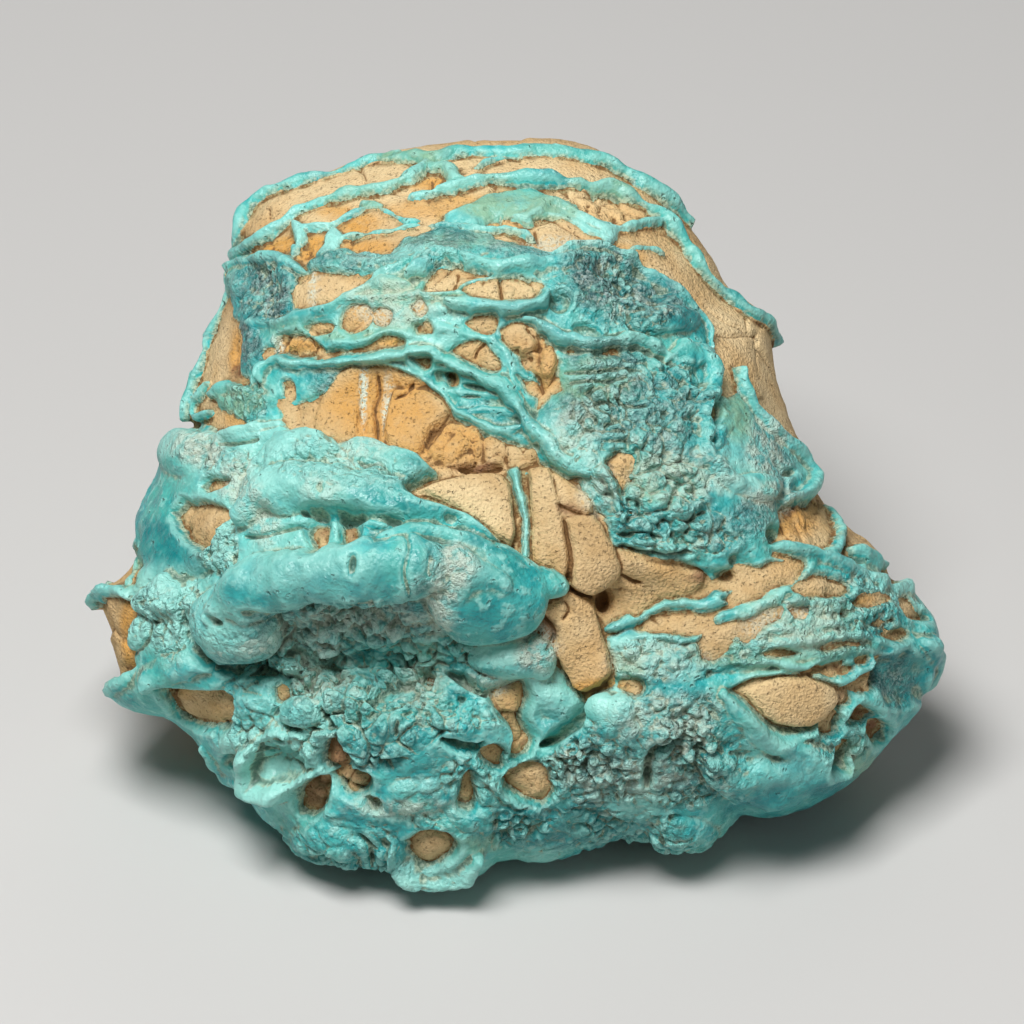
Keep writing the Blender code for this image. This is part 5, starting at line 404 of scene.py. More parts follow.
    (0.1, [(81.6, 73), (82.4, 71.8), (83.4, 71.2), (83.6, 72.2), (83, 73.6), (82, 73.9)]),
    (-0.3, [(82.6, 75.6), (83.4, 74.8), (84.6, 74.4), (84, 75.6), (83, 76)]),
    (-0.4, [(84.5, 72.2), (85.4, 71), (86.8, 71.3), (87, 72.2), (85.6, 72.6)]),
    (-0.3, [(86.3, 73.2), (87.4, 72.4), (88.5, 73), (88.2, 74.2), (87.2, 74.7)]),
]

# Flat-faced blocks of host rock: lift, rise to the right and down, then the outline.
BLOCKS = [
    # down the middle
    (1.1, 0.10, -0.02, [(53, 47.4), (54.7, 47.4), (55.4, 50), (56.1, 53), (56.4, 57.7), (55.2, 57),
        (53.5, 56.4), (53.3, 53)]),
    (0.7, 0.10, 0.05, [(55.3, 47.8), (57.4, 49.3), (59, 50.8), (58.6, 51.8), (56.6, 51.2), (55.7, 49.8)]),
    (1.4, -0.12, 0.05, [(56.7, 52.4), (59.2, 52), (60.4, 54), (61.8, 57), (61.4, 58.2), (59.6, 59.4),
        (58.4, 59.7), (57.2, 58.8), (57.3, 55.6)]),
    (1.3, 0, 0.08, [(56.2, 59.6), (58.6, 60.3), (59.6, 62.4), (60.8, 67.4), (58.2, 69.2), (56.8, 67.6),
        (55.7, 65.6), (55.7, 62.6)]),
    (0.6, 0, 0, [(54.1, 61.6), (55.3, 61), (55.3, 63.6), (54.1, 64.4)]),
    (0.5, 0.02, -0.10, [(62.2, 56.2), (65.8, 57.2), (70, 57.8), (69, 59.4), (65.6, 60), (63.6, 61.4),
        (62.6, 59.8)]),
    (1.1, -0.02, 0.10, [(42.4, 49.4), (46, 48.1), (49.2, 47.7), (50.7, 48.8), (51.2, 52), (51, 54.8),
        (48.4, 52.7), (45, 50.7)]),
    # in the hollow
    (0.4, 0.05, 0, [(33.8, 38), (35.9, 37.6), (35.8, 42.6), (35.2, 43.8), (33.4, 43.8), (31.6, 42.6),
        (32.4, 40.2)]),
    (0.2, 0, 0.05, [(36.9, 38), (38.2, 37.9), (37.9, 40.4), (37.5, 42.6), (36.9, 43)]),
    (0.9, 0.02, -0.04, [(39.6, 39.8), (41.4, 39.7), (43.2, 40), (44.8, 41.6), (43, 43.2), (42.2, 44.8),
        (41.4, 45.4), (39, 44.2), (38.8, 42)]),
    (0.3, 0, 0.10, [(39.6, 38.2), (41.6, 38.2), (42.6, 38.9), (40.6, 39.3)]),
    (0.8, -0.08, 0, [(44.9, 42.8), (47.6, 43.2), (48, 45.6), (46, 46.6), (43.6, 46), (43.2, 45)]),
    (0.5, 0, -0.10, [(48.6, 44.2), (50.2, 44.6), (50.2, 46.6), (48.8, 46.9)]),
    (0.6, -0.10, 0, [(50.7, 45), (53.2, 45.4), (53, 46.6), (51.1, 46.9)]),
    # brown blocks in the network, and the flank's slab
    (0.8, 0.15, 0, [(50.3, 33.8), (51.7, 33.2), (51.8, 35.2), (50.9, 35)]),
    (1, 0, 0.10, [(52, 33.2), (53.5, 33.7), (53.6, 35.4), (52.4, 36.1), (52, 35.2)]),
    (0.7, 0, 0, [(53.5, 36), (55, 35.3), (55.5, 36.7), (54.9, 38), (53.6, 37.6)]),
    (0.8, 0.03, 0.12, [(74.6, 69.6), (77.4, 68.4), (80.6, 68.3), (83.2, 69.4), (83, 71), (80.6, 72.8),
        (77.2, 72.4), (75.6, 71)]),
]

# Lumps: x, d, half width, half height, turn, height over the base level, base level.
LUMPS = [
    (18.7, 46, 2.6, 2.7, -20, 2, 0.6), (41, 47.4, 2.9, 1.9, 15, 1.6, 0.9), (37, 46, 2.4, 1.6, 10, 0.9, 1),
    (54.6, 72.9, 1.6, 1.3, 0, 1.3, 0.9), (56.6, 75.4, 1.2, 1, 0, 1, 0.9),
    (54.2, 76.4, 1, 1.1, 0, 0.9, 0.9), (35.2, 69.6, 2.8, 3, 0, 1.2, 1.2),
    (38.6, 68.4, 1.9, 1.6, 0, 0.9, 1.1), (37.4, 63.2, 1.6, 2.2, 0, 0.9, 1),
    (29.6, 67.4, 1.9, 2, 0, 1.1, 1.2), (25.4, 70.6, 2.1, 1.8, 0, 0.9, 1.1),
    (45, 69.4, 2, 1.4, 15, 1, 1.1), (46.4, 72.6, 1.7, 1.3, 0, 1.1, 1.1),
    (39, 72.4, 1.6, 1.1, -10, 0.9, 1.1), (24, 74, 1.6, 1.3, 0, 1.2, 1.2),
    (32.8, 84.2, 3.2, 2.4, 5, 1.6, 1), (41.6, 79.4, 3.6, 1.9, 0, 1.1, 1.2),
    (47, 81.8, 2.8, 1.5, 5, 1.2, 1), (50.6, 82, 1.6, 1.2, 0, 0.9, 1), (38.3, 85.4, 1.1, 1.3, 0, 0.9, 1),
    (68.2, 83, 3.4, 1.9, 0, 2, 0.8), (66.4, 73.2, 1.7, 1.3, -10, 1.2, 1), (70.6, 73.6, 2, 1.7, 0, 1.1, 1),
    (14.6, 63.8, 1.2, 1.8, 0, 0.5, 1.4), (22.4, 55, 1.6, 2.6, 8, 0.6, 1.2),
    (69, 36.3, 2, 1.2, 0, 0.9, 1.2), (75.2, 49.2, 2.4, 1.3, 5, 1, 1.2), (67, 51, 3, 1.4, 5, 0.9, 1.2),
    (66.4, 32.6, 3.4, 1.6, 0, 1.1, 0.9), (58.6, 46.6, 1.4, 1, 0, 0.7, 1.2),
]

# Smooth lumps that stand clear of the broken ground, as above.
KNOBS = [
    (24.4, 62.2, 4.4, 3.9, 0, 3.4, 1.4),  # the brow's blunt left end
    (48.6, 59.4, 6.4, 4.4, 12, 3.4, 1.2),  # the dome at the brow's right end
    (53.8, 58.6, 3.2, 1.6, 8, 1.6, 1),  # its spur
    (60.2, 70.9, 1.6, 1.5, 0, 0.9, 1.2),  # the cluster beside the cleft
    (61.9, 71.2, 1.5, 1.7, 0, 1.2, 1.2),
    (60.9, 72.7, 1.4, 1.1, 0, 0.8, 1.1),
    (62.8, 73, 1.1, 1.1, 0, 0.8, 1.1),
    (50.6, 65.8, 3.7, 2.2, 8, 2, 1.2),
    (53.8, 65.8, 1.8, 2.2, 0, 1.5, 1),
    (55.4, 70.2, 2.6, 2, 20, 1.4, 0.9),
    (30.6, 71.4, 2.2, 1.4, 5, 1.3, 1.2),
]

# Rolls: broad ridges of crust: width, height, base level, then points.
ROLLS = [
    (5.6, 3.9, 1.4, [(23.4, 61.2), (25.2, 59.6), (28, 58.3), (31.4, 57.7), (35, 57.5), (38.8, 57.2),
        (42.4, 57.2), (46, 57.8), (49.6, 58.8)]),  # the brow
    (3.4, 2.6, 1.4, [(38.4, 55.2), (41.6, 54.6), (44.6, 54.8), (47.6, 55.9), (50.4, 57.2)]),
    (6.2, 2.6, 1.2, [(25.4, 52.4), (27, 50.4), (30.4, 49.6), (34.4, 50), (38.6, 50.8), (42.6, 51.4),
        (46, 52.4), (48.6, 54)]),  # the fold over it
    (5.6, 1.4, 1.2, [(26.6, 49.4), (27.4, 46.8), (30, 45.4), (33.4, 46)]),
    (2.4, 2.6, 1.2, [(26.2, 74.4), (25.4, 76), (26.2, 78.2), (28.4, 79), (30.4, 78.6),
        (31.8, 77.2)]),  # the pocket's rim
    (1.2, 1, 1.2, [(26.4, 74), (28.4, 73.2), (30.6, 73.8), (31.8, 75.2)]),
    (2.6, 2, 1, [(39.6, 84.4), (40.3, 86.2), (41.8, 87.6), (44, 87.8), (46.2, 86.8),
        (47.3, 85.2)]),  # the collar round the foot's tan oval
    (7, 2.2, 1.2, [(70.6, 75.8), (73.6, 77.4), (77, 77.6), (80.4, 76.6), (83.6, 76.2)]),
    (3.4, 1.5, 1, [(72, 69.6), (74, 71.2), (75.8, 73.2), (78.4, 74.8), (81, 75)]),
    (3.4, 1.5, 1, [(15.2, 68.2), (17.4, 67.2), (19.6, 66.6), (21.4, 66.8)]),
    (4.8, 1.6, 1.2, [(14.4, 60.6), (17.2, 60.4), (20, 60.6)]),
    (2.6, 1.5, 1, [(91.6, 64.6), (93, 66.4), (92.6, 68.8), (91.2, 71.2)]),
    (2, 1.2, 1, [(21, 74.6), (22.6, 77), (25, 78.8)]),
    (1.2, 1, 1, [(47.4, 76.6), (48.8, 78), (50.8, 79.6), (52.8, 80.4)]),
]

# Cracks: width, depth, then points.
CRACKS = [
    (0.35, 1, [(50, 28.2), (50.1, 29.2), (50.2, 30.4)]),
    (0.35, 0.9, [(48.5, 34.9), (47.8, 35.6), (47.4, 36.4)]),
    (0.4, 0.9, [(30.6, 34), (31, 35), (30.8, 36.1)]),
    (0.35, 0.7, [(45.8, 27.4), (45.7, 28.4), (45.4, 29.2)]),
    (0.3, 0.7, [(42.5, 28.8), (42.3, 29.8)]),
    (0.4, 0.8, [(37.8, 38.2), (38, 39.8), (37.6, 41.4), (37.9, 43), (37.7, 44.4)]),
    (0.4, 0.8, [(39.6, 40.4), (40.8, 39.9), (41.4, 39)]),
    (0.8, 1.2, [(46.2, 46.9), (48.2, 47.2), (50, 47)]),
    (0.4, 0.8, [(46.4, 40.2), (48, 40.2)]),
    (0.7, 1, [(54, 35.2), (53.8, 36.6), (53.7, 38.2), (54, 39.6)]),
    (0.5, 1, [(52.6, 33.4), (53.6, 34.4), (53.6, 35.4), (52.4, 36)]),
    (0.35, 0.8, [(56.4, 52.6), (56.6, 54), (57, 55.6), (57.1, 57.2), (56.9, 58.6)]),
    (0.3, 0.5, [(57.2, 54), (57.4, 55.6)]),
    (0.3, 0.7, [(55.6, 50.8), (56.8, 51.4), (58.2, 51.9), (59, 51.9)]),
    (0.5, 1.2, [(57, 59.1), (58.2, 59.9), (59.4, 60.1)]),
    (0.45, 1, [(54.2, 61.8), (55.2, 62.9), (55.4, 64), (54.4, 64.6)]),
    (0.3, 0.6, [(56.2, 60.2), (56.7, 61.2), (56, 62.2)]),
    (0.5, 0.9, [(62.2, 58), (63.2, 58.6), (64, 58.7)]),
    (0.8, 1.6, [(59, 60), (60, 60.2), (60.8, 59.6)]),
    (0.4, 1, [(79, 50.3), (80, 51.2), (80.7, 52.7)]),
    (0.3, 0.6, [(35.9, 46.8), (37, 47.3), (38.4, 47.3), (39.2, 48.4)]),
    (0.3, 0.6, [(40.5, 55.4), (40.7, 56.6), (40.4, 57.8), (41, 59)]),
    (0.35, 0.8, [(15.7, 62.6), (15.6, 64), (14.8, 65.2), (13.6, 65.6)]),
    (0.5, 1.4, [(32.6, 71.2), (33, 72.2), (33.5, 73.2)]),
    (0.4, 1, [(39.8, 73.6), (39.9, 72.8), (40.1, 72.2)]),
    (1.1, 2.2, [(45, 67.6), (46.2, 68.2), (47.4, 69), (48.4, 69.6)]),
    (1.1, 2.2, [(44.4, 74), (45.8, 74.6), (47.4, 74.8), (48.2, 74.3)]),
    (1.3, 2.6, [(58.2, 70.8), (57.4, 72.4), (55.8, 73.8), (54.2, 74.6)]),
    (0.9, 1.8, [(68.6, 73.6), (66.8, 74.5), (65.2, 75.2), (64.6, 76.6), (64.6, 78.4)]),
    (0.5, 1, [(36.2, 83.2), (37.2, 84.4), (37.3, 86)]),
    (0.8, 1.4, [(25, 77), (25.2, 79)]),
    (0.9, 1.6, [(22, 66.9), (24.4, 67.4), (26.8, 67.6)]),
    (0.9, 1.4, [(19.6, 58.6), (19, 61), (19.4, 63.6), (20.8, 66), (22.6, 67.2)]),
    (0.5, 1, [(25.2, 54.2), (27, 54.2), (29, 53.6), (31, 53.2)]),
    (0.9, 1.6, [(31, 52), (34, 52.1), (37, 52.6), (40, 53.2)]),
    (0.5, 1, [(22.2, 44.9), (24, 44.9), (26, 44.3)]),
    (0.6, 1.2, [(71, 40), (71.2, 41), (71, 43.2), (71, 44.8)]),
    (0.6, 1.2, [(61.6, 53.8), (64, 54), (66, 54.1)]),
    (0.6, 1.2, [(61.8, 55), (64, 55.7), (67, 56), (69, 55.6)]),
    (0.4, 0.9, [(56.4, 37.8), (59, 37.8), (61.6, 37.4), (64, 37.6)]),
    (0.4, 0.9, [(57, 38.8), (59.4, 38.6), (62.4, 38.4)]),
    (0.4, 0.9, [(61.4, 40.2), (63, 41.2), (64.4, 41.2)]),
    (0.4, 0.9, [(58.4, 43.2), (60, 43.6), (62.4, 43.6)]),
    (0.5, 1, [(77, 46.8), (78, 47.9), (78.2, 49.6)]),
    (0.4, 0.7, [(26.8, 25.6), (26.9, 24.6)]),
    (0.4, 0.7, [(29.5, 25), (29.4, 24.3)]),
    (0.4, 0.7, [(34.5, 20.4), (34.7, 21.2)]),
    (0.35, 0.7, [(43.1, 17.6), (43.1, 18.8)]),
    (0.3, 0.6, [(53.5, 22.8), (53.9, 24.2)]),
    (0.25, 0.5, [(59.2, 20), (59, 20.8), (59.4, 21.8)]),
    (0.25, 0.5, [(60.6, 20), (60.2, 21), (60.6, 22)]),
    (0.25, 0.5, [(62, 20.6), (61.8, 22.2)]),
    (0.25, 0.5, [(26.3, 20.4), (26.4, 21.8)]),
    (0.3, 0.6, [(50, 21.6), (50.2, 22.8)]),
]

# Pits: x, d, half width, half height, turn, depth.
PITS = [
    (36.4, 57.2, 0.4, 0.6, 0, 1.2), (44.8, 52.9, 0.8, 0.6, 0, 0.8), (24, 61, 0.9, 0.6, 20, 0.9),
    (28, 60.2, 1.3, 0.6, 10, 1.2), (33.2, 50.2, 0.4, 0.6, 0, 0.6), (44.4, 38.4, 1.2, 0.8, 20, 1.3),
    (47.4, 39.3, 1.4, 0.4, 12, 0.9), (31, 69, 0.8, 0.5, 0, 1.2), (32.6, 66, 0.9, 0.6, 0, 0.9),
    (36.9, 65.2, 0.5, 0.4, 0, 0.9), (23.6, 76, 1, 0.9, 0, 1.2), (28.2, 71.4, 0.7, 0.6, 0, 1),
    (46.2, 70.2, 0.5, 0.4, 0, 0.8), (60.6, 60.6, 0.9, 1.2, 20, 1.8), (28.6, 76.2, 2.6, 1.8, 5, 1.5),
    (63.4, 28.4, 4.4, 2.4, 22, 2.2), (33, 85.3, 2, 0.6, 5, 0.8), (58.6, 33.6, 1.7, 0.8, 10, 1.2),
    (56, 30.6, 1.4, 1.4, 0, 1.6), (65.8, 39.2, 0.9, 1.2, 0, 1), (66.2, 42, 0.5, 0.6, 0, 0.9),
    (89.6, 68.2, 2.8, 3, 0, 1.8), (72.4, 57.8, 1.2, 0.7, 0, 1), (73.2, 56.4, 0.6, 0.7, 0, 0.9),
    (25.6, 66.9, 3, 1.1, 10, 1.8), (26, 29.2, 2.6, 2.4, 20, 1.1), (78.6, 47.8, 0.7, 0.5, 0, 0.8),
    (28.6, 73.8, 0.8, 0.4, 20, 0.7), (83.6, 76.2, 0.9, 0.5, 0, 0.5), (77.2, 53.8, 1, 1.2, 20, 1.6),
    (17.4, 69.7, 0.7, 0.7, 0, 0.9), (86, 56.2, 0.8, 0.4, 30, 0.6), (22.3, 73, 0.3, 0.3, 0, 0.5),
]

# Broken ground: x, d, half width, half height, turn, cell size, height.
ROUGH = [
    (64.5, 43.5, 10, 9.5, 10, 1.9, 1), (67, 53, 8, 4, 5, 1.7, 1), (36.5, 65, 15, 5.6, 5, 1.6, 1.5),
    (34, 72, 12, 6.5, 5, 2.3, 1.2), (33.6, 60.8, 9.5, 1.8, -6, 1.3, 0.9), (66, 75, 9, 6.5, 5, 1.15, 0.95),
    (58, 77.6, 6, 3.6, 0, 1.15, 0.95), (48, 79, 10, 6, 0, 2, 0.7), (46, 70.6, 6, 3.6, 0, 1.7, 0.7),
    (26, 70.6, 5.5, 5, 0, 1.9, 0.7), (34, 83.6, 7, 3.4, 0, 1.8, 0.6), (66, 66, 7, 3, 0, 1.4, 0.45),
    (84, 61.6, 9, 4.4, 0, 1.2, 0.5), (74, 64.6, 5, 2.6, 0, 1.3, 0.5), (22.4, 46.6, 3.4, 2.4, 0, 1.1, 0.6),
    (24.4, 40.6, 3.6, 2.4, 0, 1.1, 0.5), (61, 30, 8, 4.6, 15, 1.1, 0.5),
    (26.4, 29.6, 4.2, 3.2, 20, 1, 0.4), (40, 25.6, 12, 2, 0, 0.9, 0.3), (34, 47.6, 8, 3, 5, 1.3, 0.35),
    (18, 62, 5.6, 4.6, 0, 1.3, 0.6), (22.4, 55.4, 2.4, 3.4, 0, 1.1, 0.6), (43.8, 58.4, 2, 3.2, 0, 1, 0.6),
    (83.6, 73.6, 4, 3, 0, 1.4, 0.4), (60, 83.4, 13, 3.4, 0, 1.7, 0.8), (40, 88, 12, 2.6, 0, 1.8, 0.6),
]

# Shattered host rock: x, d, half width, half height, turn, block size, height.
SHATTERED = [
    (48, 45.2, 7, 3, 10, 2.2, 0.6), (30.4, 34.8, 5, 1.6, 0, 1.7, 0.8), (53, 35.6, 3.6, 4.6, 0, 2.6, 0.5),
    (60, 20.8, 3.6, 2, 0, 1.5, 0.5), (34, 53.6, 4, 1.6, 0, 1.5, 0.8), (34.6, 78.4, 4, 3.4, 0, 2.4, 0.8),
    (51, 72, 3, 5, 0, 2.6, 0.7), (48, 28.8, 6, 2, 0, 2.6, 0.4), (31, 24, 6, 2, 0, 2.6, 0.4),
    (80, 52, 3, 3, 0, 2.4, 0.7), (86, 73, 3, 2, 0, 1.6, 0.6), (84, 66.4, 4, 1.4, 0, 1.4, 0.4),
]

# Washes of colour, by kind: x, d, half width, half height, turn, strength. Some washes are painted light
# and shade, as noted at their kinds.
TINTS = {
    # The pale washes mark milky turquoise; those on the tops of the brow and the dome are painted
    # highlights.
    "pale": [
        (17, 61, 5.6, 4.2, 0, 1), (22.4, 55, 2.2, 3.4, 0, 1), (31, 47.4, 9, 4.2, 5, 0.75),
        (24.4, 43.6, 4.6, 1.3, -8, 0.9), (18.4, 44.8, 2.6, 2, 0, 0.9), (44.2, 31.6, 2.4, 1.8, 0, 0.9),
        (43, 34.2, 3, 1.4, 0, 0.8), (32.8, 24, 2, 1.8, 0, 1), (29.6, 23, 1.4, 1.8, 0, 0.8),
        (37, 29, 3, 1.4, 0, 0.7), (52.6, 20.9, 3, 1.6, 0, 0.5), (61.6, 23.6, 2.4, 1.2, 0, 0.9),
        (57.6, 21.6, 3.4, 1.2, 30, 0.8), (50, 64.2, 4.2, 1.3, 5, 1), (54.6, 68.2, 2, 2.4, 40, 0.8),
        (29, 77.8, 4.2, 1.6, 0, 0.9), (25.6, 75.8, 1.2, 2.6, 0, 0.9), (61.4, 70.4, 2.8, 1.8, 0, 1),
        (63.6, 65.4, 3.6, 2.4, 0, 0.9), (67.4, 66.8, 3.2, 1.4, 0, 0.5), (75.4, 75, 2.6, 1.8, 0, 0.3),
        (91.6, 59.6, 2.4, 2, 30, 0.8), (29.6, 56.4, 9, 2, -4, 0.5), (45.6, 57, 3.2, 1.6, 10, 0.5),
        (57, 44.4, 3.4, 2.4, 30, 0.7), (57.6, 46.4, 3, 1.2, 20, 0.7), (72.6, 49, 3, 1.4, 10, 0.7),
        (76, 59.8, 3, 1.4, -30, 0.8), (82, 61.6, 3.4, 1.4, 0, 0.7), (33.6, 46.4, 3.6, 1.4, 0, 0.6),
        (24.8, 74, 2.6, 1.6, 0, 0.8), (31, 66.8, 2.4, 2.6, 0, 0.5), (22, 61, 3, 4, 0, 0.55),
        (44, 86.6, 5, 1.2, 0, 0.6), (73.6, 46.4, 2.4, 2.6, 0, 0.6), (79.4, 46.8, 1.4, 1.6, 0, 0.5),
        (22, 47.4, 2.6, 1.4, 0, 0.6), (52.6, 52, 0.9, 4.6, -8, 0.6), (44.4, 78, 5, 0.8, 0, 0.6),
        (30, 73.6, 3.4, 1.4, 0, 0.6), (78, 76, 6, 1.2, -6, 0.3), (44, 87, 4.4, 1.4, 0, 0.8),
        (17.6, 61.6, 4.6, 4, 0, 1), (42, 32.2, 5, 2, 0, 0.8), (38, 29, 3.4, 1.6, 0, 0.7),
        (40, 25.4, 7, 1.2, -8, 0.7), (52, 25, 5, 1, 8, 0.6), (79, 63.6, 7, 2.4, 0, 0.7),
        (88.6, 58.6, 3.4, 1.6, 30, 0.6),
    ],
    # The deep washes hold deeper turquoise, and on the undersides (under the brow's left end, along the
    # lower edge and on the right lobe's lower side) they are painted shade.
    "deep": [
        (50, 61.6, 5, 2.2, 10, 0.2), (33, 58.4, 9, 2, 0, 0.8), (17.6, 55.4, 4.6, 3.4, 0, 1),
        (38.6, 75, 6, 2.6, 0, 0.9), (52, 31.4, 4.6, 2.2, 0, 0.8), (76.6, 79.4, 8, 2.6, 0, 0.8),
        (80.6, 77, 5, 3, 0, 0.7), (67.4, 33, 4.4, 1.8, 0, 0.7), (90.4, 68.4, 4, 5, 0, 0.7),
        (55, 33.4, 3, 1.6, 20, 0.6), (61.6, 50.4, 2, 3.6, 0, 0.7), (50, 42.6, 4, 1.8, 10, 0.7),
        (61, 19, 7, 1.4, 12, 0.4), (42.6, 27.4, 1.8, 1.4, 0, 0.3), (24, 66, 4.4, 1.8, 0, 0.8),
        (33, 38, 3, 1.6, 0, 0.6), (62, 53.6, 5, 2, 0, 0.7), (56, 82.4, 10, 2.6, 0, 1),
        (42, 49, 2, 1.4, 0, 0.3), (36.6, 86.4, 6, 1.4, 0, 0.6), (54.6, 72, 2.6, 1.6, 0, 0.4),
        (79, 78.8, 9, 2.6, -8, 1), (65.6, 29.6, 4, 2.6, 20, 0.9), (31.4, 32, 2.6, 1.4, 0, 0.5),
        (48.6, 39.4, 4, 2, 30, 0.5), (87, 77.4, 4, 2, -20, 0.8),
    ],
    "grey": [
        (26.4, 29.4, 3.6, 3.2, 10, 1), (35, 26.2, 5.6, 1.3, 0, 0.6), (44, 24.4, 5, 1.5, 0, 0.6),
        (51.4, 25.4, 4.4, 1.5, 8, 0.6), (61, 28.6, 5.4, 4, 20, 1), (65.6, 30.4, 4, 2.6, 20, 0.9),
        (60.6, 41, 6, 4.6, 0, 0.75), (66, 42, 4.4, 4.6, 0, 0.7), (60.4, 36.4, 4.4, 1.6, 0, 0.8),
        (60, 76.8, 5, 3.4, 0, 0.7), (68, 76.6, 4.6, 3.4, 0, 0.7), (68.6, 71.2, 3.6, 2.2, 0, 0.6),
        (24.6, 34.6, 1.4, 3, -10, 0.9), (21.4, 46, 1.6, 1.2, 0, 0.7), (89.4, 68.4, 2.6, 3, 0, 0.7),
        (75, 52, 2.6, 2.6, 0, 0.6), (34, 62.6, 7, 2.4, 0, 0.45), (41.6, 61, 3, 3.4, 0, 0.6),
        (43.6, 58.4, 2, 2.6, 0, 0.5), (28.4, 61.4, 2.6, 2.4, 0, 0.5), (33, 38.8, 2.4, 1.4, 0, 0.6),
        (60, 73.8, 3.4, 1.6, 0, 0.4), (77.4, 47.4, 1.8, 3, 0, 0.6), (72, 53.6, 3, 2, 0, 0.5),
    ],
    "green": [
        (41, 15.8, 4, 1.3, 0, 0.9), (48.6, 20.8, 3, 1.3, 0, 0.9), (37.6, 20.4, 2, 0.9, 0, 0.8),
        (58.6, 38.8, 4.6, 2.6, 0, 0.9), (24, 40.4, 3.6, 1.6, 0, 0.8), (45.8, 47.4, 3, 1.1, 0, 1),
        (62.4, 67, 2, 1.4, 0, 0.8), (85, 75.8, 2, 1.8, 0, 0.7), (65.4, 48.4, 4.6, 2.8, 0, 0.7),
        (37.4, 33.4, 5, 1.2, 0, 0.6), (41.6, 32.6, 1.6, 1.4, 0, 0.7), (73, 42, 1.6, 3.6, -15, 0.8),
        (13, 57.4, 1.6, 2, 0, 0.6), (42.6, 66.2, 2.4, 3, 0, 0.5), (60.4, 30.4, 3, 1.6, 20, 0.4),
        (53, 21, 6, 2.2, 5, 0.8), (47.6, 84, 2.6, 0.9, 0, 0.6), (75.6, 67, 3, 1, 0, 0.6),
        (47, 17.4, 6, 0.9, 0, 0.6), (60.4, 18.9, 4, 0.9, 15, 0.7), (36, 18.9, 5, 0.9, -10, 0.6),
        (42, 29.8, 6, 2, 0, 0.75), (30.4, 33.4, 4, 1.2, 0, 0.5), (80, 65.4, 8, 1.4, -5, 0.5),
        (36, 34, 5, 0.8, 0, 0.7), (48, 24.6, 8, 0.9, 0, 0.6), (72, 65.6, 4, 1.4, 0, 0.7),
        (80, 62, 8, 3, 0, 0.45),
    ],
    "ochre": [
        (38, 41.4, 6, 3.6, 10, 0.8), (44.8, 44.6, 4, 2.4, 0, 0.7), (28.6, 24.8, 3.6, 1.4, 0, 1),
        (31.4, 24.4, 1.6, 1.4, 0, 1), (35.6, 22.2, 2.4, 1.2, 0, 1), (33.4, 20.9, 2.2, 0.8, 0, 0.8),
        (36.6, 24.6, 3, 0.7, 0, 0.8), (43.6, 20.6, 6, 1.3, -5, 0.7), (43.2, 18.2, 2.6, 0.9, 0, 0.9),
        (49, 22.6, 4, 0.8, 0, 0.6), (51.6, 19.4, 2.6, 0.7, 0, 0.8), (12.5, 64.4, 0.8, 4.4, 0, 1),
        (59.4, 68.9, 3, 1.1, 0, 0.9), (80.2, 52.2, 2.4, 1.8, 0, 0.8), (74.8, 39, 1.2, 3.6, -12, 0.6),
        (23.3, 35.4, 0.9, 2.6, 0, 0.9), (23.4, 42, 2, 1, 0, 0.7), (29.6, 34.9, 2.2, 0.9, 0, 0.8),
        (54.6, 37, 1.6, 3, 0, 0.5), (63.4, 25.2, 2.4, 0.8, 20, 0.6), (86.6, 60.2, 1.6, 0.7, 0, 0.7),
        (76, 70, 3, 2, 0, 0.2), (38.8, 34.7, 1.6, 0.6, 0, 0.8), (33.2, 32.4, 5, 1.4, 0, 0.3),
    ],
    "brown": [
        (56.9, 51.4, 1.5, 0.5, 12, 0.6), (54.4, 63.2, 1.2, 1.5, 0, 0.7), (86, 71.6, 1.5, 0.9, 10, 0.8),
        (87.5, 73.5, 1.2, 1.2, 0, 0.9), (33.8, 75.6, 1.6, 1.9, 0, 0.7), (31.6, 79.6, 2.4, 1.6, -20, 0.7),
        (23.4, 37.4, 0.8, 0.8, 0, 1), (44.6, 38.6, 1.2, 0.9, 0, 0.8), (72.6, 81.4, 1.6, 0.7, 0, 0.7),
        (53.4, 74.8, 1.2, 0.7, 0, 0.8), (40, 61.6, 1.6, 1, 0, 0.6), (69.8, 58, 1, 0.8, 0, 0.7),
        (34.4, 53.4, 2.6, 1, 0, 0.5), (84.2, 70, 1, 0.9, 0, 0.5), (79.2, 50.8, 0.9, 0.6, 30, 0.7),
        (36, 78.2, 2, 1.2, 0, 0.25), (84, 66.8, 1.4, 0.7, 0, 0.5), (47.6, 46.8, 2.4, 0.4, 0, 0.8),
    ],
    "frost": [
        (36.4, 39.6, 0.35, 3.2, 0, 1), (38.7, 40.2, 0.3, 2.8, 5, 1), (53.6, 64.6, 2.2, 2, 30, 0.9),
        (48.4, 68.6, 2.6, 1, 10, 0.7), (37, 61.8, 8, 1.6, 0, 0.5), (43.8, 60.6, 1.5, 3, 0, 0.7),
        (30, 63.6, 4, 2.2, 0, 0.4), (45.2, 57.2, 1.6, 1.6, 0, 0.8), (21, 45.6, 2.6, 2, 0, 0.7),
        (24.4, 48.6, 2, 2.6, 0, 0.7), (76, 45.6, 2.4, 3.4, 0, 0.7), (76.6, 50.4, 3, 1.6, 0, 0.7),
        (68, 48, 5, 3, 0, 0.5), (66, 72, 5, 2.4, 0, 0.5), (62, 77.6, 7, 2, 0, 0.4),
        (32.6, 67.6, 3, 3.4, 0, 0.5), (43, 68.6, 3, 2.6, 0, 0.4), (40, 80.4, 6, 1.2, 0, 0.6),
        (57.6, 43.6, 2.6, 3, 0, 0.5), (27.4, 52.4, 1.6, 3, 0, 0.6), (40, 31, 5, 2.4, 0, 0.5),
        (56, 24.6, 4, 1, 0, 0.5), (59.6, 49, 2, 3, 0, 0.5), (66, 66, 5, 2, 0, 0.4),
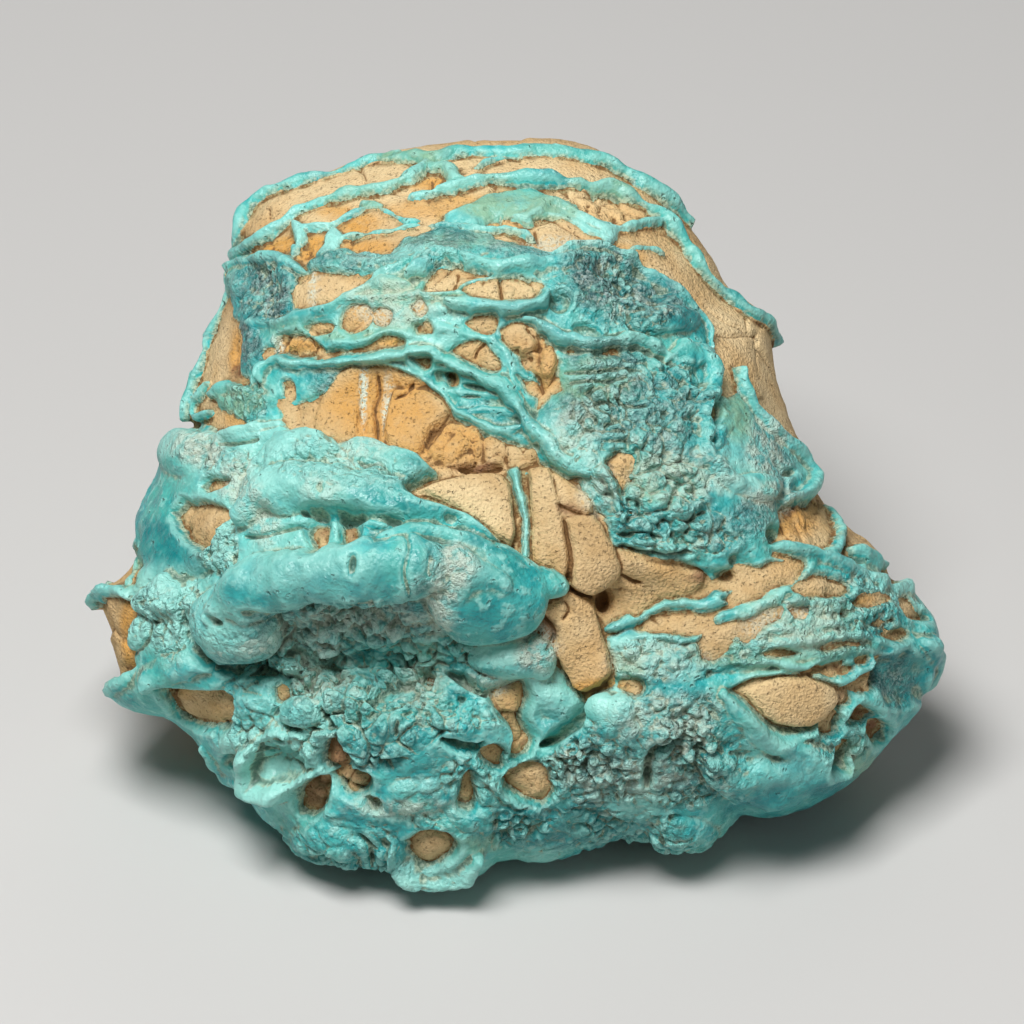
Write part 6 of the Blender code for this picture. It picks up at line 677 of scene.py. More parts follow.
        (36, 46, 3, 2, 0, 0.4), (33.4, 50.4, 2, 1.4, 0, 0.4), (31, 29.4, 0.35, 2.4, 0, 0.9),
        (27.4, 35, 0.3, 1, 0, 0.9), (79, 62.6, 6, 2.6, 0, 0.4),
    ],
    # The sandy washes are paler rock; on the right flank and on the tan oval at the lower right they are
    # also painted light.
    "sandy": [
        (46, 18.6, 26, 5, 0, 0.8), (75.6, 37, 4.4, 12, -14, 1), (46.4, 51, 5.4, 2.6, 12, 0.9),
        (79, 70.4, 6.4, 3, 8, 1), (67, 26.4, 6, 3, 30, 0.8), (48, 29.4, 8, 1.6, 0, 0.6),
        (32, 29.4, 4, 1.4, 0, 0.6), (56, 65, 3, 4, 0, 0.5), (54.6, 50, 2, 2.4, 0, 0.5),
        (86, 60, 9, 5, 0, 0.5), (82, 53, 3, 2.4, 0, 0.6), (20.6, 36, 2, 5, 0, 0.7),
    ],
}

PIECE = "nugget_surface"
PIECE_TRIANGLES = 198000

# How often a value is averaged with its neighbours' to find slight hollows, wide recesses and
# the contact of crust and rock.
HOLLOW_ROUNDS, RECESS_ROUNDS, CONTACT_ROUNDS = 6, 70, 5
FACE_TINT_END = (0.02, 0.14)  # behind the rim, the face's washes give way to the far ones
FACE_RELIEF_END = (0.03, 0.16)  # and so does its relief

# Where the camera looks: face point, its place along the face's axis, and width seen, in mm.
VIEW_MIDDLE = (51.2, 51.6)
VIEW_OUT = -4.0
VIEW_WIDTH = 103.0
LENS, SENSOR = 400.0, 36.0

# The stage, in metres and watts.
FLOOR_HALF = 4.0
FLOOR_COLOUR = (0.58, 0.57, 0.555, 1.0)
WORLD_LIGHT = 0.06
LIGHTS = [  # name, place, size, power
    ("key", (-0.1, -0.15, 0.52), (0.26, 0.22), 3.5),
    ("fill", (0.5, -0.5, 0.3), (0.5, 0.5), 0.4),
    ("back", (0.1, 0.55, 0.4), (0.5, 0.3), 0.5),
]
LIGHTS_AIM = (0.0, 0.0, 0.025)

# Strength of each tint on the sides and back.
FAR_TINTS = {"pale": 0.5, "deep": 0.5, "grey": 0.5, "green": 0.6, "ochre": 0.8, "brown": 0.25,
             "frost": 0.4, "sandy": 0.8}

# Colours, as linear light.
TURQUOISE = (0.028, 0.425, 0.430)
TURQUOISE_LIGHT = (0.085, 0.505, 0.468)
TURQUOISE_GREEN = (0.110, 0.370, 0.270)
TURQUOISE_DEEP = (0.007, 0.200, 0.210)
TURQUOISE_PALE = (0.340, 0.720, 0.640)
VEIN_GREEN = (0.250, 0.430, 0.260)
CRUMB = (0.500, 0.530, 0.350)
# Painted shade: the crumb colour as it looks in shadow, speckled among the lit crumbs.
CRUMB_SHADED = (0.150, 0.160, 0.080)
FROST = (0.620, 0.680, 0.560)
DRUSE_LIGHT = (0.300, 0.400, 0.375)
DRUSE_DARK = (0.022, 0.080, 0.080)
# Painted shade: the near-black laid in hollows, wide recesses and the gaps between nodules.
CREVICE_SHADE = (0.045, 0.110, 0.085)
ROCK = (0.560, 0.370, 0.170)
ROCK_LIGHT = (0.650, 0.460, 0.235)
# Paler rock for the sandy washes, partly painted light.
ROCK_PALE = (0.765, 0.585, 0.325)
# Dark brown of real stains on the rock, also laid in the rock's hollows as painted shade.
ROCK_SPECK = (0.420, 0.270, 0.140)
ROCK_STAIN_AND_SHADE = (0.200, 0.105, 0.035)
ROCK_RIM = (0.480, 0.460, 0.240)
OCHRE = (0.640, 0.330, 0.080)
RED_BROWN = (0.190, 0.075, 0.035)


def smooth_path(points, spans=6, closed=False):
    """A Catmull-Rom curve through the points, with this many spans between neighbours."""
    knots = np.asarray(points, float)
    if closed:
        knots = np.vstack([knots[-1:], knots, knots[:2]])
    else:
        first, last = 2 * knots[0] - knots[1], 2 * knots[-1] - knots[-2]
        knots = np.vstack([first, knots, last])
    t = np.arange(spans)[:, None] / spans
    parts = []
    for a, b, c, e in zip(knots, knots[1:], knots[2:], knots[3:]):
        bend = 2 * a - 5 * b + 4 * c - e
        twist = 3 * b - a - 3 * c + e
        parts.append(b + 0.5 * t * (c - a + t * (bend + t * twist)))
    if not closed:
        parts.append(knots[-2:-1])
    return np.vstack(parts)


def ramp(low, high, values):
    """0 below low, 1 above high, with a smooth rise between."""
    t = np.clip((values - low) / (high - low), 0, 1)
    return t * t * (3 - 2 * t)


def rim_tables():
    """Angles and radii of the outline round the face's middle, true and smoothed."""
    path = smooth_path(OUTLINE, closed=True)
    right, up = path[:, 0] - FACE_CENTRE[0], FACE_CENTRE[1] - path[:, 1]
    angles = np.linspace(-math.pi, math.pi, RIM_STEPS + 1)[:-1]
    true = np.interp(angles, np.arctan2(up, right), np.hypot(right, up) - RIM_INSET,
                     period=2 * math.pi)
    smooth = true
    for _ in range(RIM_ROUNDS):
        smooth = (np.roll(smooth, 1) + 2 * smooth + np.roll(smooth, -1)) / 4
    return angles, true, smooth


RIM_ANGLES, RIM_TRUE, RIM_SMOOTH = rim_tables()


def radius_at(angle, share):
    """The face's radius at this bearing, following the outline's corners only near the rim."""
    true = np.interp(angle, RIM_ANGLES, RIM_TRUE, period=2 * math.pi)
    smooth = np.interp(angle, RIM_ANGLES, RIM_SMOOTH, period=2 * math.pi)
    return smooth + (true - smooth) * share**CORNER_FADE


def inside_ellipse(x, d, ellipse):
    """Distance from the ellipse's middle as a share of its radius at that bearing."""
    cx, cd, half_x, half_d, turn = ellipse
    c, s = math.cos(math.radians(turn)), math.sin(math.radians(turn))
    along, across = (x - cx) * c + (d - cd) * s, (d - cd) * c - (x - cx) * s
    return np.hypot(along / half_x, across / half_d)


def swell_height(x, d):
    """How far the swells and hollows lift the show face."""
    height = np.zeros_like(x)
    for *ellipse, rise in SWELLS:
        height += rise * np.exp(-inside_ellipse(x, d, ellipse) ** 2)
    return height


def body_point(angle, share, front):
    """Points of the body: right, up and out of the face, at a share of the rim's radius."""
    radius = share * radius_at(angle, share)
    right, up = radius * np.cos(angle), radius * np.sin(angle)
    x, d = FACE_CENTRE[0] + right, FACE_CENTRE[1] - up
    rim = RIM_OUT - RIM_SETBACK * up * share**2
    front_out = FRONT_DEPTH * (1 - share**FRONT_FALL) ** FRONT_ROUND
    front_out += swell_height(x, d) * (1 - share**4)
    heel = np.exp(-(((up - HEEL_AT) / HEEL_REACH) ** 2))
    back_depth = BACK_DEPTH + HEEL_DEPTH * heel - TOP_THINNING * ramp(0.0, 30.0, up)
    back_out = -back_depth * (1 - share**BACK_FALL) ** BACK_ROUND
    return np.stack([right, up, rim + np.where(front, front_out, back_out)], axis=1)


def anchor(points):
    """The body's places at face points. A point past the outline comes round onto the back."""
    right, up = points[:, 0] - FACE_CENTRE[0], FACE_CENTRE[1] - points[:, 1]
    angle, radius = np.arctan2(up, right), np.hypot(right, up)
    share = radius / radius_at(angle, np.ones_like(angle))
    for _ in range(6):
        share = radius / radius_at(angle, np.minimum(share, 1))
    return body_point(angle, np.where(share > 1, 2 - share, share), share <= 1)


def ball():
    """A cube's six patches of quads, as unit directions, and the mesh that joins them."""
    mesh = bmesh.new()
    bmesh.ops.create_cube(mesh, size=2.0)
    bmesh.ops.subdivide_edges(mesh, edges=mesh.edges[:], cuts=DIVISIONS - 1, use_grid_fill=True)
    cube = np.array([v.co for v in mesh.verts])
    flat = np.tan(cube * math.pi / 4)
    return mesh, flat / np.linalg.norm(flat, axis=1)[:, None]


def drawn_out(directions):
    """The body's point for each direction from the ball's middle, and how far behind the rim."""
    right, up, out = directions.T
    equator = 1 - 2 * FRONT_SHARE
    front = out >= equator
    depth = np.where(front, (out - equator) / (1 - equator), (equator - out) / (1 + equator))
    share = np.sqrt(np.clip(1 - depth**SPREAD, 0, 1))
    behind = np.where(front, 0.0, 1 - share)
    return body_point(np.arctan2(up, right), share, front), behind


def noise_at(places, size, seed=0.0):
    """Smooth noise from about -1 to 1 whose features are of this size."""
    spots = (places @ NOISE_TURN / size + seed * 17.3).tolist()
    return np.array([noise.noise(spot) for spot in spots])


def cells_at(places, size, seed=0.0):
    """Cells of this size: how near the middle, how near the next cell, a level and a slope."""
    reach, gap, level, slope = [], [], [], []
    for spot in (places / size + seed * 17.3).tolist():
        distances, middles = noise.voronoi(spot)
        reach.append(distances[0])
        gap.append(distances[1] - distances[0])
        level.append(noise.cell(middles[0] * 9.7))
        lean = noise.cell_vector(middles[0] * 5.3)
        slope.append(sum((s - m) * (t - 0.5) for s, m, t in zip(spot, middles[0], lean)))
    return np.array(reach), np.array(gap), np.array(level), np.array(slope)


def path_distance(places, path):
    """Distance from each place to a path in space, and how far along it the nearest point is."""
    best, along, done = np.full(len(places), np.inf), np.zeros(len(places)), 0.0
    for a, b in zip(path, path[1:]):
        step = b - a
        length = math.sqrt(step @ step) + 1e-9
        share = np.clip((places - a) @ step / length**2, 0, 1)
        gap = np.linalg.norm(places - a - share[:, None] * step, axis=1)
        near = gap < best
        best[near], along[near] = gap[near], done + share[near] * length
        done += length
    return best, along, done


class Skin:
    """The body's surface while its relief is drawn, with one entry for each vertex."""

    def __init__(self, places, behind):
        self.places = places
        self.x, self.d = FACE_CENTRE[0] + places[:, 0], FACE_CENTRE[1] - places[:, 1]
        self.behind = behind
        self.wander = noise_at(places, 4.5, 1.0)
        self.grain = noise_at(places, 1.6, 2.0)
        self.ragged = noise_at(places, 2.4, 8.0)
        self.fine = noise_at(places, 0.85, 13.0)
        self.rock = 0.35 * noise_at(places, 9.0, 3.0) + 0.12 * self.grain
        drift = [noise_at(places, 3.4, seed) for seed in (9.0, 10.0, 11.0)]
        self.bent = places + 1.1 * np.stack(drift, axis=1)
        self.broken = 0.45 + 0.55 * ramp(-0.25, 0.2, noise_at(places, 5.5, 14.0))
        self.crust = np.full(len(places), BARE)
        self.cut = np.zeros(len(places))

    def near(self, path, reach):
        """The vertices within reach of a path's box."""
        low, high = path.min(axis=0) - reach, path.max(axis=0) + reach
        return np.flatnonzero(((self.places > low) & (self.places < high)).all(axis=1))

    def ridge(self, width, height, base, points):
        """Raises the crust along a path: a vein or a roll."""
        path = anchor(smooth_path(points))
        some = self.near(path, width)
        gap, along, length = path_distance(self.places[some], path)
        uneven = self.wander[some] + self.ragged[some] + 0.7 * self.grain[some]
        uneven += 0.5 * self.fine[some]
        half = 0.45 * width + (0.11 * width + 0.19) * uneven / (1 + 0.12 * width)
        half = np.maximum(half, 0.12)
        if points[0] != points[-1]:
            ends = np.minimum(along, length - along) / width
            half = half * (0.45 + 0.55 * np.clip(ends * 1.4, 0, 1))
        u = gap / half
        peak = height + min(height, 1.4) * (0.35 * self.ragged[some] + 0.3 * self.wander[some])
        round_top = np.clip(1 - u * u, 0, 1) ** VEIN_ROUND
        thin = self.ragged[some] + self.grain[some] + 0.7 * self.wander[some]
        skirt = base - VEIN_SKIRT - 1.4 * (gap - half) + 0.36 * thin
        level = np.where(u < 1, base + peak * round_top, np.minimum(base, skirt))
        self.crust[some] = np.maximum(self.crust[some], level)

    def signed(self, points, spans=5):
        """Distance inside an outline on the face (negative outside), near that outline."""
        flat = smooth_path(points + points[:1], spans)
        margin = SIGNED_REACH + 1
        low, high = flat.min(axis=0) - margin, flat.max(axis=0) + margin
        x, d = self.x, self.d
        some = np.flatnonzero((x > low[0]) & (x < high[0]) & (d > low[1]) & (d < high[1]))
        x, d = x[some], d[some]
        inside = np.zeros(len(some), bool)
        for (ax, ad), (bx, bd) in zip(flat, flat[1:]):
            if ad != bd:
                inside ^= ((ad > d) != (bd > d)) & (x < (bx - ax) * (d - ad) / (bd - ad) + ax)
        gap, _, _ = path_distance(self.places[some], anchor(flat))
        signed = np.full(len(self.x), -SIGNED_REACH)
        signed[some] = np.where(inside, 1, -1) * np.minimum(gap, SIGNED_REACH)
        return signed

    def spread(self, level, edge, points):
        """Lays a sheet of crust over an area."""
        inside = self.signed(points) + 0.5 * self.wander + 0.6 * self.ragged
        inside += 0.4 * self.grain + 0.2 * self.fine
        height = np.where(inside > 0, level * (1 - np.exp(-inside / edge)), 1.5 * inside)
        self.crust = np.maximum(self.crust, height)

    def window(self, lift, points):
        """Opens the crust over a block of host rock."""
        inside = self.signed(points) + 0.3 * self.ragged + 0.22 * self.grain + 0.08 * self.fine
        self.crust = np.minimum(self.crust, np.where(inside > 0, -2.5, -3.0) * inside)
        self.rock += lift * ramp(0.0, 1.4, inside)

    def block(self, lift, rise_right, rise_down, points):
        """Stands a flat-faced block on the host rock."""
        inside = self.signed(points, 2) + 0.1 * self.ragged + 0.08 * self.fine
        middle = np.mean(points, axis=0)
        flat = lift + rise_right * (self.x - middle[0]) + rise_down * (self.d - middle[1])
        share = ramp(-0.3, 0.05, inside)
        self.rock = self.rock * (1 - 0.8 * share) + flat * share

    def lump(self, x, d, half_x, half_d, turn, height, base):
        """Stands a rounded lump on the crust."""
        u = inside_ellipse(self.x, self.d, (x, d, half_x, half_d, turn))
        u = u * (1 + 0.12 * self.wander + 0.06 * self.ragged) + 5 * (self.behind > AROUND)
        dome = base + height * np.sqrt(np.clip(1 - u * u, 0, 1))
        self.crust = np.where(u < 1, np.maximum(self.crust, dome), self.crust)

    def crack(self, width, depth, points):
        """Cuts a groove along a path."""
        path = anchor(smooth_path(points, 4))
        some = self.near(path, 2 * width)
        gap, along, length = path_distance(self.places[some], path)
        ends = np.clip(np.minimum(along, length - along) / width, 0, 1)
        half = CRACK_WIDEN * width * (0.5 + 0.5 * ends) * (1 + 0.4 * self.grain[some])
        groove = CRACK_DEEPEN * depth * np.clip(1 - (gap / half) ** 2, 0, 1)
        self.cut[some] = np.maximum(self.cut[some], groove)

    def pit(self, x, d, half_x, half_d, turn, depth):
        """Cuts a bowl."""
        u = inside_ellipse(self.x, self.d, (x, d, half_x, half_d, turn))
        u = u * (1 + 0.15 * self.grain) + 5 * (self.behind > AROUND)
        self.cut = np.maximum(self.cut, depth * np.clip(1 - u**3, 0, 1))

    def zone(self, x, d, half_x, half_d, turn):
        """The vertices in a patch of the face, and how far each is into it, from 0 to 1."""
        u = inside_ellipse(self.x, self.d, (x, d, half_x, half_d, turn))
        u = u + 0.25 * self.wander + 5 * (self.behind > AROUND)
        some = np.flatnonzero(u < 1)
        return some, 1 - ramp(0.7, 1.0, u[some])

    def roughen(self, x, d, half_x, half_d, turn, size, height):
        """Breaks the crust of an area into nodules, with ragged pits between."""
        some, share = self.zone(x, d, half_x, half_d, turn)
        share = share * self.broken[some]
        halfway = (0.3 * self.places + 0.7 * self.bent)[some]
        reach, gap, level, slope = cells_at(halfway * ROUGH_STRETCH, size, size)
        dome = np.sqrt(np.clip(1 - (reach / 0.95) ** 2, 0, 1))
        fine_reach, _, fine_level, _ = cells_at(halfway, 0.45 * size, size + 2)
        grains = np.sqrt(np.clip(1 - (fine_reach / 0.9) ** 2, 0, 1))
        bumps = 0.4 * dome + 0.5 * level + 0.9 * slope - 0.4 - 0.6 * (1 - ramp(0.0, 0.18, gap))
        bumps += 0.25 * fine_level + 0.3 * (grains - 0.7)
        eaten = noise_at(self.bent[some], 1.3 * size, size) + 0.5 * self.ragged[some]
        bumps -= 0.7 * ramp(0.1, 0.24, eaten + 0.2 * self.grain[some])
        over = self.crust[some] - self.rock[some]
        broken = np.maximum(over + height * share * bumps, 0.1)
        self.crust[some] += np.where(over > 0.1, broken - over, 0)

    def shatter(self, x, d, half_x, half_d, turn, size, height):
        """Breaks the host rock of an area into blocks of uneven height."""
        some, share = self.zone(x, d, half_x, half_d, turn)
        halfway = (0.7 * self.places + 0.3 * self.bent)[some]
        _, gap, level, slope = cells_at(halfway, size, size + 4)
        cleft = 1 - ramp(0.0, 0.45 / size, gap)
        self.rock[some] += height * share * (0.5 * level - 0.3 + 1.1 * slope - 0.45 * cleft)


def far_side(skin):
    """Crust on the sides and back: near-parallel wandering veins, and broad patches."""
    places = skin.places
    drift = 2.6 * noise_at(places, 15.0, 4.0) + 0.9 * skin.wander
    veins = np.full(len(places), BARE)
    for direction, spacing, width, height in FAR_VEINS:
        axis = np.array(direction) / np.linalg.norm(direction)
        turns = (places @ axis + drift) / spacing
        gap = np.abs(turns - np.round(turns)) * spacing
        half = 0.5 * width * (1 + 0.5 * noise_at(places, 8.0, spacing))
        u = gap / np.maximum(half, 0.15)
        level = np.where(u < 1, height * np.sqrt(np.clip(1 - u * u, 0, 1)), -3.0 * (u - 1))
        veins = np.maximum(veins, level)
        drift = -drift
    patch = noise_at(places, 17.0, 5.0) + 0.5 * noise_at(places, 8.0, 7.0)
    patch = 4.0 * (patch + 0.25 * skin.wander + 0.1 * skin.grain) - 0.7
    return np.maximum(veins, np.minimum(patch, 1.1 + 0.4 * skin.wander))


def draw_relief(places, behind):
    """Height of the finished surface over the body, and the crust's height over the rock."""
    skin = Skin(places, behind)
    halfway = 0.5 * (places + skin.bent)
    _, gap, level, slope = cells_at(halfway * ROCK_STRETCH, ROCK_CELL, 6.0)
    open_crack = ramp(0.0, 0.3, noise_at(places, 9.0, 12.0))
    skin.rock += 0.15 * level + 0.5 * slope - 0.15
    skin.rock -= 0.35 * open_crack * (1 - ramp(0.0, 0.06, gap))
    for level, edge, points in CRUSTS:
        skin.spread(level, edge, points)
    for vein in VEINS:
        skin.ridge(*vein)
    for roll in ROLLS:
        skin.ridge(*roll)
    for lump in LUMPS:
        skin.lump(*lump)
    for lift, points in WINDOWS:
        skin.window(lift, points)
    for zone in ROUGH:
        skin.roughen(*zone)
    for knob in KNOBS:
        skin.lump(*knob)
    for block in BLOCKS:
        skin.block(*block)
    for zone in SHATTERED:
        skin.shatter(*zone)
    for crack in CRACKS:
        skin.crack(*crack)
    for pit in PITS:
        skin.pit(*pit)
    fade = ramp(*FACE_RELIEF_END, behind + 0.02 * skin.wander)
    crust = skin.crust + (far_side(skin) - skin.crust) * fade
    crust += 0.16 * skin.ragged + 0.14 * skin.grain + 0.08 * skin.fine
    height = np.maximum(crust, skin.rock) - skin.cut - BASE_LEVEL
    return skin, height, crust - skin.rock


def stand(points):
    """Face axes (right, up, out) to the standing stone's axes: X right, Y back, Z up."""
    lean = math.radians(FACE_LEAN)
    right, up, out = points.T
    y = up * math.sin(lean) - out * math.cos(lean)
    z = up * math.cos(lean) + out * math.sin(lean)
    x, y = right - SEAT_MIDDLE[0], y - SEAT_MIDDLE[1]
    seat = SEAT_HEIGHT + SEAT_RISE * (x**2 + y**2)
    over = (z - seat) / SEAT_SOFTNESS - 1
    z = np.where(over < 0, seat + SEAT_SOFTNESS * np.exp(np.minimum(over, 0)), z)
    return np.stack([x, y, z - SEAT_HEIGHT - SEAT_CUT], axis=1)


def outward(mesh, places):
    """Directions out of the smooth body at each vertex."""
    for vertex, place in zip(mesh.verts, places):
        vertex.co = place
    mesh.normal_update()
    return np.array([v.normal for v in mesh.verts])


def edge_table(mesh):
    """The two vertices of each edge."""
    return np.array([[v.index for v in edge.verts] for edge in mesh.edges])


def blurred(values, edges, rounds):
    """Values averaged with those of their neighbours, over and over."""
    count = np.bincount(edges.ravel(), minlength=len(values))
    a, b = edges.T
    for _ in range(rounds):
        total = np.bincount(a, values[b], len(values)) + np.bincount(b, values[a], len(values))
        values = 0.4 * values + 0.6 * total / count
    return values


def wash(skin, kind):
    """How strongly one kind of tint lies at each vertex."""
    amount = np.zeros(len(skin.x))
    for *ellipse, strength in TINTS[kind]:
        u = inside_ellipse(skin.x, skin.d, ellipse) + 0.25 * skin.wander + 0.12 * skin.grain
        amount = np.maximum(amount, strength * (1 - ramp(0.6, 1.25, u)))
    far = ramp(*FACE_TINT_END, skin.behind)
    own_seed = 31.0 + 7 * len(kind) + ord(kind[0])
    spots = noise_at(skin.places, 11.0, own_seed)
    spread = FAR_TINTS[kind] * ramp(0.05, 0.45, spots)
    return amount * (1 - far) + spread * far


def broken_ground(skin):
    """How broken the crust is at each vertex, from 0 to 1."""
    amount = np.zeros(len(skin.x))
    for *patch, size, height in ROUGH:
        some, share = skin.zone(*patch)
        share = share * skin.broken[some] * min(1.0, height / 0.8) * (1.0 if size < 1.5 else 0.6)
        amount[some] = np.maximum(amount[some], share)
    return amount


def set_attribute(data, name, values):
    """Stores one number for each vertex, for the material to read."""
    data.attributes.new(name, "FLOAT", "POINT").data.foreach_set("value", values.astype("f4"))


def stone_piece():
    """The finished stone as one mesh, with what its material reads stored on its vertices."""
    mesh, directions = ball()
    places, behind = drawn_out(directions)
    normals = outward(mesh, places)
    skin, height, over_rock = draw_relief(places, behind)
    edges = edge_table(mesh)
    height, over_rock = blurred(height, edges, 1), blurred(over_rock, edges, 1)
    finished = stand(places + height[:, None] * normals)
    finished[:, 2] = np.maximum(finished[:, 2], 0)
    for vertex, place in zip(mesh.verts, finished * METRES):
        vertex.co = place
    for face in mesh.faces:
        face.smooth = True
    data = bpy.data.meshes.new(PIECE)
    mesh.to_mesh(data)
    mesh.free()
    set_attribute(data, "over", over_rock)
    crusted = (over_rock > 0).astype(float)
    set_attribute(data, "contact", blurred(crusted, edges, CONTACT_ROUNDS))
    set_attribute(data, "hollow", blurred(height, edges, HOLLOW_ROUNDS) - height)
    set_attribute(data, "recess", blurred(height, edges, RECESS_ROUNDS) - height)
    set_attribute(data, "crumbly", broken_ground(skin))
    for kind in FAR_TINTS:
        set_attribute(data, kind, wash(skin, kind))
    stone = bpy.data.objects.new(PIECE, data)
    bpy.context.scene.collection.objects.link(stone)
    thin = stone.modifiers.new("thin", "DECIMATE")
    thin.ratio = PIECE_TRIANGLES / (2 * len(data.polygons))
    depsgraph = bpy.context.evaluated_depsgraph_get()
    thinned = bpy.data.meshes.new_from_object(stone.evaluated_get(depsgraph))
    stone.modifiers.clear()
    stone.data = thinned
    thinned.name = PIECE
    return stone


class Nodes:
    """Short names for the shader nodes of one material."""

    def __init__(self, name):
        self.material = bpy.data.materials.new(name)
        self.material.use_nodes = True
        self.tree = self.material.node_tree
        self.shader = self.tree.nodes["Principled BSDF"]

    def put(self, socket, value):
        """Links a socket to another node, or sets its own value."""
        if isinstance(value, bpy.types.NodeSocket):
            self.tree.links.new(value, socket)
        elif isinstance(value, tuple) and socket.type == "RGBA":
            socket.default_value = (*value, 1.0)
        else:
            socket.default_value = value

    def attribute(self, name):
        node = self.tree.nodes.new("ShaderNodeAttribute")
        node.attribute_name = name
        return node.outputs["Fac"]

    def where(self):
        return self.tree.nodes.new("ShaderNodeTexCoord").outputs["Object"]

    def noise(self, size, detail, rough=0.55):
        """Noise from 0 to 1 whose features are about this many millimetres."""
        node = self.tree.nodes.new("ShaderNodeTexNoise")
        node.inputs["Scale"].default_value = 1000.0 / size
        node.inputs["Detail"].default_value = detail
        node.inputs["Roughness"].default_value = rough
        self.put(node.inputs["Vector"], self.where())
        return node.outputs["Fac"]

    def cells(self, size):
        """Crooked cells about this many millimetres wide: distance to the middle, and a tone."""
        drift = self.tree.nodes.new("ShaderNodeTexNoise")
        drift.inputs["Scale"].default_value = 700.0 / size
        drift.inputs["Detail"].default_value = 1.0
        self.put(drift.inputs["Vector"], self.where())
        bent = self.tree.nodes.new("ShaderNodeVectorMath")
        bent.operation = "MULTIPLY_ADD"
        bent.inputs[1].default_value = [1.4 * size / 1000.0] * 3
        self.put(bent.inputs[0], drift.outputs["Color"])
        self.put(bent.inputs[2], self.where())
        node = self.tree.nodes.new("ShaderNodeTexVoronoi")
        node.inputs["Scale"].default_value = 1000.0 / size
        self.put(node.inputs["Vector"], bent.outputs[0])
        tone = self.tree.nodes.new("ShaderNodeSeparateColor")
        self.put(tone.inputs[0], node.outputs["Color"])
        return node.outputs["Distance"], tone.outputs[0]

    def math(self, operation, a, b):
        node = self.tree.nodes.new("ShaderNodeMath")
        node.operation = operation
        self.put(node.inputs[0], a)
        self.put(node.inputs[1], b)
        return node.outputs[0]

    def ramp(self, value, low, high, to_low=0.0, to_high=1.0):
        """A smooth step from one amount to another between two values."""
        node = self.tree.nodes.new("ShaderNodeMapRange")
        node.interpolation_type = "SMOOTHSTEP"
        for socket, amount in zip(node.inputs, (value, low, high, to_low, to_high)):
            self.put(socket, amount)
        return node.outputs[0]

    def mix(self, share, a, b):
        """From colour a to colour b."""
        node = self.tree.nodes.new("ShaderNodeMix")
        node.data_type = "RGBA"
        self.put(node.inputs[0], share)
        self.put(node.inputs[6], a)
        self.put(node.inputs[7], b)
        return node.outputs[2]

    def mix_value(self, share, a, b):
        node = self.tree.nodes.new("ShaderNodeMix")
        self.put(node.inputs[0], share)
        self.put(node.inputs[2], a)
        self.put(node.inputs[3], b)
        return node.outputs[0]

    def times(self, *values):
        return functools.reduce(lambda a, b: self.math("MULTIPLY", a, b), values)

    def add(self, *values):
        return functools.reduce(lambda a, b: self.math("ADD", a, b), values)


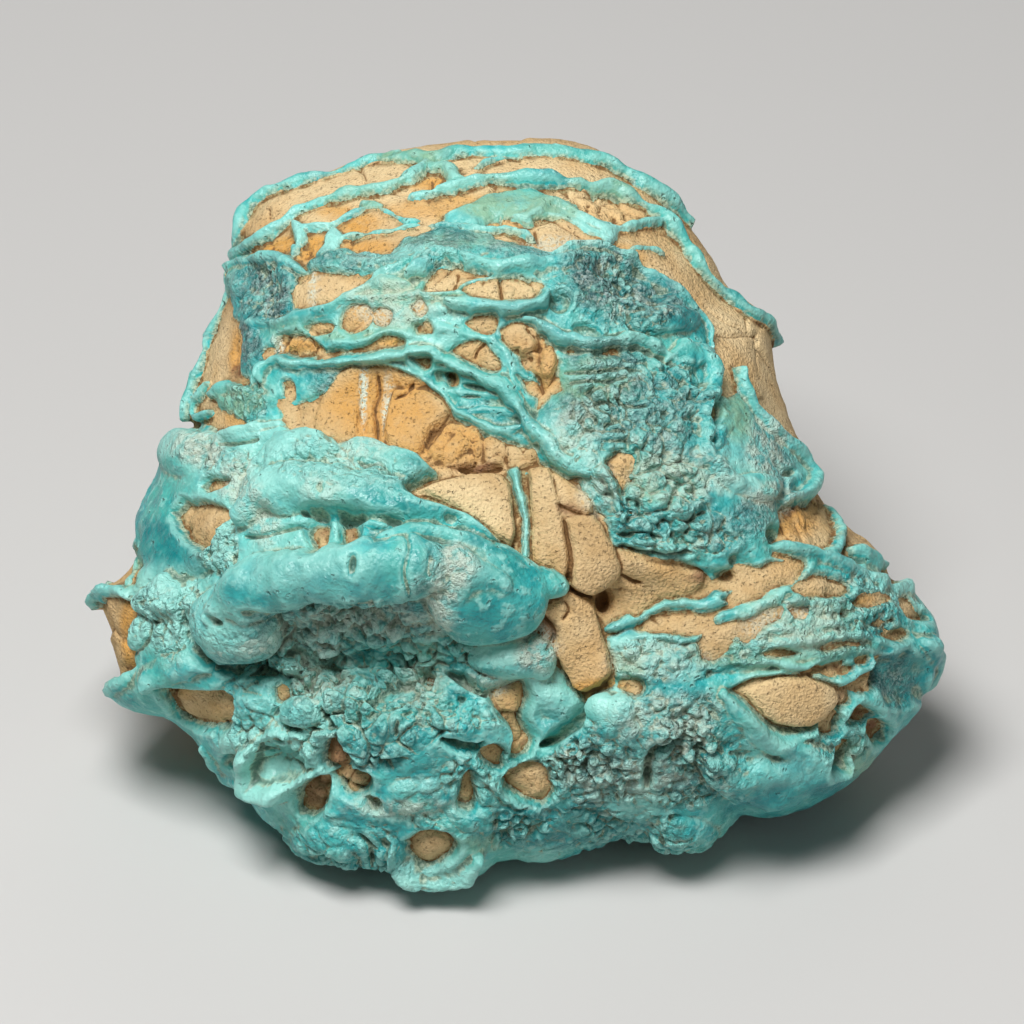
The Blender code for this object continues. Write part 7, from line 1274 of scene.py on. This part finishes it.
def stone_material():
    """Turquoise and host rock in one material, parted by how far the crust stands over the rock."""
    n = Nodes("turquoise_in_host_rock")
    over, hollow, recess, contact, crumbly = map(
        n.attribute, ("over", "hollow", "recess", "contact", "crumbly"))
    pale, deep, grey, green, ochre, brown, frost, sandy = map(n.attribute, FAR_TINTS)
    speck, grain, cloud = n.noise(0.42, 2.0, 0.65), n.noise(1.2, 2.0, 0.6), n.noise(3.0, 3.0, 0.65)
    broad, patch = n.noise(8.0, 2.0), n.noise(15.0, 2.0)
    nodule, tone = n.cells(0.85)

    ragged = n.add(over, n.times(n.math("SUBTRACT", grain, 0.5), 0.5),
                   n.times(n.math("SUBTRACT", speck, 0.5), 0.35))
    crust = n.ramp(ragged, -0.03, 0.05)
    # crumb grains, about half of them in their painted-shade colour
    crumbs = n.mix(n.ramp(speck, 0.4, 0.58), CRUMB_SHADED, CRUMB)

    # turquoise
    colour = n.mix(n.ramp(cloud, 0.4, 0.58), TURQUOISE, TURQUOISE_LIGHT)
    colour = n.mix(n.ramp(broad, 0.42, 0.6, 0.0, 0.4), colour, TURQUOISE_GREEN)
    colour = n.mix(n.ramp(patch, 0.32, 0.47, 0.5, 0.0), colour, TURQUOISE_DEEP)
    colour = n.mix(n.ramp(cloud, 0.32, 0.46, 0.6, 0.0), colour, TURQUOISE_DEEP)
    colour = n.mix(n.ramp(patch, 0.52, 0.66, 0.0, 0.4), colour, TURQUOISE_PALE)
    colour = n.mix(n.ramp(grain, 0.5, 0.68, 0.0, 0.6), colour, TURQUOISE_PALE)
    # deeper turquoise, and painted shade on the undersides where the deep washes lie
    colour = n.mix(n.times(deep, n.ramp(cloud, 0.35, 0.6, 0.9, 0.55)), colour, TURQUOISE_DEEP)
    # milky turquoise, and painted highlight on the tops of the brow and the dome
    milky_and_highlight = n.times(pale, n.ramp(grain, 0.3, 0.55, 0.7, 1.0))
    colour = n.mix(milky_and_highlight, colour, TURQUOISE_PALE)
    colour = n.mix(n.times(green, n.ramp(grain, 0.3, 0.6, 0.5, 0.95)), colour, VEIN_GREEN)
    drusy = n.times(grey, n.ramp(n.noise(1.7, 2.0, 0.7), 0.36, 0.56, 0.3, 1.0))
    crystals = n.mix(n.ramp(speck, 0.4, 0.6), DRUSE_DARK, DRUSE_LIGHT)
    crystals = n.mix(n.ramp(cloud, 0.42, 0.56, 0.6, 0.0), crystals, DRUSE_DARK)
    colour = n.mix(drusy, colour, crystals)
    crumb = n.mix(n.ramp(tone, 0.45, 0.8, 0.0, 0.8), colour, TURQUOISE_PALE)
    crumb = n.mix(n.ramp(tone, 0.08, 0.3, 0.8, 0.0), crumb, TURQUOISE_DEEP)
    crumb = n.mix(n.ramp(tone, 0.84, 0.9, 0.0, 0.85), crumb, FROST)
    # painted shade in the gaps between the nodules
    crumb = n.mix(n.ramp(nodule, 0.5, 0.8, 0.0, 0.7), crumb, CREVICE_SHADE)
    crumbled = n.times(crumbly, n.ramp(cloud, 0.35, 0.5, 0.35, 0.9), n.ramp(pale, 0.0, 1.0, 1.0, 0.5))
    colour = n.mix(crumbled, colour, crumb)
    # painted highlight: raised, convex points of the turquoise go pale
    raised_highlight = n.ramp(hollow, -0.12, -0.02, 0.5, 0.0)
    colour = n.mix(raised_highlight, colour, TURQUOISE_PALE)
    # crumb grains settle in the hollows: real grains, partly painted shade through their shaded colour
    hollow_crumbs = n.times(n.ramp(hollow, 0.015, 0.11), n.ramp(cloud, 0.3, 0.55, 0.35, 1.0))
    colour = n.mix(n.times(hollow_crumbs, 0.65), colour, crumbs)
    # painted shade: hollows, and more softly the wide recesses such as under the brow, go darker
    colour = n.mix(n.ramp(hollow, 0.08, 0.25, 0.0, 0.7), colour, CREVICE_SHADE)
    colour = n.mix(n.ramp(recess, 0.4, 2.2, 0.0, 0.45), colour, CREVICE_SHADE)
    frosted = n.times(frost, n.ramp(grain, 0.36, 0.56, 0.15, 0.9))
    colour = n.mix(frosted, colour, n.mix(n.ramp(speck, 0.3, 0.42), CRUMB, FROST))
    edge = n.times(n.ramp(contact, 0.6, 0.97, 1.0, 0.0), n.ramp(grain, 0.38, 0.54))
    turquoise = n.mix(n.times(edge, 0.6), colour, crumbs)

    # host rock
    sand = n.noise(0.3, 1.0, 0.7)
    rock = n.mix(n.ramp(cloud, 0.35, 0.65), ROCK, ROCK_LIGHT)
    # paler rock, partly painted light on the right flank and the lower right tan oval
    rock = n.mix(n.times(sandy, n.ramp(grain, 0.25, 0.55, 0.6, 1.0)), rock, ROCK_PALE)
    rock = n.mix(n.times(ochre, n.ramp(grain, 0.25, 0.55, 0.6, 1.0)), rock, OCHRE)
    rock = n.mix(n.ramp(broad, 0.5, 0.68, 0.0, 0.3), rock, OCHRE)
    rock = n.mix(n.ramp(sand, 0.54, 0.72, 0.0, 0.4), rock, ROCK_SPECK)
    rock = n.mix(n.ramp(speck, 0.66, 0.74, 0.0, 0.6), rock, ROCK_STAIN_AND_SHADE)
    rock = n.mix(brown, rock, RED_BROWN)
    # painted shade: the rock's hollows and cracks go darker
    rock = n.mix(n.ramp(hollow, 0.02, 0.16), rock, ROCK_STAIN_AND_SHADE)
    rim = n.times(n.ramp(contact, 0.02, 0.35), n.ramp(grain, 0.36, 0.56))
    rock = n.mix(n.times(rim, 0.55), rock, n.mix(n.ramp(speck, 0.4, 0.55), ROCK_STAIN_AND_SHADE, ROCK_RIM))
    rock = n.mix(n.times(frost, n.ramp(speck, 0.38, 0.5)), rock, FROST)
    n.put(n.shader.inputs["Base Color"], n.mix(crust, rock, turquoise))

    # shine
    glossy = n.ramp(cloud, 0.3, 0.7, 0.32, 0.5)
    glossy = n.mix_value(n.math("MAXIMUM", edge, frosted), glossy, 0.8)
    n.put(n.shader.inputs["Roughness"], n.mix_value(crust, 0.9, glossy))
    n.shader.inputs["Specular IOR Level"].default_value = 0.45

    # fine relief
    rough = n.math("MAXIMUM", n.math("MAXIMUM", crumbly, grey), frost)
    crust_relief = n.add(n.times(n.noise(0.55, 2.0, 0.7), n.ramp(rough, 0.0, 0.8, 0.3, 1.2)),
                         n.times(grain, 0.7))
    pores = n.times(n.ramp(nodule, 0.05, 0.35, -0.5, 0.0), n.ramp(grain, 0.54, 0.62))
    crumbs_up = n.times(crumbly, n.add(n.ramp(nodule, 0.1, 0.8, 1.0, 0.0), n.times(tone, 0.7)))
    crust_relief = n.add(crust_relief, pores, n.times(crumbs_up, 0.8))
    rock_relief = n.add(n.times(sand, 0.4), n.times(grain, 0.4),
                        n.ramp(speck, 0.62, 0.7, 0.0, -0.45))
    bump = n.tree.nodes.new("ShaderNodeBump")
    bump.inputs["Strength"].default_value = 1.0
    bump.inputs["Distance"].default_value = 0.0005
    n.put(bump.inputs["Height"], n.mix_value(crust, rock_relief, crust_relief))
    n.put(n.shader.inputs["Normal"], bump.outputs["Normal"])
    return n.material


def aim(obj, place, target):
    """Puts a camera or light here, facing the target."""
    obj.location = place
    obj.rotation_mode = "QUATERNION"
    obj.rotation_quaternion = (Vector(target) - Vector(place)).to_track_quat("-Z", "Y")


def add_camera():
    """Looks straight at the show face from far off."""
    lean = math.radians(FACE_LEAN)
    view = Vector((0, -math.cos(lean), math.sin(lean)))
    right, up, out = VIEW_MIDDLE[0] - FACE_CENTRE[0], FACE_CENTRE[1] - VIEW_MIDDLE[1], VIEW_OUT
    y = up * math.sin(lean) - out * math.cos(lean)
    z = up * math.cos(lean) + out * math.sin(lean)
    focus = Vector((right - SEAT_MIDDLE[0], y - SEAT_MIDDLE[1], z - SEAT_HEIGHT - SEAT_CUT))
    camera = bpy.data.cameras.new("camera")
    camera.lens, camera.sensor_width = LENS, SENSOR
    holder = bpy.data.objects.new("camera", camera)
    bpy.context.scene.collection.objects.link(holder)
    focus *= METRES
    aim(holder, focus + view * (VIEW_WIDTH * METRES * LENS / SENSOR), focus)
    bpy.context.scene.camera = holder


def add_light(name, place, size, energy):
    light = bpy.data.lights.new(name, "AREA")
    light.shape = "RECTANGLE"
    light.size, light.size_y = size
    light.energy = energy
    holder = bpy.data.objects.new(name, light)
    bpy.context.scene.collection.objects.link(holder)
    aim(holder, Vector(place), LIGHTS_AIM)


def add_stage():
    """The pale floor, the soft lights and a dim white world."""
    floor_mesh = bpy.data.meshes.new("floor")
    half = FLOOR_HALF
    floor_mesh.from_pydata([(-half, -half, 0), (half, -half, 0), (half, half, 0),
                            (-half, half, 0)], [], [(0, 1, 2, 3)])
    floor = bpy.data.objects.new("floor", floor_mesh)
    bpy.context.scene.collection.objects.link(floor)
    material = bpy.data.materials.new("floor")
    material.use_nodes = True
    shader = material.node_tree.nodes["Principled BSDF"]
    shader.inputs["Base Color"].default_value = FLOOR_COLOUR
    shader.inputs["Roughness"].default_value = 0.9
    shader.inputs["Specular IOR Level"].default_value = 0.1
    floor_mesh.materials.append(material)
    world = bpy.data.worlds.new("studio")
    bpy.context.scene.world = world
    world.use_nodes = True
    background = world.node_tree.nodes["Background"]
    background.inputs["Color"].default_value = (1.0, 1.0, 1.0, 1.0)
    background.inputs["Strength"].default_value = WORLD_LIGHT
    for light in LIGHTS:
        add_light(*light)
    bpy.context.scene.view_settings.view_transform = "Standard"


stone = stone_piece()
stone.data.materials.clear()
stone.data.materials.append(stone_material())
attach(stone, "root")
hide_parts(NODE)
add_camera()
add_stage()
